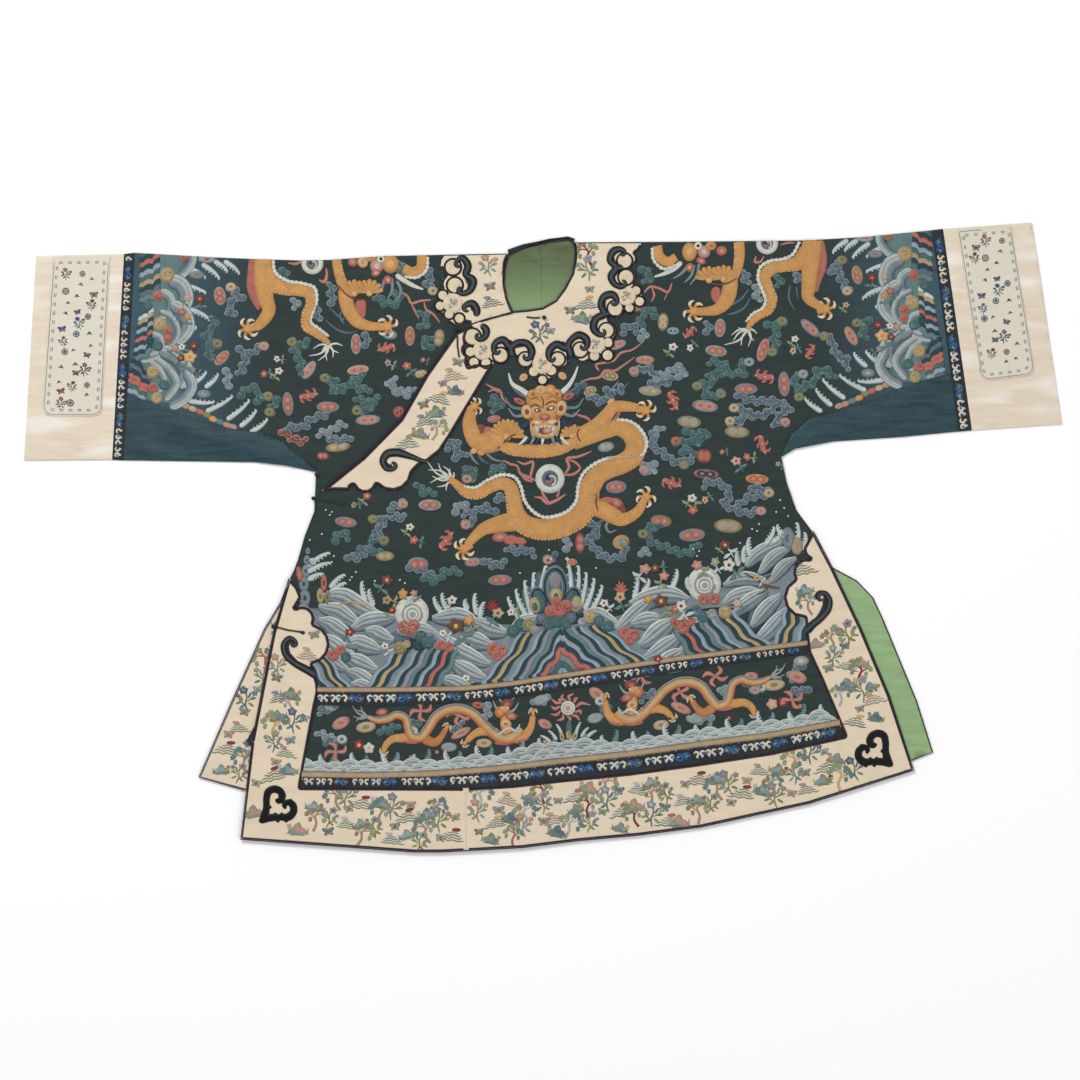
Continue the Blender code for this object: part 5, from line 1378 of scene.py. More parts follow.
# Stripe groups: the two outer paths; the stripes lie evenly from the first to the second.
HEM_STRIPES = (
    (((398, 650), (385, 666), (365, 690)), ((458, 650), (450, 665), (434, 690)), STRIPES),
    (((522, 635), (505, 658), (482, 684)), ((556, 630), (542, 654), (525, 679)), STRIPES[:9]),
    (((601, 625), (623, 644), (650, 664)), ((568, 628), (587, 648), (609, 667)), STRIPES[:9]),
    (((562, 630), (547, 655), (529, 678)), ((562, 648), (554, 662), (541, 676)), STRIPES[9:13]),
    (((562, 630), (583, 650), (604, 668)), ((562, 648), (573, 659), (590, 671)), STRIPES[9:13]),
    (((732, 610), (746, 628), (772, 648)), ((676, 630), (684, 645), (697, 662)), STRIPES),
    (((786, 610), (782, 628), (772, 648)), ((814, 608), (808, 625), (800, 644)), STRIPES[:7]),
    (((324, 650), (334, 668), (352, 692)), ((304, 654), (314, 672), (328, 694)), STRIPES[:7]),
)
# The mountain, one layer over the other.
MOUNTAIN = (
    ((555, 586, 13, 21, 0, "steel"), (539, 601, 9.4, 15, 12, "steel"), (572, 601, 9.4, 15, -12, "steel")),
    ((555, 587, 11.6, 19.4, 0, "deep"), (539, 601, 8, 13.4, 12, "deep"), (572, 601, 8, 13.4, -12, "deep")),
    ((555, 588, 10, 17.6, 0, "blue"), (539.5, 602, 6.4, 11.6, 12, "blue"),
     (571.5, 602, 6.4, 11.6, -12, "blue")),
    ((555, 588, 8.2, 15.6, 0, "mist"), (540, 602, 5, 10, 12, "teal"), (571, 602, 5, 10, -12, "teal")),
    ((555, 588, 6.8, 14, 0, "blue"), (535, 605, 6, 8, 6, "sand"), (576, 604, 6, 8, -6, "sand")),
    ((555, 582, 5, 10, 0, "grey"), (535, 605, 4.6, 6.4, 6, "straw"), (576, 604, 4.6, 6.4, -6, "straw")),
    ((555, 582, 3.6, 8.4, 0, "steel"), (556, 595, 6.4, 7.6, 0, "straw"), (535, 606, 3, 4.4, 6, "teal"),
     (576, 605, 3, 4.4, -6, "grey")),
    ((555, 581, 1.6, 3, 0, "coral"), (556, 595, 4.8, 6, 0, "sand"), (576, 607, 1.4, 1.4, 0, "coral")),
    ((556, 596, 3, 4, 0, "teal"),))
FOAM = (  # root and tip of each foam finger, and which way it hooks
    (539, 610, 545, 566, 1), (536, 613, 533, 573, 1), (532, 616, 524, 581, 1), (527, 618, 515, 590, 1),
    (521, 620, 507, 598, 1), (572, 604, 568, 558, -1), (576, 606, 579, 566, -1), (580, 608, 587, 573, -1),
    (585, 610, 595, 579, -1), (591, 612, 603, 586, -1), (308, 566, 329, 552, 1), (308, 572, 330, 562, 1),
    (308, 580, 323, 573, 1), (330, 588, 344, 574, 1), (330, 594, 345, 582, 1), (366, 602, 361, 582, 1),
    (374, 606, 368, 590, 1), (442, 613, 433, 598, 1), (448, 611, 441, 594, 1), (468, 611, 464, 600, 1),
    (477, 615, 474, 594, 1), (480, 618, 483, 602, 1), (634, 599, 638, 574, -1), (642, 594, 650, 580, -1),
    (672, 588, 678, 570, -1), (690, 590, 686, 578, 1), (739, 566, 736, 552, 1), (744, 563, 744, 546, 1),
    (750, 556, 748, 538, 1), (765, 545, 775, 528, -1), (772, 543, 783, 532, -1), (797, 548, 798, 523, -1),
    (803, 550, 806, 533, -1), (786, 540, 776, 526, 1))
# Cloud heads: column, row, radius and thread.
HEADS = (
    (404, 627, 6.4, "coral"), (414, 625, 6, "coral"), (410, 632, 5, "coral"), (421, 636, 6, "teal"),
    (428, 643, 6, "teal"), (418, 646, 5, "deep"), (400, 648, 6.6, "olive"), (407, 644, 4, "straw"),
    (441, 645, 5.4, "coral"), (449, 647, 5, "coral"), (493, 649, 6.6, "coral"), (501, 651, 6.4, "coral"),
    (497, 656, 5.4, "coral"), (513, 631, 6.4, "teal"), (520, 624, 6, "teal"), (529, 625, 6.4, "olive"),
    (535, 630, 4.4, "lilac"), (541, 619, 5.4, "blue"), (548, 625, 5, "teal"), (571, 618, 5.4, "blue"),
    (566, 624, 5, "teal"), (590, 617, 6.6, "straw"), (599, 621, 6, "teal"), (608, 626, 6, "teal"),
    (582, 622, 4.4, "lilac"), (625, 633, 6.6, "coral"), (633, 635, 6.4, "coral"), (629, 640, 5.4, "coral"),
    (676, 622, 6.2, "coral"), (689, 621, 6.2, "coral"), (683, 628, 6, "coral"), (696, 611, 6.2, "blue"),
    (703, 617, 6, "teal"), (690, 613, 4.4, "deep"), (712, 614, 5, "lilac"), (725, 612, 6.8, "straw"),
    (704, 599, 6, "coral"), (714, 599, 6, "coral"), (333, 655, 6.4, "coral"), (341, 650, 5.2, "coral"),
    (346, 657, 5.4, "teal"), (323, 648, 5, "teal"), (559, 609, 8.4, "coral"), (566, 606, 6.4, "coral"),
    (550, 611, 5.6, "coral"), (556, 602, 5.4, "coral"))
# Sprigs: column, row, turn, size and the flower's thread.
HEM_SPRIGS = (
    (387, 580, 0, 1.5, "brown"), (387, 600, 40, 1.2, "tan"), (403, 594, 90, 1.3, "gold"),
    (414, 593, 0, .9, "rose"), (392, 610, 0, .9, "red"), (385, 646, 0, 1, "white"),
    (350, 632, 0, 1.1, "red"), (466, 678, 0, 1, "white"), (452, 600, 20, 1.2, "white"),
    (456, 626, 0, 2, "brown"), (469, 620, 60, 1.3, "gold"), (443, 633, 30, 1, "white"),
    (498, 613, 0, 1.4, "sand"), (511, 612, 60, 1, "white"), (645, 569, 0, 1.4, "rose"),
    (655, 568, 60, 1.2, "brown"), (664, 576, 10, 1.2, "rose"), (604, 603, 10, 1.1, "white"),
    (620, 597, 50, 1.4, "sand"), (661, 601, 0, 1.7, "brown"), (681, 606, 60, 1.5, "white"),
    (648, 599, 30, 1.1, "gold"), (675, 609, 0, 1, "coral"), (725, 545, 0, 1.4, "brown"),
    (729, 565, 80, 1.6, "white"), (697, 565, 10, 1.3, "rose"), (715, 562, 60, 1.2, "grey"),
    (737, 603, 0, 1.1, "pink"), (658, 659, 0, 1.1, "red"), (757, 578, 20, .9, "sand"),
    (312, 560, 0, .6, "white"))

# Drops of spray: column and row.
DROPS = (
    (334, 556), (332, 562), (352, 577), (356, 572), (350, 580), (400, 580), (405, 583), (375, 581),
    (520, 573), (549, 550), (551, 559), (596, 568), (693, 549), (697, 556), (699, 551), (740, 543),
    (752, 529), (757, 531), (759, 524), (780, 500), (784, 508), (788, 516), (776, 512), (790, 490),
    (326, 510), (330, 515), (332, 512), (310, 540), (322, 534))
# A wave's threads, from its foot to its crest.
WAVE_THREADS = ("navy", "blue", "mist", "blue", "steel", "pale", "blue", "mist", "foam", "steel", "sky",
                "white", "white")


def wave(work, breadth, *crest, threads=WAVE_THREADS, step=3.4):
    """A wave: the crest line moved inward by half its breadth, which is b sin(pi t)^0.45 across,
    in four nested bands, each pale at its crest and dark blue at its foot."""
    line = smooth(squares([(*place, 1) for place in crest]), 2.4)
    t = np.linspace(0, 1, len(line))
    half = breadth * SQUARE / 2 * np.maximum(np.sin(math.pi * np.clip(t, .02, .98)), 0.02) ** 0.45
    rows = np.column_stack([line[:, :2] - along(line)[1] * half[:, None], half])
    work.strip(rows, [(side, 0.30, thread, 1.0) for side, thread in zip(
        (-1, -.8, -.4, -.34, -.14, .16, .22, .36, .6, .65, .74, .88, 1), threads)], step=step)


def stripe_group(work, first, second, threads):
    """Parallel wavy stripes: path k is first + (second - first) k / n, bowed from side to side;
    each has a painted highlight in its middle and painted shade at its edges."""
    first, second = np.array(first, float), np.array(second, float)
    across = np.hypot(*(second - first).T).mean()
    half = across / (len(threads) - 1) * 0.56
    for k, thread in enumerate(threads):
        path = first + (second - first) * k / (len(threads) - 1)
        t = np.linspace(0, 1, 13)
        line = smooth([(*place, 1) for place in path], 1.0)
        line = line[np.linspace(0, len(line) - 1, 13).round().astype(int)]
        line[:, :2] += along(line)[1] * (1.3 * np.sin(t * 12.5))[:, None]
        line[:, 2] = half
        work.strip(squares(line), [(-1, .3, thread, .7), (-.5, .3, thread, 1), (.1, .3, thread, 1.14),
                                   (.6, .3, thread, 1), (1, .3, thread, .7)], step=2.6)


def foam_finger(work, x0, y0, x1, y1, hook, size, thread="foam"):
    """A finger of foam: a tapered line that hooks at its tip, with a row of drops on one side."""
    run = math.hypot(x1 - x0, y1 - y0)
    ux, uy = (x1 - x0) / run, (y1 - y0) / run
    px, py = -uy * hook, ux * hook

    def at(part, out):
        """The place a part of the way along and out squares to the hooked side."""
        return x0 + ux * part * run + px * out, y0 + uy * part * run + py * out

    work.strip(squares([(*at(0, 0), 3.4 * size), (*at(.4, -1.2 * size), 2.7 * size),
                        (*at(.8, -.6 * size), 1.9 * size), (*at(1, 1.6 * size), 1.2 * size),
                        (*at(.97, 3.6 * size), .6 * size)]),
               [(-1, .3, "sea" if hook < 0 else thread, .9), (-.3, .3, thread, 1),
                (.4, .3, thread, 1.08), (1, .3, "sea" if hook > 0 else thread, .9)], step=2.5,
               round_ends=True)
    ovals(work, *((*at(part, 2.6 * size * (1 - 0.3 * part)), .95 * size, .95 * size, 0, thread)
                  for part in np.arange(0.3, 0.95, 0.17)), sides=7)


def shell(work, column, row, radius):
    """A shell: rings of white and grey about a curl."""
    x, y = spot(column, row)
    for i, part in enumerate((1, .84, .68, .54, .4, .26)):
        thread = ("white", "grey")[i % 2]
        work.round(x + i * .25, y - i * .5,
                   [(.6, .34 + .01 * i, thread, 1.04), (1, .3 + .01 * i, thread, .92)],
                   radius * part * SQUARE, sides=26)


def curl_head(work, column, row, radius, thread):
    """A cloud head: a lobed round in its thread, paler at the rim, with a curl."""
    x, y = spot(column, row)
    pale = {"coral": "rose", "straw": "sand", "olive": "sand", "teal": "sea", "blue": "steel",
            "deep": "teal", "lilac": "pale"}[thread]
    curl = {"coral": "red", "straw": "olive"}.get(thread, pale)
    lobe(work, x, y, radius * SQUARE, pale, thread, curl, 1 if column % 2 else -1)


def coral_branch(work, column, row, size, thread):
    """A branch of red coral: forked stubby lines from one root."""
    for lean, high in ((-5, 9), (-2, 12), (2, 11), (5, 8), (-7, 5), (7, 4)):
        lines(work, (thread, (column, row, 1.8 * size),
                     (column + lean * .4 * size, row - high * .5 * size, 1.5 * size),
                     (column + lean * size, row - high * size, .7 * size)), step=2)


def far_water(work):
    """What stands behind the hem's waves: a steel ground, two shells, ovals and the foam."""
    lines(work, ("steel", (304, 652, 44), (350, 652, 42), (420, 654, 34), (500, 652, 28), (560, 650, 24),
                 (620, 644, 28), (700, 628, 34), (760, 618, 40), (812, 606, 44)), step=8,
          round_ends=False, rise=0.12)
    shell(work, 412, 613, 17)
    shell(work, 704, 584, 17)
    for column, row, size in ((304, 612, 6.4), (305, 598, 5.6), (304, 584, 5), (306, 571, 4.2),
                              (307, 560, 3.2), (308, 551, 2.2)):
        ovals(work, (column, row, size, size * 1.5, 0, "steel", "teal", "deep"), rise=0.2)
    ovals(work, (788, 538, 7, 11, 6, "steel", "blue"), (797, 546, 6, 9, 0, "tan", "olive"),
          (324, 583, 3.2, 8.4, 0, "coral", "brown"), (320.5, 596, 3.6, 8, 4, "straw", "olive"),
          (327.5, 597, 3.2, 7, -4, "olive", "teal"), (299.5, 574, 3, 8, 10, "coral", "rose"), rise=0.5)
    ovals(work, (543, 592, 9, 21, 8, "teal"), (568, 592, 9, 21, -8, "teal"), (531, 600, 8, 15, 22, "blue"),
          (583, 600, 8, 15, -22, "blue"), (523, 608, 6, 10, 34, "teal"), (591, 609, 6, 10, -34, "teal"),
          (556, 620, 16, 8, 0, "teal"), (400, 637, 11, 6.5, 0, "blue"), (757, 616, 8, 14, -24, "blue"),
          rise=0.14)
    for x0, y0, x1, y1, hook in FOAM:
        foam_finger(work, x0, y0, x1, y1, hook, 0.9)


def near_water(work):
    """The hem's waves, the mountain over them and the groups of stripes."""
    work.step, work.level = 0.008, 0.14
    for breadth, *crest in HEM_WAVES:
        wave(work, breadth, *crest)
    work.step = 0.0015
    work.level += 0.06
    for layer in MOUNTAIN:
        work.level += 0.02
        ovals(work, *layer, sides=22, rise=0.22)
    for first, second, threads in HEM_STRIPES:
        work.level += 0.03
        stripe_group(work, first, second, threads)
    lines(work, ("teal", (553, 680, 3), (562, 664, 3.4), (574, 678, 3)), rise=0.32)
    lines(work, ("sky", (557, 681, 2.2), (562.5, 670, 2.4), (570, 680, 2.2)), rise=0.34)


def hem_treasures(work):
    """The cloud heads, corals, twigs and sprigs on the hem's water."""
    work.level += 0.05
    for head in HEADS:
        curl_head(work, *head)
    coral_branch(work, 493, 611, 1.0, "red")
    coral_branch(work, 621, 593, 1.0, "coral")
    lines(work, ("brown", (744, 573, .6), (757, 580, .9), (768, 586, 1.1), (780, 588, .7)),
          ("brown", (768, 586, .7), (763, 592, .7), (757, 594, .4)),
          ("brown", (760, 581, .6), (766, 577, .6), (772, 575, .3)),
          ("gold", (366, 606, .7), (352, 602, .9), (340, 604, .6)))
    sprigs(work, HEM_SPRIGS, lambda i, thread: (
        thread, "red" if thread in ("white", "sand", "tan") else "gold_light",
        ("sea", "moss", "foam")[i % 3]))


def hem_waves():
    """The standing water above the hem, a tan stripe at its foot and drops of spray above it."""
    work = Needlework(0.0008)
    far_water(work)
    near_water(work)
    hem_treasures(work)
    work.level += 0.03
    tan_stripe(work, "hem_ribbon_upper", 3.4, 4.2)
    ovals(work, *((column, row, 1, 1, 0, "white") for column, row in DROPS), sides=7)
    return work


# ---------------------------------------------------------------- sleeve waves
# One sleeve end; the other is its mirror image.
CRESCENTS = (
    (7, (192, 250), (192, 262), (185, 272), (172, 281)), (13, (168, 279), (182, 286), (186, 299), (175, 314)),
    (8, (160, 291), (170, 298), (171, 309), (160, 317)), (12, (171, 304), (184, 313), (188, 326), (176, 343)),
    (5, (160, 311), (173, 319), (178, 332), (169, 347), (153, 358), (141, 361)),
    (6, (150, 334), (160, 338), (160, 348), (148, 354)),
    (13, (160, 350), (177, 358), (186, 371), (180, 388)), (7, (155, 359), (168, 369), (176, 382), (165, 400)),
    (9, (186, 372), (192, 386), (185, 398), (170, 407)), (6, (150, 362), (160, 371), (164, 382), (158, 392)))
SLEEVE_STRIPES = (
    (((140, 260), (150, 257), (160, 250)), ((140, 299), (150, 298), (161, 292)),
     ("deep", "coral", "deep", "sky", "teal", "tan", "deep", "blue", "sea")),
    (((139, 318), (146, 317), (154, 310)), ((133, 358), (142, 357), (152, 350)),
     ("foam", "straw", "deep", "sky", "deep", "coral", "deep", "sky", "deep", "sea")),
    (((133, 358), (141, 369), (151, 377)), ((128, 394), (136, 399), (143, 404)),
     ("deep", "blue", "deep", "coral", "coral", "teal", "sky", "blue")))
SLEEVE_FOAM = (
    (186, 267, 206, 277, 1), (202, 264, 220, 278, 1), (214, 261, 228, 271, 1), (224, 261, 240, 273, 1),
    (176, 283, 206, 292, 1), (190, 309, 210, 319, 1), (178, 339, 197, 328, -1), (190, 386, 207, 373, -1),
    (205, 388, 219, 375, -1), (188, 401, 214, 403, -1), (206, 412, 233, 397, -1), (227, 420, 250, 401, -1),
    (240, 427, 257, 411, -1), (250, 433, 268, 420, -1))
SLEEVE_HEADS = (
    (167, 275, 7.6, "straw"), (158, 296, 5.4, "coral"), (148, 306, 5, "teal"), (160, 324, 7, "straw"),
    (168, 331, 5.2, "coral"), (168, 339, 4.6, "coral"), (158, 346, 5.4, "teal"), (150, 341, 4.4, "deep"),
    (153, 372, 6.4, "straw"), (164, 385, 5.4, "teal"), (153, 388, 5.2, "coral"), (157, 398, 5.8, "straw"),
    (184, 257, 4.6, "coral"))
SLEEVE_SPRIGS = (
    (188, 298, 0, .9, "pink"), (200, 299, 40, 1.1, "red"), (182, 312, 0, 1, "coral"),
    (188, 317, 30, .9, "gold"), (175, 348, 0, .9, "rose"), (182, 347, 20, .9, "white"),
    (194, 346, 0, 1.1, "red"), (181, 358, 30, 1, "brown"), (190, 357, 10, 1.6, "gold_light"),
    (193, 370, 90, .9, "steel"))


def sleeve_waves(side):
    """Standing water at a sleeve's end; the left one is the right one's mirror image."""
    work = Needlework(0.0008)
    lines(work, ("sea", (164, 250, 22), (166, 300, 18), (164, 350, 20), (158, 402, 24)), step=6,
          round_ends=False, rise=0.12)
    for x0, y0, x1, y1, hook in SLEEVE_FOAM:
        foam_finger(work, x0, y0, x1, y1, hook, 0.85)
    ovals(work, (207, 259, 9, 4, 0, "grey", "coral"), (197, 275, 8, 4, 0, "steel", "orange"),
          (204, 394, 7, 4.4, 0, "steel", "sand"), sides=12)
    ovals(work, *((column, row, 4.6, 3, -20, thread) for column, row, thread in (
        (186, 406, "rose"), (193, 409, "sand"), (200, 412, "coral"), (207, 415, "olive"),
        (213, 419, "gold"), (220, 422, "sea"), (227, 425, "rose"), (233, 427, "tan"))), sides=9)
    work.step, work.level = 0.008, 0.1
    for breadth, *crest in CRESCENTS:
        threads = ("teal", "blue", "steel", "steel", "mist", "pale", "grey", "foam", "sea")
        work.strip(squares([(*place, breadth * 0.62) for place in crest]),
                   [(s, .3, thread, 1.0) for s, thread in zip(np.linspace(-1, 1, 9), threads)],
                   step=2.4, round_ends=True)
    for first, second, threads in SLEEVE_STRIPES:
        stripe_group(work, first, second, threads)
    for head in SLEEVE_HEADS:
        curl_head(work, *head)
    work.level += 0.02
    sprigs(work, SLEEVE_SPRIGS, lambda i, thread: (
        thread, "red" if thread == "white" else "gold", "sea"), (1, 1))
    if side == "left":
        other = Needlework(0)
        other.mirror(work, *SLEEVE_MIRROR)
        return other
    return work


# ---------------------------------------------------------------- hem border
def border_dragon():
    """A small dragon running to the left half's side: tail, arched body, four legs and a head."""
    work = Needlework(0.006)
    hair(work, 368, 717, ((352, 705), (355, 710), (353, 716), (356, 721), (361, 706)), "grey", 1.1)
    body = ((368, 717, 2.4), (376, 720, 4), (388, 719, 4.6), (397, 715, 4.8), (405, 718, 5),
            (408, 728, 5.2), (411, 736, 5.6), (420, 738, 5.6), (428, 729, 5.6), (437, 716, 5.8),
            (448, 710, 6), (461, 709, 6), (473, 714, 6), (484, 725, 6.2), (494, 734, 6.6),
            (506, 739, 7.4), (516, 735, 7), (522, 729, 5))
    rows = [(c, r, w * 0.86) for c, r, w in body]
    scaled(work, ((420, 738, 5), (404, 738, 4.6), (393, 739, 3.8), (386, 745, 3.2), (384, 750, 2.8)),
           thread="gold", columns=7, crown=.3, rise=.36, pitch=3.4)
    scaled(work, ((424, 739, 5), (436, 742, 4.2), (441, 737, 3.2), (446, 729, 2.6)),
           thread="orange", columns=7, crown=.3, rise=.36, pitch=3.4)
    # painted shade: 1 - 0.1 |side| darkens the body toward its sides
    section = [(s, .4, t, 1.0 - .1 * abs(s)) for s, t in zip(np.linspace(-1, 1, 11), (
        "coral_dark", "coral", "orange", "gold", "gold", "gold_light", "sand", "sand", "tan",
        "brown", "foam"))]
    work.strip(squares(rows), section, step=1.3, crown=.4, paint=scale_stitch(3.4, 0, 1.05, .9))
    scaled(work, ((497, 733, 5), (482, 731, 4.6), (473, 735, 3.4), (467, 741, 2.8)),
           thread="gold", columns=7, crown=.3, rise=.4, pitch=3.4)
    scaled(work, ((508, 737, 6), (522, 737, 5), (530, 729, 3.8), (533, 716, 2.8)),
           thread="gold", columns=7, crown=.3, rise=.4, pitch=3.4)
    ovals(work, (412, 742, 8, 2, 0, "coral"), (503, 743, 9, 2.2, 0, "coral"),
          (523, 740, 6, 1.6, 15, "coral"), rise=.7)
    paw(work, 384, 751, 250, 0.42)
    paw(work, 447, 727, 65, 0.42)
    paw(work, 465, 743, 230, 0.42)
    paw(work, 533, 712, 95, 0.42)
    hair(work, 505, 714, ((493, 700), (496, 696), (515, 697), (519, 702)), "grey", 1.5)
    scaled(work, ((509, 733, 6), (506, 727, 5.2), (505, 721, 4.6), (506, 714, 4)),
           thread="gold", columns=5, crown=.3, rise=.5, pitch=3.4)
    ovals(work, (507, 704, 7, 5.4, 20, "coral_dark", "coral"), (500, 712, 5.6, 6, 0, "orange", "gold"),
          (506, 724, 5.6, 4.6, 0, "gold_light", "coral"), (511, 716, 6.4, 4, -12, "coral", "rose"),
          (505, 709, 4.6, 3.4, 0, "gold"), (517, 716, 2, 1.6, 0, "coral_dark"),
          (502, 708, 1.3, 1.2, 0, "white"), (508, 708, 1.3, 1.2, 0, "white"),
          (502, 708, .6, .6, 0, "ink"), (508, 708, .6, .6, 0, "ink"), rise=.8, sides=12)
    lines(work, ("foam", (498, 735, .9), (510, 728, 1.2), (516, 731, .8), (520, 724, .6)), rise=.8)
    return work


def crests(work, node, gap):
    """Waves along a cloth's upper edge: crests of uneven height lean one way and the other in
    turn, with hooked foam behind them and a pale crest in front."""
    low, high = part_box(node)[0][0] / MM + 6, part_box(node)[1][0] / MM - 26
    across = np.arange(low, high, gap)
    columns = across / SQUARE + FRAME_MIDDLE[0]
    rows = FRAME_MIDDLE[1] - edges_at(node, across)[0] / SQUARE
    swell = 1 + 0.8 * np.exp(-((columns - 560) / 38) ** 2)
    for k, (c, r, s) in enumerate(zip(columns, rows, swell)):
        lean = (-1) ** k
        foam_finger(work, c - 5 * lean, r - 6 - 4 * s, c + 1 * lean, r - 17 - 6 * s + 3 * math.sin(2.1 * k),
                    -lean, 0.9, ("sea", "foam", "steel", "foam")[k % 4])
    for back in (2, 1, 0):
        for k, (c, r, s) in enumerate(zip(columns + 7 * (back % 2), rows, swell)):
            r, rise = r - 4.4 * back * s, 8 + 2 * math.sin(1.7 * k + back)
            crest = [(c - 15, r + 2), (c - 9, r - rise * .72), (c, r - rise), (c + 9, r - rise * .6),
                     (c + 15, r + 3)]
            wave(work, 13, *crest, threads=("deep", "teal", "pale", "teal", "grey", "foam", "teal",
                                            "grey", "foam", "sea", "pale", "foam", "foam"), step=4.6)


# The border's clouds: thread of the ring at the end ("" for none), then the places.
BORDER_CLOUDS = (("", (319, 712), (327, 709), (333, 704)),
                 ("", (318, 732), (326, 736), (336, 738)),
                 ("pale", (326, 742), (334, 743), (342, 739)),
                 ("", (380, 730), (390, 729), (397, 725)),
                 ("pale", (414, 720), (417, 727), (413, 731)),
                 ("", (463, 724), (455, 728), (458, 734)),
                 ("", (483, 704), (488, 709), (486, 718)),
                 ("", (534, 700), (540, 702), (548, 699)),
                 ("pale", (600, 714), (606, 708), (600, 701)),
                 ("", (640, 700), (646, 695), (653, 693)),
                 ("", (720, 688), (726, 690), (724, 697)),
                 ("pale", (746, 683), (753, 688), (761, 687)),
                 ("", (790, 691), (799, 692), (807, 688)),
                 ("", (790, 680), (796, 668), (806, 662)),
                 ("", (690, 716), (698, 720), (710, 716)))
# Its flowers: column, row, size and thread.
BORDER_FLOWERS = ((359, 745, 2, "red"), (369, 748, 2, "white"), (772, 704, 2, "pink"),
                  (783, 702, 2, "red"), (437, 752, .8, "coral"), (470, 757, .8, "red"),
                  (411, 757, .8, "coral"), (446, 762, .8, "red"), (614, 750, .8, "red"),
                  (664, 739, .8, "coral"), (698, 733, .8, "red"), (729, 718, 1, "red"),
                  (560, 700, .7, "gold"), (800, 706, .9, "coral"), (545, 742, .8, "gold"),
                  (576, 744, .8, "rose"))


def border_clouds(work):
    """The clouds and ovals behind the border's dragons."""
    for end, *places in BORDER_CLOUDS:
        dye = "teal" if end else ("sky", "blue", "teal")[places[0][0] % 3]
        chain(work, dye, end, *places)
    work.level += 0.02
    ovals(work, (341, 723, 9.6, 5.6, 28, "rose", "coral"), (366, 727, 10, 5.4, 8, "sand", "olive"),
          (382, 712, 6, 3.6, 10, "coral", "rose"), (331, 707, 8, 4.6, 12, "grey", "mist"),
          (449, 747, 8, 4.6, 0, "grey", "mist"), (484, 743, 8, 4.6, 0, "sand", "olive"),
          (461, 733, 11, 4, 28, "rose", "coral"), (545, 724, 7.4, 4.6, -25, "rose", "coral"),
          (541, 700, 9, 5, 18, "grey", "mist"), (478, 705, 6, 3.4, -10, "coral", "red"),
          (597, 694, 9, 5.6, -35, "rose", "coral"), (595, 718, 8, 5, 15, "grey", "mist"),
          (661, 725, 8, 5, 10, "sand", "olive"), (681, 708, 11, 4.6, -25, "rose", "coral"),
          (695, 719, 9, 4.6, 0, "grey", "mist"), (751, 676, 7, 4, 0, "rose", "coral"),
          (774, 685, 11, 5.6, 8, "sand", "olive"), (797, 677, 10, 6, -18, "rose", "coral"),
          (801, 661, 8, 5, 5, "grey", "pale"), (755, 690, 5.6, 4.6, 0, "grey", "coral"), sides=14)


def border_flames(work):
    """Whorls of flame, and the flaming pearl between the border's dragons."""
    for column, row, turn in ((421, 711, 0), (459, 715, 20), (715, 676, -10), (680, 692, 10),
                              (641, 676, 60), (792, 700, 30), (336, 752, 0)):
        flames(work, *([(column, row, 1), (column + 9 * math.cos(a + turn), row - 7 * math.sin(a + turn),
                                           2.2),
                        (column + 13 * math.cos(a + .5 + turn), row - 11 * math.sin(a + .5 + turn), .5)]
                       for a in (0.2, 1.7, 3.2, 4.6)))
    column, row = 568, 708
    flames(work, *([(column + 8 * math.cos(a), row - 8 * math.sin(a), .8),
                    (column + 13 * math.cos(a + .3), row - 11 * math.sin(a + .3), 1.7),
                    (column + (19 + 5 * math.cos(5 * a)) * math.cos(a + .1),
                     row - 15 * math.sin(a + .1), .4)] for a in np.arange(.1, 6.2, .56)))
    work.round(*spot(column, row), [(.3, .4, "rose", 1), (.45, .36, "white", 1), (.7, .36, "grey", 1),
                                 (.78, .36, "white", 1), (1, .34, "white", .85)], 7.4 * SQUARE)


def border_flowers(work):
    """Round flowers of five petals, each with a light eye."""
    for i, (column, row, size, thread) in enumerate(BORDER_FLOWERS):
        work.round(*spot(column, row), [(.3, .4, "gold_light", 1), (.42, .34, thread, 1),
                                        (1, .3, thread, .84)], 2.6 * size * SQUARE, None, i * 20, 20, 5, .16)


def border_rock(work):
    """The small rock at the middle of the border's crests, and its foam."""
    ovals(work, (569, 729, 3.4, 9, 0, "teal", "blue"), (568.5, 734, 2.6, 6, 0, "straw", "olive"),
          (562, 737, 2.4, 5, 10, "straw", "teal"), (575, 736, 2.4, 5, -10, "straw", "teal"), rise=.34)
    for x0, y0, x1, y1, hook in ((563, 738, 557, 724, -1), (557, 740, 549, 730, -1), (551, 742, 541, 735, -1),
                                 (575, 737, 580, 722, 1), (581, 737, 588, 727, 1), (587, 737, 596, 730, 1)):
        foam_finger(work, x0, y0, x1, y1, hook, .55)


def hem_border():
    """The band above the hem: two dragons after a pearl, clouds, flowers, crests and a rock."""
    work = Needlework(0.004)
    border_clouds(work)
    border_flames(work)
    dragon = border_dragon()
    work.level = 0.08
    work.mirror(dragon, 0, 0, flip=1)
    work.mirror(dragon, *HEM_DRAGON_MIRROR)
    work.level = 0.12
    border_flowers(work)
    crests(work, "hem_ribbon_lower", 25.0)
    border_rock(work)
    work.level += 0.03
    tan_stripe(work, "hem_ribbon_lower", 3.2, 5.2, 8.0)
    return work


# ---------------------------------------------------------------- woven ribbons
def edges_at(node, places, axis=0):
    """The highest and lowest reach of a cloth's outline across each place along an axis, in mm."""
    rim = rim_of(node)
    a, b = rim[:, None], np.roll(rim, -1, 0)[:, None]
    run = b[..., axis] - a[..., axis]
    t = (places[None] - a[..., axis]) / np.where(np.abs(run) < 1e-9, 1e-9, run)
    reach = a[..., 1 - axis] + t * (b[..., 1 - axis] - a[..., 1 - axis])
    hit = (t >= 0) & (t <= 1)
    return np.where(hit, reach, -1e6).max(0), np.where(hit, reach, 1e6).min(0)


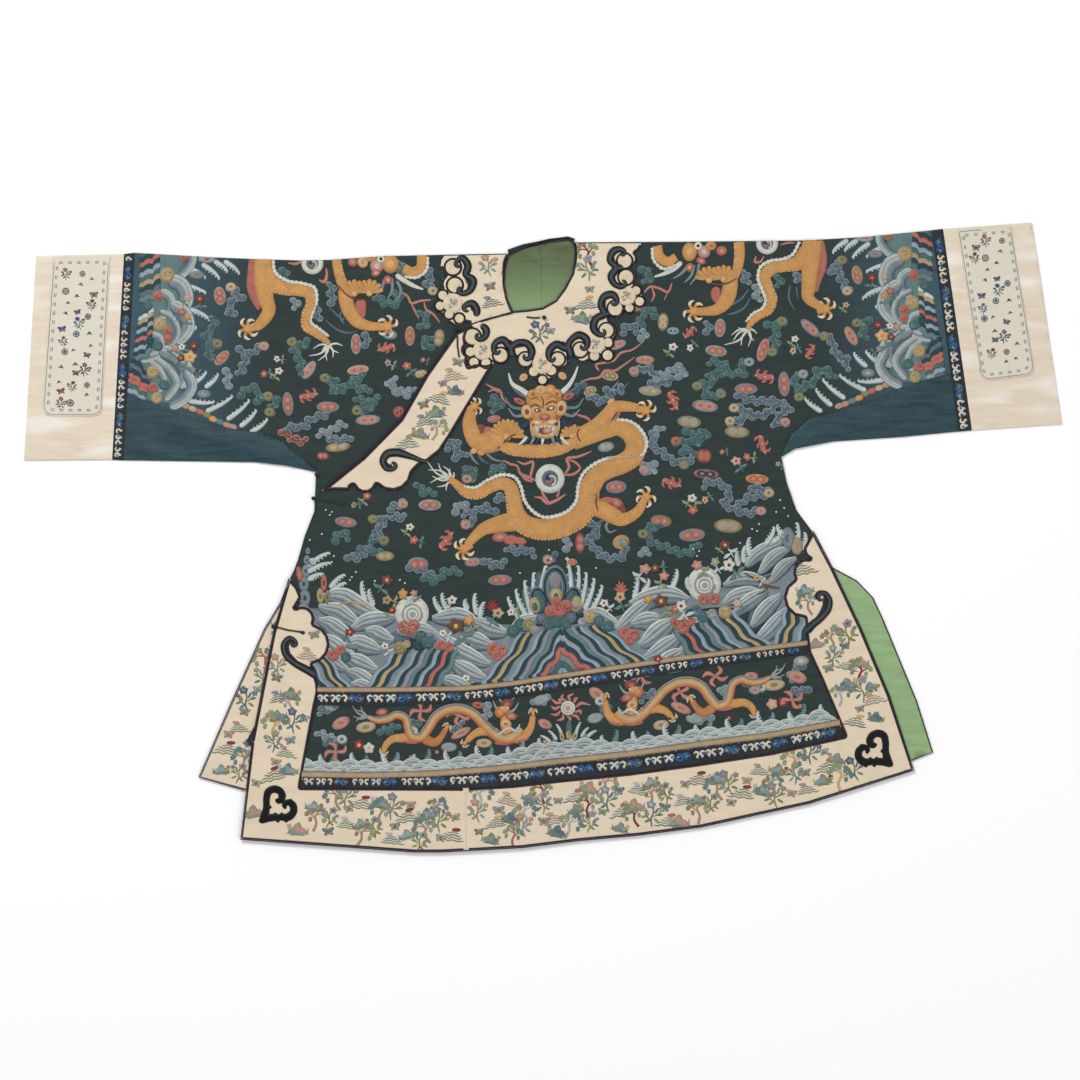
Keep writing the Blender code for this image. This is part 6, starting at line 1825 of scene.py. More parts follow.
def tan_stripe(work, node, lift, half, short=2.0):
    """A flat tan stripe along a ribbon's upper edge. Near the ends, where the ribbon is cut at a
    slant, it carries on in a straight line with the edge's slope there, to short mm from the end."""
    low, high = (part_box(node)[i][0] / MM for i in (0, 1))
    x = np.linspace(low + 2, high - short, 60)
    inner = np.clip(x, low + 16, high - 16)
    ahead, behind = (edges_at(node, inner + side)[0] for side in (6, -6))
    work.strip(np.stack([x, (ahead + behind) / 2 + (ahead - behind) / 12 * (x - inner) + lift,
                         np.full(60, half)], 1),
               [(-1, .3, "brown", .8), (-.6, .34, "tan", 1), (0, .36, "sand", .94), (.6, .34, "tan", .94),
                (1, .3, "brown", .8)], step=8)


def ribbon_work(node, axis):
    """Woven scrolls along a ribbon's middle: five white hooks, then two blue ones on a wave."""
    low, high = (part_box(node)[i][axis] / MM for i in (0, 1))
    run = np.linspace(low + 4, high - 4, 200)
    first, second = edges_at(node, run, axis)
    middle = np.stack([run, (first + second) / 2] if axis == 0 else [(first + second) / 2, run], 1)
    length = np.concatenate([[0], np.cumsum(np.hypot(*np.diff(middle, axis=0).T))])
    angle = np.unwrap(np.arctan2(*np.gradient(middle, axis=0).T[::-1]))
    width = np.interp(length, length, first - second)
    hook, curl = Needlework(0.01), Needlework(0.01)
    hook.strip(np.array([(-3, 2, .4), (-.6, 3.6, 1), (2, 2.2, 1.2), (1.6, -.6, 1.1), (-.4, -1.8, 1),
                         (1.4, -3.8, .5)]) * SQUARE, satin(0), step=1.6, round_ends=True)
    hook.strip(np.array([(-2.4, -.4, .9), (-.6, .6, 1), (.4, .2, .6)]) * SQUARE, satin(1), step=1.6)
    curl.strip(np.array([(-9, -2.6, .6), (-6, 1.6, 1.6), (-2.4, 2.4, 1.7), (0, 0, 1.5), (2.4, -2.4, 1.7),
                         (6, -1.6, 1.6), (9, 2.6, .6)]) * SQUARE, satin(0), step=1.8, round_ends=True)
    for x in (-4.2, 4.2):
        curl.strip(np.array([(x - 2, -1.2 * x / 4, .6), (x, 0, 1), (x + 2, 1.2 * x / 4, .6)]) * SQUARE,
                   satin(1), step=1.8)
    work = Needlework(0.02)
    cycle = 49 * SQUARE
    for motif, offsets, dyes in (
            (hook, (3, 9, 15, 21, 27), (("white", "sky"), ("cream", "navy"), ("white", "cobalt"))),
            (curl, (38,), (("blue", "steel"), ("cobalt", "navy"))),
            (hook, (34.5, 41.5), (("cobalt", "sky"), ("cobalt", "steel")))):
        at = np.sort(np.concatenate([np.arange(o * SQUARE, length[-1] - 4, cycle) for o in offsets]))
        x, y, turn, broad = (np.interp(at, length, column) for column in (*middle.T, angle, width))
        work.scatter(motif, [(a, b, min(w, 20) / 22, math.degrees(t) + 9 * math.sin(2.1 * i), (-1) ** i)
                             for i, (a, b, t, w) in enumerate(zip(x, y, turn, broad))],
                     [dyes[i % len(dyes)] for i in range(len(at))])
    return work


# ---------------------------------------------------------------- black outlines
# Cut scrolls: cloth they lie on, then across, up and half width of each place in mm.
SCROLLS = (
    ("collar_shoulder", (-139, 440, 3), (-130, 447, 5), (-120, 434, 6), (-124, 421, 5), (-112, 412, 6),
     (-118, 394, 5), (-132, 391, 4)),
    ("collar_shoulder", (-125, 370, 4), (-113, 374, 6), (-106, 364, 6), (-107, 354, 5)),
    ("collar_front", (-99, 340, 5), (-91, 332, 6), (-93, 321, 5), (-102, 317, 4)),
    ("collar_front", (-78, 298, 4), (-76, 311, 5), (-64, 316, 6), (-52, 305, 6), (-40, 312, 5),
     (-24, 309, 6), (-18, 296, 6), (-23, 286, 4)),
    ("collar_front", (10, 286, 4), (11, 300, 6), (22, 309, 6), (37, 303, 6), (44, 315, 5), (58, 324, 6),
     (70, 316, 6), (69, 304, 4)),
    ("collar_front", (93, 324, 4), (81, 334, 6), (85, 350, 6), (98, 358, 6), (92, 372, 5), (99, 386, 6),
     (112, 388, 6), (118, 378, 4)),
    ("collar_front", (128, 402, 4), (115, 405, 5), (109, 417, 6), (117, 432, 6), (107, 443, 5),
     (113, 458, 6), (127, 460, 4)),
    ("overlap_band", (-238, 111, 3.4), (-249, 110, 4.4), (-256, 121, 5.4), (-250, 133, 6.4),
     (-234, 136, 6.6), (-212, 130, 4.4), (-186, 122, 3), (-176, 125, 2)),
    ("border_right", (-396, -166, 3), (-405, -161, 4), (-414, -170, 4.6), (-412, -186, 5),
     (-398, -200, 5.4), (-378, -211, 6), (-364, -220, 6), (-358, -228, 2)),
    ("border_left", (441, -92, 3), (450, -89, 4), (457, -97, 4.6), (457, -112, 5), (446, -127, 5.4),
     (430, -140, 6), (418, -153, 5), (414, -164, 2)),
    ("collar_front", (-52, 304, 6), (-50, 294, 6.4), (-49, 286, 7)),
    ("collar_front", (40, 306, 6), (43, 297, 6.4), (45, 288, 7)),
    ("collar_front", (96, 358, 5), (106, 357, 6.4)),
    ("collar_front", (116, 431, 5), (128, 431, 6.4)))
# The right corner's cloud: column, row and half width in squares, and its knobs.
CORNER = (((275.4, 799.6, 1.2), (279.4, 800.6, 2.2), (282.4, 796.6, 2.6), (280.6, 791.4, 2.6),
           (274.6, 788.8, 2.6), (268.8, 791.4, 2.6), (266.8, 798, 2.4), (266.6, 808, 2.4),
           (264.6, 816, 2.8), (260, 822.4, 1.4)),
          ((285.8, 808.6, 1), (284.6, 804.6, 1.8), (288.6, 802, 2.2), (293, 805, 2.6),
           (293.6, 811.4, 2.6), (289, 816.4, 2.8), (280, 817, 2.3), (270, 817.6, 2.6), (260.6, 822, 1.4)))
KNOBS = ((278, 820.6), (286.4, 820.6), (270, 806.8), (275.6, 814), (282, 814), (265.8, 793),
         (270.4, 787.8), (280.8, 788.8), (284.4, 794.4), (295.6, 807.4), (291, 800.4))
# Petals of the cloud collar: cloth, then column, row and radius of each; the last is a heart.
PETALS = (
    ("collar_shoulder", (453, 267.4, 8.2), (455, 285.4, 8), (442.8, 295.4, 5.2), (440, 306, 5),
     (449.2, 314.4, 5), (459.4, 318.6, 5.2), (453, 303.4, 10)),
    ("collar_front", (472.6, 337, 8.4), (470.4, 352, 5.2), (474, 362.4, 5.2), (486, 363, 5.2),
     (500.6, 355.4, 7.6), (483, 350, 10)),
    ("collar_front", (525.4, 359.6, 7.4), (557.8, 359.4, 7.2), (533.8, 371.6, 5.4), (551.4, 370.6, 5.4),
     (542.4, 380, 4.8), (542.4, 364, 10)),
    ("collar_front", (580.2, 350, 7.6), (594.4, 356, 5.4), (607.6, 355.4, 5.6), (608, 342.6, 5.2),
     (606.4, 330.6, 7.6), (595.6, 344, 10)),
    ("collar_front", (615.2, 308.6, 7.8), (629.4, 308, 4.8), (639.6, 301.6, 5), (636, 290.8, 5),
     (626, 277.4, 7.8), (624.6, 261, 7.6), (626.4, 296, 9.6)))
# Cloths edged in black: half width of the edging in mm, and a cloth it meets at a seam.
EDGINGS = (("collar_front", 1.9, "collar_shoulder"), ("collar_shoulder", 1.9, "collar_front"),
           ("overlap_band", 2.5, ""), ("border_right", 2.5, "border_left"),
           ("border_left", 2.5, "border_right"), ("border_underlap", 1.2, ""))


def hooked(rows):
    """A line whose thin ends curl on: four steps of 3.5 mm, each turned 0.8 further the way
    the end already bends."""
    rows = np.array(rows, float)
    for _ in (0, 1):
        rows = rows[::-1]
        if 2.5 < rows[-1, 2] <= 4:
            last, before = rows[-1, :2] - rows[-2, :2], rows[-2, :2] - rows[-3, :2]
            bend = math.copysign(0.8, before[0] * last[1] - before[1] * last[0])
            angle = math.atan2(last[1], last[0]) + bend * np.arange(1, 5)
            curl = rows[-1, :2] + 3.5 * np.cumsum(np.stack([np.cos(angle), np.sin(angle)], 1), 0)
            rows = np.vstack([rows, np.column_stack([curl, (3.4, 2.9, 2.3, 1.6)])])
    return rows


def scroll_line(work, rows, core="steel", rise=LIFT):
    """A bold satin scroll: ink at its sides, painted darker at the very edges as shade, and a dull slate core
    that is a painted sheen along the black satin's middle.
    """
    work.strip(rows, [(-1, rise + .15, "ink", .7), (-.5, rise + .3, "ink", .9), (-.34, rise + .3, core, .24),
                      (0, rise + .35, core, .34), (.34, rise + .3, core, .24), (.5, rise + .3, "ink", .9),
                      (1, rise + .15, "ink", .7)], step=1.6, round_ends=True)


def corner_cloud():
    """The right front corner's cut cloud: two hooked arms from one point, knobbed at their sides."""
    work = Needlework(0.006)
    for x, y in (spot(*place) for place in KNOBS):
        work.round(x, y, [(.6, .9, "ink", 1), (1, .7, "ink", .8)], 1.8 * SQUARE, sides=10)
    for rows in CORNER:
        scroll_line(work, squares(rows) * (1, 1, 1.4), "ink", 0.7)
    return work


def petals(node):
    """The cloud collar's petals: a black disc under each, and all the silk discs over them, so
    that only their outer outline shows; each heart has a small spray."""
    work = Needlework(0.003)
    discs = [disc for cloth, *row in PETALS if cloth == node for disc in row[:-1]]
    hearts = [row[-1] for cloth, *row in PETALS if cloth == node]
    for grow, thread, rows in ((1.3, "ink", discs), (-.7, "cream", discs), (0, "cream", hearts)):
        for column, row, radius in rows:
            work.round(*spot(column, row), [(.8, LIFT + .12, thread, 1.04), (1, LIFT + .1, thread, 1.0)],
                       (radius + grow) * SQUARE, sides=22)
    for k, (column, row, _) in enumerate(hearts):
        x, y = spot(column, row)
        for i, reach in enumerate((7, 10, 6, 9, 5, 8)):
            angle = 0.7 * k + 1.1 * i
            bend = (x + .5 * reach * math.cos(angle) + 1, y + .5 * reach * math.sin(angle), .9)
            tip = (x + reach * math.cos(angle + .3), y + reach * math.sin(angle + .3), .4)
            work.strip(np.array([(x + 2, y + 1, .5), bend, tip]),
                       satin(("sea", "mist", "moss", "sky")[(k + i) % 4], .9, LIFT + .16), step=2)
        for dx, dy, thread in ((5, 4, "rose"), (-4, -6, "coral"), (-3, 5, "lilac")):
            work.round(x + dx, y + dy, [(.4, LIFT + .28, "gold_light", 1), (.5, LIFT + .24, thread, 1),
                                        (1, LIFT + .18, thread, 1)], 2.3, None, 30 * k, 15, 5, .2)
    return work


def edging(work, node, half, seam):
    """A black line just inside a cloth's outline, with a plum thread along its inner side: thinner
    along the floor, and none at a fold, a petal, the neck's binding or a seam."""
    rim = rim_of(node)
    rim = np.vstack([rim, rim[:1]])
    length = np.concatenate([[0], np.cumsum(np.hypot(*np.diff(rim, axis=0).T))])
    at = np.arange(0, length[-1], 2.5)
    line = np.stack([np.interp(at, length, rim[:, k]) for k in (0, 1)], 1)
    way = np.roll(line, -1, 0) - np.roll(line, 1, 0)
    way /= np.maximum(np.linalg.norm(way, axis=1, keepdims=True), 1e-9)
    inward = np.stack([-way[:, 1], way[:, 0]], 1)
    beyond = np.any([within(line - 9 * inward, rim_of(name)) for name in (
        "right_half", "left_half", "overlap_front", "overlap_band")], axis=0)
    apart = np.min([nearest_on(line, rim_of(name))[1] for name in (
        "neck_binding_front", "neck_binding_side", *filter(None, [seam]))], axis=0) > 3
    if "collar" in node:
        apart &= (line[:, 1] < edges_at(node, line[:, 0])[0] - 1) | (line[:, 1] < 420)
        for x, y, radius in (row for cloth, *rows in PETALS if cloth == node for row in squares(rows)):
            apart &= np.hypot(*(line - (x, y)).T) > radius + 1
    halves = np.convolve(np.pad(np.where(beyond, half, 0.6 * half), 2, "wrap"), np.full(5, 0.2), "valid")
    line += 0.8 * halves[:, None] * inward
    for run in np.split(np.arange(len(line)), np.flatnonzero(np.diff(apart.astype(int))) + 1):
        if apart[run[0]] and len(run) > 2:
            if apart.all():
                run = np.append(run, run[:2])
            work.strip(np.column_stack([line[run], halves[run]]),
                       [(-1, .35, "ink", .8), (0, .45, "ink", 1), (.4, .42, "plum", .7),
                        (1, .35, "plum", 1)], step=3)


def neck_line():
    """The neck's binding rolls up into a thick black line behind the opening."""
    work = Needlework(0)
    places = ((503.4, 282, .5), (503.6, 270, 1.1), (504.4, 262, 1.2), (508, 254.6, 1.4), (517, 249.6, 1.9),
              (536, 243, 2.2), (553, 238.6, 2.4), (566.4, 237.4, 1.9), (574, 242.6, 1.4), (576.2, 254, 1.1),
              (575.6, 264, .8), (574, 272, .4))
    work.strip(squares(places), [(-1, 1.3, "ink", .8), (-.5, 1.5, "ink", 1), (.5, 1.5, "ink", 1),
                                 (1, 1.3, "ink", .8)], step=2.4)
    return work


def neck_top(x, y):
    """Top of the neck's bindings less 1.1: the back one lies on layer 1, the others on the collar."""
    behind = share(y - 452 - 0.19 * (x + 57), 0, 6)
    return outer_top(x, y) + 0.2 + behind * (CLOTH + 0.21 - outer_top(x, y))


# ---------------------------------------------------------------- ivory cloths
def spray_motif():
    """A flower spray about 18 squares high: a bowed stem, paired leaves, a flower and a bud."""
    work = Needlework(0.004)

    def strand(*places, thread=1):
        """A thin line through places: across, up and half width, in squares."""
        work.strip(np.array(places) * SQUARE, fine(thread, .85, .28), step=3.0, round_ends=True)

    strand((-1, -9, .5), (.6, -3, .6), (-.6, 3, .5), (1.4, 7, .4))
    strand((.4, -4, .4), (4, -1, .5), (6, 2.6, .3))
    strand((-.4, -1, .4), (-4, 1, .5), (-6.4, 4.4, .3), thread=2)
    for x, y, turn, thread in ((2.8, -4.4, -30, 1), (-3.6, -3.6, 215, 2), (3.8, 1.6, 60, 2),
                               (-2.8, 3.6, 120, 1), (-5.2, 1, 170, 1), (5.6, -1.6, -20, 2)):
        work.round(x * SQUARE, y * SQUARE, [(.5, .26, thread, 1), (1, .2, thread, .9)],
                   2.6 * SQUARE, .95 * SQUARE, turn, 8)
    for x, y, size in ((1.8, 7.6, 3.4), (-6.6, 5, 2.1), (6.2, 3.6, 1.7)):
        work.round(x * SQUARE, y * SQUARE, [(.3, .34, 3, 1), (.42, .28, 0, 1), (1, .22, 0, .94)],
                   size * SQUARE, size * SQUARE * .86, 18, 15, 5, .2)
    return work


def butterfly_motif():
    """A butterfly: two wings on each side, a body and two feelers."""
    work = Needlework(0.004)
    for x, y, across, up, turn, thread in ((3.2, 1.6, 3.4, 2.1, 35, 0), (-3.2, 1.6, 3.4, 2.1, 145, 0),
                                           (2.6, -2, 2.4, 1.6, -40, 1), (-2.6, -2, 2.4, 1.6, 220, 1)):
        work.round(x * SQUARE, y * SQUARE, [(.35, .3, 3, 1), (.5, .26, thread, 1), (1, .2, thread, .85)],
                   across * SQUARE, up * SQUARE, turn, 10)
    for places in (((0, -3, .5), (0, 0, .8), (0, 2.6, .4)), ((0, 2, .25), (1.6, 4.6, .2)),
                   ((0, 2, .25), (-1.6, 4.6, .2))):
        work.strip(np.array(places) * SQUARE, fine(2, .85, .28), step=2.6)
    return work


def rock_motif():
    """A garden rock on a strip of grass: humps in cool threads over thin ground lines."""
    work = Needlework(0.004)
    for y, half, thread in ((-4.4, 9, 2), (-5.6, 6, 1)):
        work.strip(np.array([(-half, y, .5), (0, y + .7, .8), (half, y - .3, .4)]) * SQUARE,
                   fine(thread, .9, .26), step=4, round_ends=True)
    for x, y, across, up, thread in ((0, -.6, 3.2, 4.6, 0), (-3.6, -2.2, 2.8, 2.8, 1), (3.6, -2.4, 3, 2.4, 0),
                                     (.6, 1.8, 1.7, 2.4, 1)):
        work.round(x * SQUARE, y * SQUARE, [(.5, .26, thread, 1.1), (1, .2, thread, .8)],
                   across * SQUARE, up * SQUARE, 0, 12, 5, .12)
    for x, lean in ((-6, -1.6), (-7, -.4), (6.4, 1.8), (7.6, .6)):
        work.strip(np.array([(x, -4.4, .35), (x + lean, .4, .15)]) * SQUARE, fine(2, .9, .26), step=3)
    work.round(-6.6 * SQUARE, 1.4 * SQUARE, [(.4, .3, 3, 1), (1, .24, 3, .9)], 1.7 * SQUARE,
               1.5 * SQUARE, 0, 15, 5, .2)
    return work


def willow_motif():
    """A small tree: a bent trunk and drooping sprays of fine leaves."""
    work = Needlework(0.004)
    for places in (((-3, -9, 1), (-.6, -3, .9), (-1.4, 2, .7), (2, 7, .4)),
                   ((-1, 0, .6), (-5, 4, .4), (-8, 5, .2)),
                   ((-1, 3, .5), (4, 4, .4), (7, 3, .2))):
        work.strip(np.array(places) * SQUARE, fine(3, .85, .24), step=3.0)
    for x, y, size in ((2, 8, 3), (-7, 4.4, 2.6), (6.6, 2.6, 2.6), (-3.4, 6, 2.4), (4.8, 6.4, 2.2),
                       (-5, 0, 2), (5, -1, 2)):
        work.round(x * SQUARE, y * SQUARE,
                   [(.5, .26, 1 if x > 0 else 2, 1.05), (1, .2, 1 if x > 0 else 2, .92)],
                   size * SQUARE, size * SQUARE * .7, 20 * x, 12, 6, .2)
    return work


def water_motif():
    """Wavy lines of water and grass, two long and two short, and a drifting cloud."""
    work = Needlework(0.004)
    for k, (y, thread) in enumerate(((-3.4, 2), (-1.6, 0), (.2, 1), (2, 0))):
        x = np.linspace(-10 + k * 2.4, 9 - k * 1.3, 8)
        work.strip(np.stack([x, y + .6 * np.sin(x), np.full(8, .45)], 1) * SQUARE, fine(thread, .9, .26),
                   step=3.0, round_ends=True)
    work.round(3 * SQUARE, 4 * SQUARE, [(.5, .26, 3, 1), (1, .2, 3, .9)], 3 * SQUARE, 1.3 * SQUARE, 5, 12)
    return work


# Threads of each ivory motif: flower or wing, leaf, second leaf, heart.
IVORY_DYES = (("steel", "moss", "sea", "gold_light"), ("rose", "moss", "mist", "sand"),
              ("sky", "moss", "sea", "coral"), ("mist", "sea", "moss", "pale"),
              ("mist", "olive", "moss", "red"), ("steel", "moss", "olive", "rose"),
              ("moss", "sea", "mist", "tan"), ("blue", "sea", "olive", "lilac"))
# The same for the cuffs' motifs, with a fifth thread for the medallions.
CUFF_DYES = tuple((*row, "foam") for row in (
    ("cobalt", "sea", "steel", "plum"), ("plum", "blue", "leaf", "cobalt"), ("red", "sea", "blue", "sand"),
    ("brown", "steel", "leaf", "red"), ("blue", "navy", "sea", "coral"), ("sea", "cobalt", "olive", "plum")))


def spread(node, gap, margin, clear=()):
    """Places for small motifs: a grid turned 20 degrees, kept margin mm inside a cloth's outline
    and clear of the scrolls; row k is shifted by 0.38 k gaps."""
    rim = rim_of(node)
    low, high = rim.min(0), rim.max(0)
    reach = int(np.hypot(*(high - low)) / gap) + 2
    i, j = (g.ravel() for g in np.meshgrid(np.arange(-reach, reach), np.arange(-reach, reach)))
    across, up = gap * (i + 0.38 * j), gap * 0.86 * j
    turn = math.radians(20)
    points = (low + high) / 2 + np.stack([across * math.cos(turn) - up * math.sin(turn),
                                          across * math.sin(turn) + up * math.cos(turn)], 1)
    points += 0.16 * gap * np.stack([np.sin(3.1 * i + 1.7 * j), np.cos(2.3 * i - 1.9 * j)], 1)
    inside = np.all((points > low) & (points < high), axis=1)
    points, i, j = points[inside], i[inside], j[inside]
    kept = within(points, rim) & (nearest_on(points, rim)[1] > margin)
    for line in clear:
        away = np.linalg.norm(points[:, None] - np.array(line)[None, :, :2], axis=2).min(1)
        kept &= away > margin + 7
    return points[kept], (2 * i + 3 * j)[kept]


def small_work(node, motifs, dyes, gap, margin, sizes, clear=()):
    """Scatters small motifs in turn over a cloth, each kind at its own size."""
    work = Needlework(0.004)
    points, marks = spread(node, gap, margin, clear)
    for k, motif in enumerate(motifs):
        mine = marks % len(motifs) == k
        if mine.any():
            places = [(x, y, sizes[k] * (0.9 + 0.1 * math.sin(7 * m)), 14 * math.sin(5 * m + x),
                       (-1) ** int(m))
                      for (x, y), m in zip(points[mine], marks[mine])]
            work.scatter(motif, places, [dyes[int(m * 5 + k) % len(dyes)] for m in marks[mine]])
    return work


def cuff_work(node):
    """A cuff panel's fine motifs, its thin outline and the paired dashes inside it."""
    ring = Needlework(0.004)
    ring.round(0, 0, [(.3, .24, 3, 1), (.34, .24, 1, 1), (.72, .22, 4, 1), (.76, .24, 0, 1), (1, .2, 0, .9)],
               4.6 * SQUARE, sides=16)
    for angle in np.arange(0, 360, 90):
        x, y = 2.4 * SQUARE * math.cos(math.radians(angle)), 2.4 * SQUARE * math.sin(math.radians(angle))
        ring.round(x, y, [(.5, .28, 2, 1), (1, .25, 2, .9)], 1.3 * SQUARE, .6 * SQUARE, angle, 8)
    bud = Needlework(0.004)
    bud.round(0, 0, [(.4, .28, 3, 1), (.5, .25, 0, 1), (1, .2, 0, .9)], 1.9 * SQUARE, None, 0, 15, 5, .25)
    for turn in (40, 160):
        bud.round(2.6 * SQUARE * math.cos(math.radians(turn)), -2.6 * SQUARE * math.sin(math.radians(turn)),
                  [(.5, .24, 1, 1), (1, .2, 1, .9)], 1.6 * SQUARE, .6 * SQUARE, -turn, 8)
    work = small_work(node, (ring, butterfly_motif(), bud, spray_motif(), bud), CUFF_DYES, 22, 17,
                      (.8, .72, .8, .72, .8))
    rim = rim_of(node)
    middle = (rim.min(0) + rim.max(0)) / 2
    half = (rim.max(0) - rim.min(0)) / 2
    for inset, dash in ((2.4, 0), (9, 9 * SQUARE)):
        loop = middle + (rim - middle) * (1 - inset / half)
        loop = np.vstack([loop, loop[:1]])
        length = np.concatenate([[0], np.cumsum(np.hypot(*np.diff(loop, axis=0).T))])
        if not dash:
            at = np.arange(0, length[-1], 5)
            line = np.column_stack([np.interp(at, length, loop[:, 0]), np.interp(at, length, loop[:, 1]),
                                    np.full(len(at), .55)])
            line = line[line[:, 1] < rim[:, 1].max() - 6]
            work.strip(line[np.argsort(np.arctan2(line[:, 0] - middle[0], middle[1] - line[:, 1]))],
                       fine("grey", .9, .2), step=4)
            continue
        at = np.arange(4, length[-1], dash)
        x, y = (np.interp(at, length, loop[:, k]) for k in (0, 1))
        ahead_x, ahead_y = (np.interp(at + 1, length, loop[:, k]) for k in (0, 1))
        pair = Needlework(0.004)
        for shift in (-1.2, 1.2):
            pair.strip(np.array([(-3, shift, .55), (3, shift, .55)]), satin("steel", .9, .2), step=3)
        work.scatter(pair, [(a, b, 1, math.degrees(math.atan2(d - b, c - a)), 1)
                            for a, b, c, d in zip(x, y, ahead_x, ahead_y)])
    return work


# ---------------------------------------------------------------- needlework operators
FINISHES, PANEL_CLOTHS, NEEDLEWORK = {}, {}, {}   # by key, by node, and lists by the cloth under it
HALVES = {"right": "right_half", "left": "left_half"}
FIELD = {"right": (["right_half"], inner_top), "left": (["overlap_front", "left_half"], outer_top)}


def lay(panel, work, name, nodes, top, key, slot, above=1.5, leave=()):
    """Sews needlework to its cloths in a finish, and notes the cloth that it goes with."""
    piece = sew(work, name, nodes, top, finish_of(key), above, leave)
    NEEDLEWORK.setdefault(panel, []).append(piece)


def above(top, lift):
    """A cloth's top with more cloth under it: top + lift."""
    return lambda x, y: top(x, y) + lift


class ROBE_OT_hem_border(bpy.types.Operator):
    """Work the band of two dragons between the hem's ribbons"""

    bl_idname = "robe.hem_border"
    bl_label = "Hem Border"

    def execute(self, context):
        lay("left_half", hem_border(), "hem_border", *FIELD["left"], "stitch", "ground_silk",
            leave=("hem_ribbon_upper", "hem_ribbon_lower", "border_left", "border_right"))
        return {"FINISHED"}


class ROBE_OT_ribbon_work(bpy.types.Operator):
    """Work the scrolls on the hem's and the sleeves' ribbons"""

    bl_idname = "robe.ribbon_work"
    bl_label = "Ribbon Scrolls"

    def execute(self, context):
        for node, axis in (("hem_ribbon_upper", 0), ("hem_ribbon_lower", 0),
                           ("sleeve_ribbon_right", 1), ("sleeve_ribbon_left", 1)):
            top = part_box(node)[1][2] / MM
            cloth = above(outer_top, LIFT) if axis == 0 else lambda x, y, top=top: top + 0 * x
            lay(node, ribbon_work(node, axis), node + "_scrolls", [node], cloth, "stitch", "ribbon")
        return {"FINISHED"}


class ROBE_OT_sleeve_waves(bpy.types.Operator):
    """Work the standing water at the sleeves' ends"""

    bl_idname = "robe.sleeve_waves"
    bl_label = "Sleeve Waves"

    def execute(self, context):
        for side, panel in HALVES.items():
            lay(panel, sleeve_waves(side), "sleeve_waves_" + side, *FIELD[side], "stitch",
                "ground_silk", leave=("sleeve_ribbon_" + side, "gore_" + side))
        return {"FINISHED"}


def ivory_top(node):
    """Top of an ivory cloth: one layer over the cloth it lies on."""
    return {"collar_shoulder": above(inner_top, LIFT), "border_underlap": inner_top}.get(
        node, above(outer_top, LIFT))


class ROBE_OT_ivory_work(bpy.types.Operator):
    """Work generic sprays, butterflies, rocks and small trees on the ivory cloths"""

    bl_idname = "robe.ivory_work"
    bl_label = "Ivory Sprays"

    def execute(self, context):
        motifs = spray_motif(), rock_motif(), butterfly_motif(), willow_motif(), water_motif()
        for node, *_ in EDGINGS:
            clear = [rows for cloth, *rows in SCROLLS if cloth == node]
            if node == "border_right":
                clear += [squares(rows) for rows in CORNER]
            if node == "border_left":
                clear += [squares(rows) * (-1, 1, 1) + (*CORNER_MIRROR, 0) for rows in CORNER]
            clear += [squares(rows) for cloth, *rows in PETALS if cloth == node]
            if node == "collar_front":
                clear += [squares([(530, 318.6, 1), (542, 318.6, 1)])]
            work = small_work(node, motifs, IVORY_DYES, 27, 13, (1.4, 1.3, 1, 1.5, 1.5), clear)
            lay(node, work, node + "_sprays", [node], ivory_top(node), "paper", "ivory_silk", 0)
        return {"FINISHED"}


class ROBE_OT_cuff_work(bpy.types.Operator):
    """Work the cuff panels' medallions, butterflies and dashed outline"""

    bl_idname = "robe.cuff_work"
    bl_label = "Cuff Motifs"

    def execute(self, context):
        for side in ("right", "left"):
            node = "cuff_panel_" + side
            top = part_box(node)[1][2] / MM
            lay(node, cuff_work(node), node + "_motifs", [node], lambda x, y, top=top: top + 0 * x,
                "paper", "ivory_silk", 0)
        return {"FINISHED"}


class ROBE_OT_black_work(bpy.types.Operator):
    """Edge the ivory cloths in black and lay the bold scrolls"""

    bl_idname = "robe.black_work"
    bl_label = "Black Outlines"

    def execute(self, context):
        for node, half, seam in EDGINGS:
            work = Needlework(0.01)
            edging(work, node, half, seam)
            for cloth, *rows in SCROLLS:
                if cloth == node:
                    scroll_line(work, hooked(rows))
            if node == "collar_front":
                lines(work, ("ink", (513, 313, .6), (497, 317, .6), (480, 321.8, .7)), rise=LIFT + .1)
            lay(node, work, node + "_black_work", [node], ivory_top(node), "stitch", "black_satin", 0)
            if "collar" in node:
                lay(node, petals(node), node + "_petals",
                    [node, "right_half", "left_half", "overlap_band", "overlap_front", "collar_front"],
                    above(ivory_top(node), -LIFT), "paper", "ivory_silk", 0)
        for side, cloth in (("right", "border_right"), ("left", "border_left")):
            work = corner_cloud()
            if side == "left":
                work = Needlework(0)
                work.mirror(corner_cloud(), *CORNER_MIRROR, 0.05, 558)
            piece = sew(work, "corner_cloud_" + side + "_cloth", [cloth], ivory_top(cloth),
                        finish_of("stitch"), above=0)
            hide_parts("corner_cloud_" + side)
            keep(piece)
        lay("left_half", neck_line(), "neck_line",
            ["collar_front", "collar_shoulder", "neck_binding_back", "neck_binding_side",
             "neck_binding_front", "lining_left", "lining_right"], neck_top, "stitch", "piping", -1)
        return {"FINISHED"}


class ROBE_OT_field(bpy.types.Operator):
    """Scatter the curling clouds, bats and sprigs over the field"""

    bl_idname = "robe.field"
    bl_label = "Clouds and Sprigs"

    def execute(self, context):
        for side, panel in HALVES.items():
            lay(panel, field_work(side), "field_clouds_" + side, *FIELD[side], "stitch",
                "ground_silk")
        return {"FINISHED"}


class ROBE_OT_hem_waves(bpy.types.Operator):
    """Work the standing water, mountain and waves above the hem"""

    bl_idname = "robe.hem_waves"
    bl_label = "Hem Waves"

    def execute(self, context):
        lay("left_half", hem_waves(), "hem_waves", *FIELD["left"], "stitch", "ground_silk",
            leave=("hem_ribbon_upper", "border_left", "border_right"))
        return {"FINISHED"}


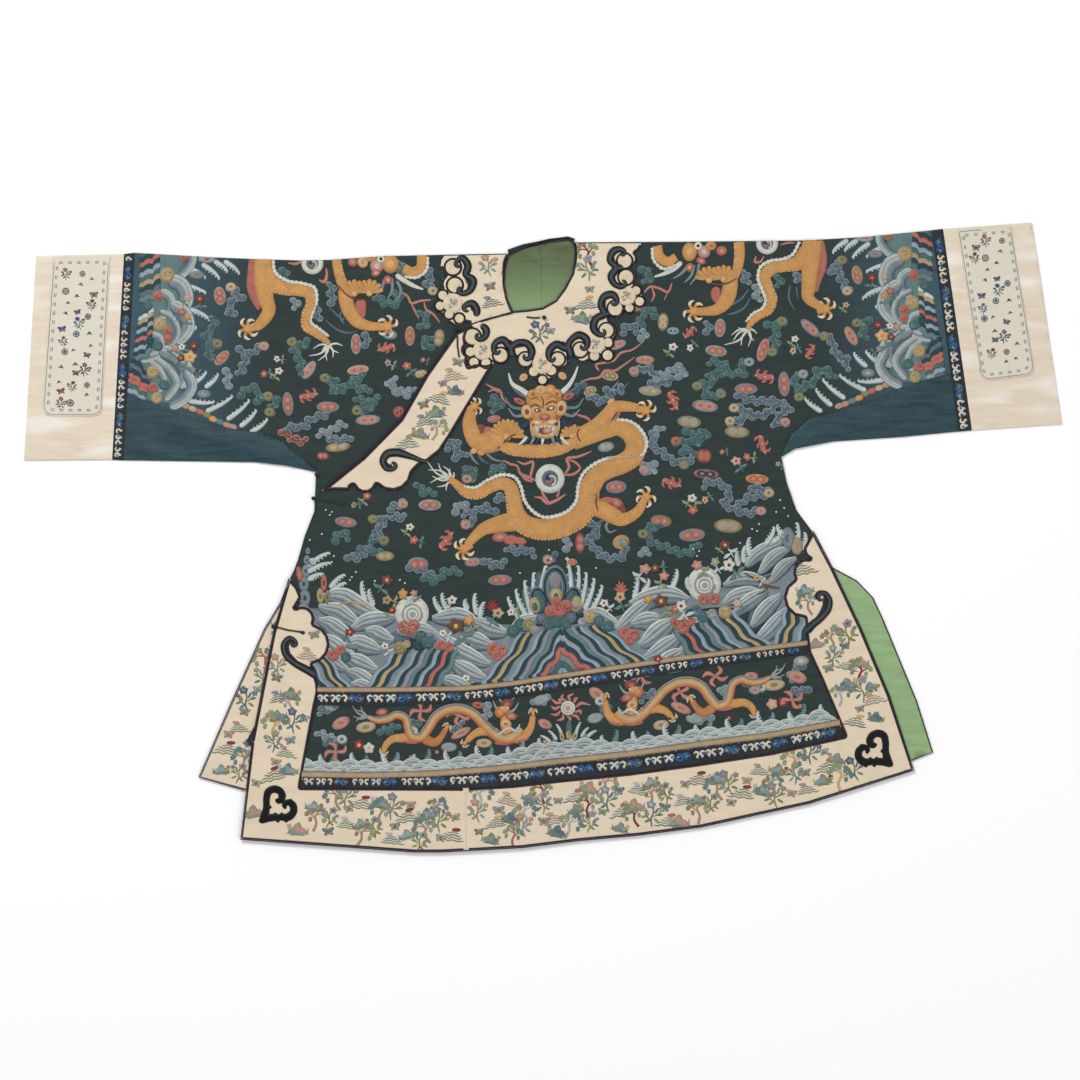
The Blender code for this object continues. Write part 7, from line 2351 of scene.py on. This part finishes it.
class ROBE_OT_great_dragon(bpy.types.Operator):
    """Work the chest's front-facing dragon and its pearl"""

    bl_idname = "robe.great_dragon"
    bl_label = "Great Dragon"

    def execute(self, context):
        lay("overlap_front", great_dragon(), "great_dragon", *FIELD["left"], "couched",
            "ground_silk")
        return {"FINISHED"}


class ROBE_OT_shoulder_dragons(bpy.types.Operator):
    """Work the dragons that come over the shoulders"""

    bl_idname = "robe.shoulder_dragons"
    bl_label = "Shoulder Dragons"

    def execute(self, context):
        for side, panel in HALVES.items():
            lay(panel, shoulder_dragon(side), "shoulder_dragon_" + side, *FIELD[side], "couched",
                "ground_silk")
        return {"FINISHED"}


# ---------------------------------------------------------------- finishes
def finish_of(key):
    """A finish by its key, mixed the first time it is asked for."""
    if key in FINISHES:
        return FINISHES[key]
    wear = bpy.context.scene.robe_colours
    made = {
        "ground": lambda: silk("ground silk", wear.ground, 1.32, 0.0006, 0.6, 0.04, (1, 5, 1), 0,
                               tint_and_shade=(0, 0.42, 0.62, "#3f5b68", 0.85)),
        # the gore's slanted streaks, 1.9 times lighter, are a painted sheen
        "gore": lambda: silk("gore silk", wear.gore, 1.9, 0.0006, 0.36, 0.3, (1, 7, 1), 62, 0.4),
        # the cuff's broad pale streaks are a painted sheen
        "cuff": lambda: silk("cuff satin", wear.cuff, 1.14, 0.0005, 0.34, 0.2, (1, 9, 1), 74, 0.3,
                             painted_sheen=0.7),
        "panel": lambda: silk("panel silk", wear.panel, 1.06, 0.0006, 0.5, 0.15, (1, 3, 1), 4),
        "ivory": lambda: silk("ivory silk", wear.ivory, 1.1, 0.0006, 0.5, 0.2, (1, 3, 1), 8),
        # the lining darkens to olive toward the neck's top: painted shade
        "lining": lambda: silk("lining silk", wear.lining, 1.22, 0.0006, 0.42, 0.25, (1, 5, 1), 80,
                               tint_and_shade=(1, 0.31, 0.46, "#484d30", 0.95)),
        "ribbon": lambda: silk("ribbon", wear.ribbon, 1.8, 0.0007, 0.55, 0.2, (1, 2, 1), 45),
        "satin": lambda: silk("black satin", wear.satin, 1.7, 0.0005, 0.4, 0.3, (1, 4, 1), 30),
        "piping": lambda: silk("piping silk", wear.piping, 1.6, 0.0008, 0.5, 0.2, (1, 2, 1), 45),
        "stitch": lambda: stitched("embroidery silk"),
        "couched": lambda: stitched("couched gold", 0.42, 0.0014, 0.5),
        "paper": lambda: stitched("fine stitches", 0.5, 0.0009, 0.25),
    }[key]()
    FINISHES[key] = made
    return made


def keep(*pieces):
    """Notes pieces by the name of the node they stand for, to gather with their sheets."""
    for piece in pieces:
        PANEL_CLOTHS[piece.name.removesuffix("_cloth")] = piece
    return pieces


# ---------------------------------------------------------------- cloth operators
def colour_setting(name, about, colour):
    """A colour in the panel, from its hex value."""
    return FloatVectorProperty(name=name, description=about, subtype="COLOR", size=3,
                               default=tuple(linear(colour)))


def grid_setting(name, about, spacing):
    """A spacing of cuts in the panel, in metres."""
    return FloatProperty(name=name, description=about, subtype="DISTANCE", unit="LENGTH",
                         default=spacing, min=0.004, max=0.05)


class RobeColours(bpy.types.PropertyGroup):
    """The cloths' colours."""

    ground: colour_setting("Ground", "Blue-black silk of the robe", "#253130")
    gore: colour_setting("Gore", "Dark teal silk under the sleeves", "#21373d")
    cuff: colour_setting("Cuff", "Cream satin of the sleeve ends", "#d6c8b4")
    panel: colour_setting("Cuff panel", "Pale silk of the cuff panels", "#d6cfbe")
    ivory: colour_setting("Ivory", "Silk of the cloud collar and borders", "#d8c8af")
    lining: colour_setting("Lining", "Light green silk inside", "#89a677")
    ribbon: colour_setting("Ribbon", "Ground of the woven ribbons", "#1d2226")
    satin: colour_setting("Black satin", "Cut scrolls and corner clouds", "#1b1f24")
    piping: colour_setting("Piping", "Bindings and pipings", "#2a2430")


class RobeSizes(bpy.types.PropertyGroup):
    """Sizes that change how the cloth is worked."""

    grid: grid_setting("Grid", "Spacing of the cuts across the large cloths", 0.010)
    trim_grid: grid_setting("Trim grid", "Spacing of the cuts across the bands", 0.008)


def cloths(key, slot, *nodes, spacing=None):
    """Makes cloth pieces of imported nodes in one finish."""
    sizes = bpy.context.scene.robe_sizes
    spacing = sizes.grid / MM if spacing is None else spacing
    return keep(*(cloth_piece(node, finish_of(key), spacing) for node in nodes))


class ROBE_OT_body(bpy.types.Operator):
    """Make the ground silk of the two halves and the overlapping front"""

    bl_idname = "robe.body"
    bl_label = "Ground Silk"

    def execute(self, context):
        cloths("ground", "ground_silk", "right_half", "left_half", "overlap_front")
        return {"FINISHED"}


class ROBE_OT_linings(bpy.types.Operator):
    """Make the green linings"""

    bl_idname = "robe.linings"
    bl_label = "Linings"

    def execute(self, context):
        cloths("lining", "lining_silk", "lining_right", "lining_left",
               spacing=1.6 * context.scene.robe_sizes.grid / MM)
        return {"FINISHED"}


class ROBE_OT_sleeve_ends(bpy.types.Operator):
    """Make the gores, the cuffs and the cuff panels"""

    bl_idname = "robe.sleeve_ends"
    bl_label = "Sleeve Ends"

    def execute(self, context):
        grid = context.scene.robe_sizes.trim_grid / MM
        cloths("gore", "gore_silk", "gore_right", "gore_left", spacing=grid)
        cloths("cuff", "cuff_silk", "cuff_right", "cuff_left", spacing=grid)
        cloths("panel", "ivory_silk", "cuff_panel_right", "cuff_panel_left", spacing=grid)
        return {"FINISHED"}


class ROBE_OT_bands(bpy.types.Operator):
    """Make the ivory cloud collar, bands and borders, and the woven ribbons"""

    bl_idname = "robe.bands"
    bl_label = "Bands and Ribbons"

    def execute(self, context):
        grid = context.scene.robe_sizes.trim_grid / MM
        cloths("ivory", "ivory_silk", "collar_front", "collar_shoulder", "overlap_band",
               "border_right", "border_left", "border_underlap", spacing=grid)
        cloths("ribbon", "ribbon", "hem_ribbon_upper", "hem_ribbon_lower",
               "sleeve_ribbon_right", "sleeve_ribbon_left", spacing=grid)
        return {"FINISHED"}


class ROBE_OT_trims(bpy.types.Operator):
    """Make the bindings, pipings and cut satin scrolls"""

    bl_idname = "robe.trims"
    bl_label = "Trims"

    def execute(self, context):
        grid = context.scene.robe_sizes.trim_grid / MM
        cloths("piping", "piping", "neck_binding_back", "neck_binding_front",
               "neck_binding_side", "back_piping", "edge_piping", "overlap_piping",
               "underlap_piping", spacing=grid)
        cloths("satin", "black_satin", *SATIN_SCROLLS, spacing=grid)
        return {"FINISHED"}


SATIN_SCROLLS = (
    "collar_scroll_1", "collar_scroll_2_upper", "collar_scroll_2_lower", "collar_scroll_3",
    "collar_scroll_4", "collar_scroll_5", "collar_scroll_6", "overlap_scroll",
    "slit_scroll_right", "slit_scroll_left")
KNOTS = ("neck_button", "chest_button", "underarm_button_upper", "underarm_button_lower",
         "slit_button")
LOOPS = ("neck_loop", "chest_loop", "underarm_loop", "slit_loop")


class ROBE_OT_fastenings(bpy.types.Operator):
    """Make the knotted buttons and the corded loops"""

    bl_idname = "robe.fastenings"
    bl_label = "Fastenings"

    def execute(self, context):
        for node in KNOTS:
            keep(knot_piece(node, finish_of("satin")))
        for node in LOOPS:
            keep(cloth_piece(node, finish_of("satin"), 4.0))
        return {"FINISHED"}


def knot_piece(node, finish):
    """A ball knot: radius times 1 - 0.16 sin(2 turn + 3 rise)^2 |cos(2 turn - 3 rise)|, over the
    turn round a ball and the rise up it."""
    low, high = (np.array(corner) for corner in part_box(node))
    middle, half = (low + high) / 2, (high - low) / 2
    turn = np.linspace(0, 2 * math.pi, KNOT_SIDES + 1)[:-1]
    rise = np.linspace(-math.pi / 2, math.pi / 2, KNOT_RINGS + 2)[1:-1]
    t, r = np.meshgrid(turn, rise)
    reach = 1 - 0.16 * np.abs(np.sin(2 * t + 3 * r)) ** 2 * np.abs(np.cos(2 * t - 3 * r))
    ball = np.stack([np.cos(t) * np.cos(r), np.sin(t) * np.cos(r), np.sin(r)], -1)
    ball = (ball * reach[..., None]).reshape(-1, 3)
    points = np.vstack([ball, [(0, 0, -1), (0, 0, 1)]]) * half + middle
    points[:, 2] += creases(points[:, 0] / MM, points[:, 1] / MM) * MM
    faces = cells(KNOT_RINGS, KNOT_SIDES, closed=True)[:, ::-1]
    around = np.arange(KNOT_SIDES)
    after = (around + 1) % KNOT_SIDES
    last, low_end = (KNOT_RINGS - 1) * KNOT_SIDES, KNOT_RINGS * KNOT_SIDES
    low_cap = np.stack([after, around, np.full(KNOT_SIDES, low_end)], 1)
    high_cap = np.stack([around + last, after + last, np.full(KNOT_SIDES, low_end + 1)], 1)
    mesh = mesh_of(node, points, np.vstack([faces, low_cap, high_cap]))
    piece = new_object(node + "_cloth", mesh, finish)
    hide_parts(node)
    return piece


# ---------------------------------------------------------------- sheets and their pieces
# Node: cut's width and length in m, and what it lies on.
SHEETS = {
    "right_half": (0.93, 1.35, ("lining_right",)),
    "left_half": (0.98, 1.40, ("lining_left",)),
    "overlap_front": (0.54, 0.87, ("right_half",)),
    "lining_right": (0.46, 0.94, ("right_half",)),
    "lining_left": (0.62, 0.94, ("left_half",)),
    "gore_right": (0.31, 0.16, ("right_half",)),
    "gore_left": (0.29, 0.15, ("left_half",)),
    "cuff_right": (0.34, 0.29, ("sleeve_ribbon_right",)),
    "cuff_left": (0.34, 0.29, ("sleeve_ribbon_left",)),
    "cuff_panel_right": (0.11, 0.26, ("cuff_right",)),
    "cuff_panel_left": (0.11, 0.25, ("cuff_left",)),
    "collar_front": (0.30, 0.23, ("overlap_front",)),
    "collar_shoulder": (0.12, 0.12, ("right_half",)),
    "overlap_band": (0.27, 0.27, ("overlap_front",)),
    "border_right": (0.36, 0.44, ("overlap_front",)),
    "border_left": (0.40, 0.74, ("left_half",)),
    "border_underlap": (0.32, 0.48, ("right_half",)),
    "hem_ribbon_upper": (0.04, 0.80, ("left_half",)),
    "hem_ribbon_lower": (0.05, 0.88, ("left_half",)),
    "sleeve_ribbon_right": (0.04, 0.34, ("right_half",)),
    "sleeve_ribbon_left": (0.045, 0.34, ("left_half",)),
}
# Sheet: the trims that go with it.
TRIMS = {
    "overlap_front": ("overlap_piping", "neck_binding_front", "edge_piping", "chest_button",
                      "underarm_button_upper", "underarm_button_lower", "chest_loop"),
    "right_half": ("underlap_piping", "neck_binding_side"),
    "left_half": ("back_piping", "neck_binding_back"),
    "collar_front": ("collar_scroll_2_lower", "collar_scroll_3", "collar_scroll_4",
                     "collar_scroll_5", "collar_scroll_6", "neck_button", "neck_loop"),
    "collar_shoulder": ("collar_scroll_1", "collar_scroll_2_upper"),
    "overlap_band": ("overlap_scroll", "underarm_loop"),
    "border_right": ("slit_scroll_right", "corner_cloud_right", "slit_button", "slit_loop"),
    "border_left": ("slit_scroll_left", "corner_cloud_left"),
}


def declare_sheets():
    """Works out each cloth's cut area and gathers the trims and needlework on it."""
    for node, (width, length, under) in SHEETS.items():
        area = cut_area(node)
        with_pieces = [PANEL_CLOTHS[name] for name in TRIMS.get(node, ())]
        with_pieces += NEEDLEWORK.get(node, [])


# ---------------------------------------------------------------- stage
class ROBE_OT_stage(bpy.types.Operator):
    """Make the pale floor, the lights and the camera straight above"""

    bl_idname = "robe.stage"
    bl_label = "Stage"

    def execute(self, context):
        scene = context.scene
        mesh = bpy.data.meshes.new("floor")
        mesh.from_pydata([(-9, -9, -0.0005), (9, -9, -0.0005), (9, 9, -0.0005),
                          (-9, 9, -0.0005)], [], [(0, 1, 2, 3)])
        floor = bpy.data.objects.new("floor", mesh)
        scene.collection.objects.link(floor)
        paint = Dye("floor paint", roughness=0.9, specular_ior_level=0.1)
        paint.shader.inputs["Base Color"].default_value = (0.97, 0.97, 0.97, 1)
        mesh.materials.append(paint.material)

        world = bpy.data.worlds.new("studio")
        world.use_nodes = True
        world.node_tree.nodes["Background"].inputs["Color"].default_value = (1, 1, 1, 1)
        world.node_tree.nodes["Background"].inputs["Strength"].default_value = 0.55
        scene.world = world
        for name, place, energy, size in (("key", (-2.4, 3.4, 4.2), 190, 1.6),
                                          ("fill", (3.4, -2.2, 4.6), 72, 3.5)):
            light = bpy.data.lights.new(name, "AREA")
            light.energy, light.size = energy, size
            lamp = bpy.data.objects.new(name, light)
            lamp.location = place
            away = np.array(place) / np.linalg.norm(place)
            lamp.rotation_euler = (math.acos(away[2]), 0,
                                   math.atan2(away[1], away[0]) + math.pi / 2)
            scene.collection.objects.link(lamp)

        lens = bpy.data.cameras.new("camera")
        lens.sensor_width = SENSOR
        lens.lens = SENSOR * CAMERA_HEIGHT / VIEW_WIDTH
        lens.clip_end = 50
        camera = bpy.data.objects.new("camera", lens)
        camera.location = (-0.0048, -0.0040, CAMERA_HEIGHT)
        scene.collection.objects.link(camera)
        scene.camera = camera
        scene.view_settings.view_transform = "Standard"
        return {"FINISHED"}


OPERATORS = (
    ROBE_OT_body, ROBE_OT_linings, ROBE_OT_sleeve_ends, ROBE_OT_bands, ROBE_OT_trims,
    ROBE_OT_fastenings, ROBE_OT_field, ROBE_OT_hem_waves, ROBE_OT_hem_border, ROBE_OT_ribbon_work,
    ROBE_OT_sleeve_waves, ROBE_OT_great_dragon, ROBE_OT_shoulder_dragons, ROBE_OT_ivory_work,
    ROBE_OT_cuff_work, ROBE_OT_black_work, ROBE_OT_stage)


class ROBE_PT_panel(bpy.types.Panel):
    """The robe's sizes, colours and pieces"""

    bl_idname = "ROBE_PT_panel"
    bl_label = "Dragon Robe"
    bl_space_type = "VIEW_3D"
    bl_region_type = "UI"
    bl_category = "Robe"

    def draw(self, context):
        for group in (context.scene.robe_colours, context.scene.robe_sizes):
            for name in group.bl_rna.properties.keys():
                if name not in ("rna_type", "name"):
                    self.layout.prop(group, name)
        for operator in OPERATORS:
            self.layout.operator(operator.bl_idname)


CLASSES = (RobeColours, RobeSizes, *OPERATORS, ROBE_PT_panel)


def register():
    """Registers the classes and their settings."""
    for kind in CLASSES:
        bpy.utils.register_class(kind)
    bpy.types.Scene.robe_colours = PointerProperty(type=RobeColours)
    bpy.types.Scene.robe_sizes = PointerProperty(type=RobeSizes)


def unregister():
    """Takes the settings and the classes away."""
    del bpy.types.Scene.robe_sizes
    del bpy.types.Scene.robe_colours
    for kind in reversed(CLASSES):
        bpy.utils.unregister_class(kind)


def main():
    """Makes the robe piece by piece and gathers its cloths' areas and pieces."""
    register()
    for operator in OPERATORS:
        group, name = operator.bl_idname.split(".")
        getattr(getattr(bpy.ops, group), name)()
    declare_sheets()


if __name__ == "__main__":
    main()
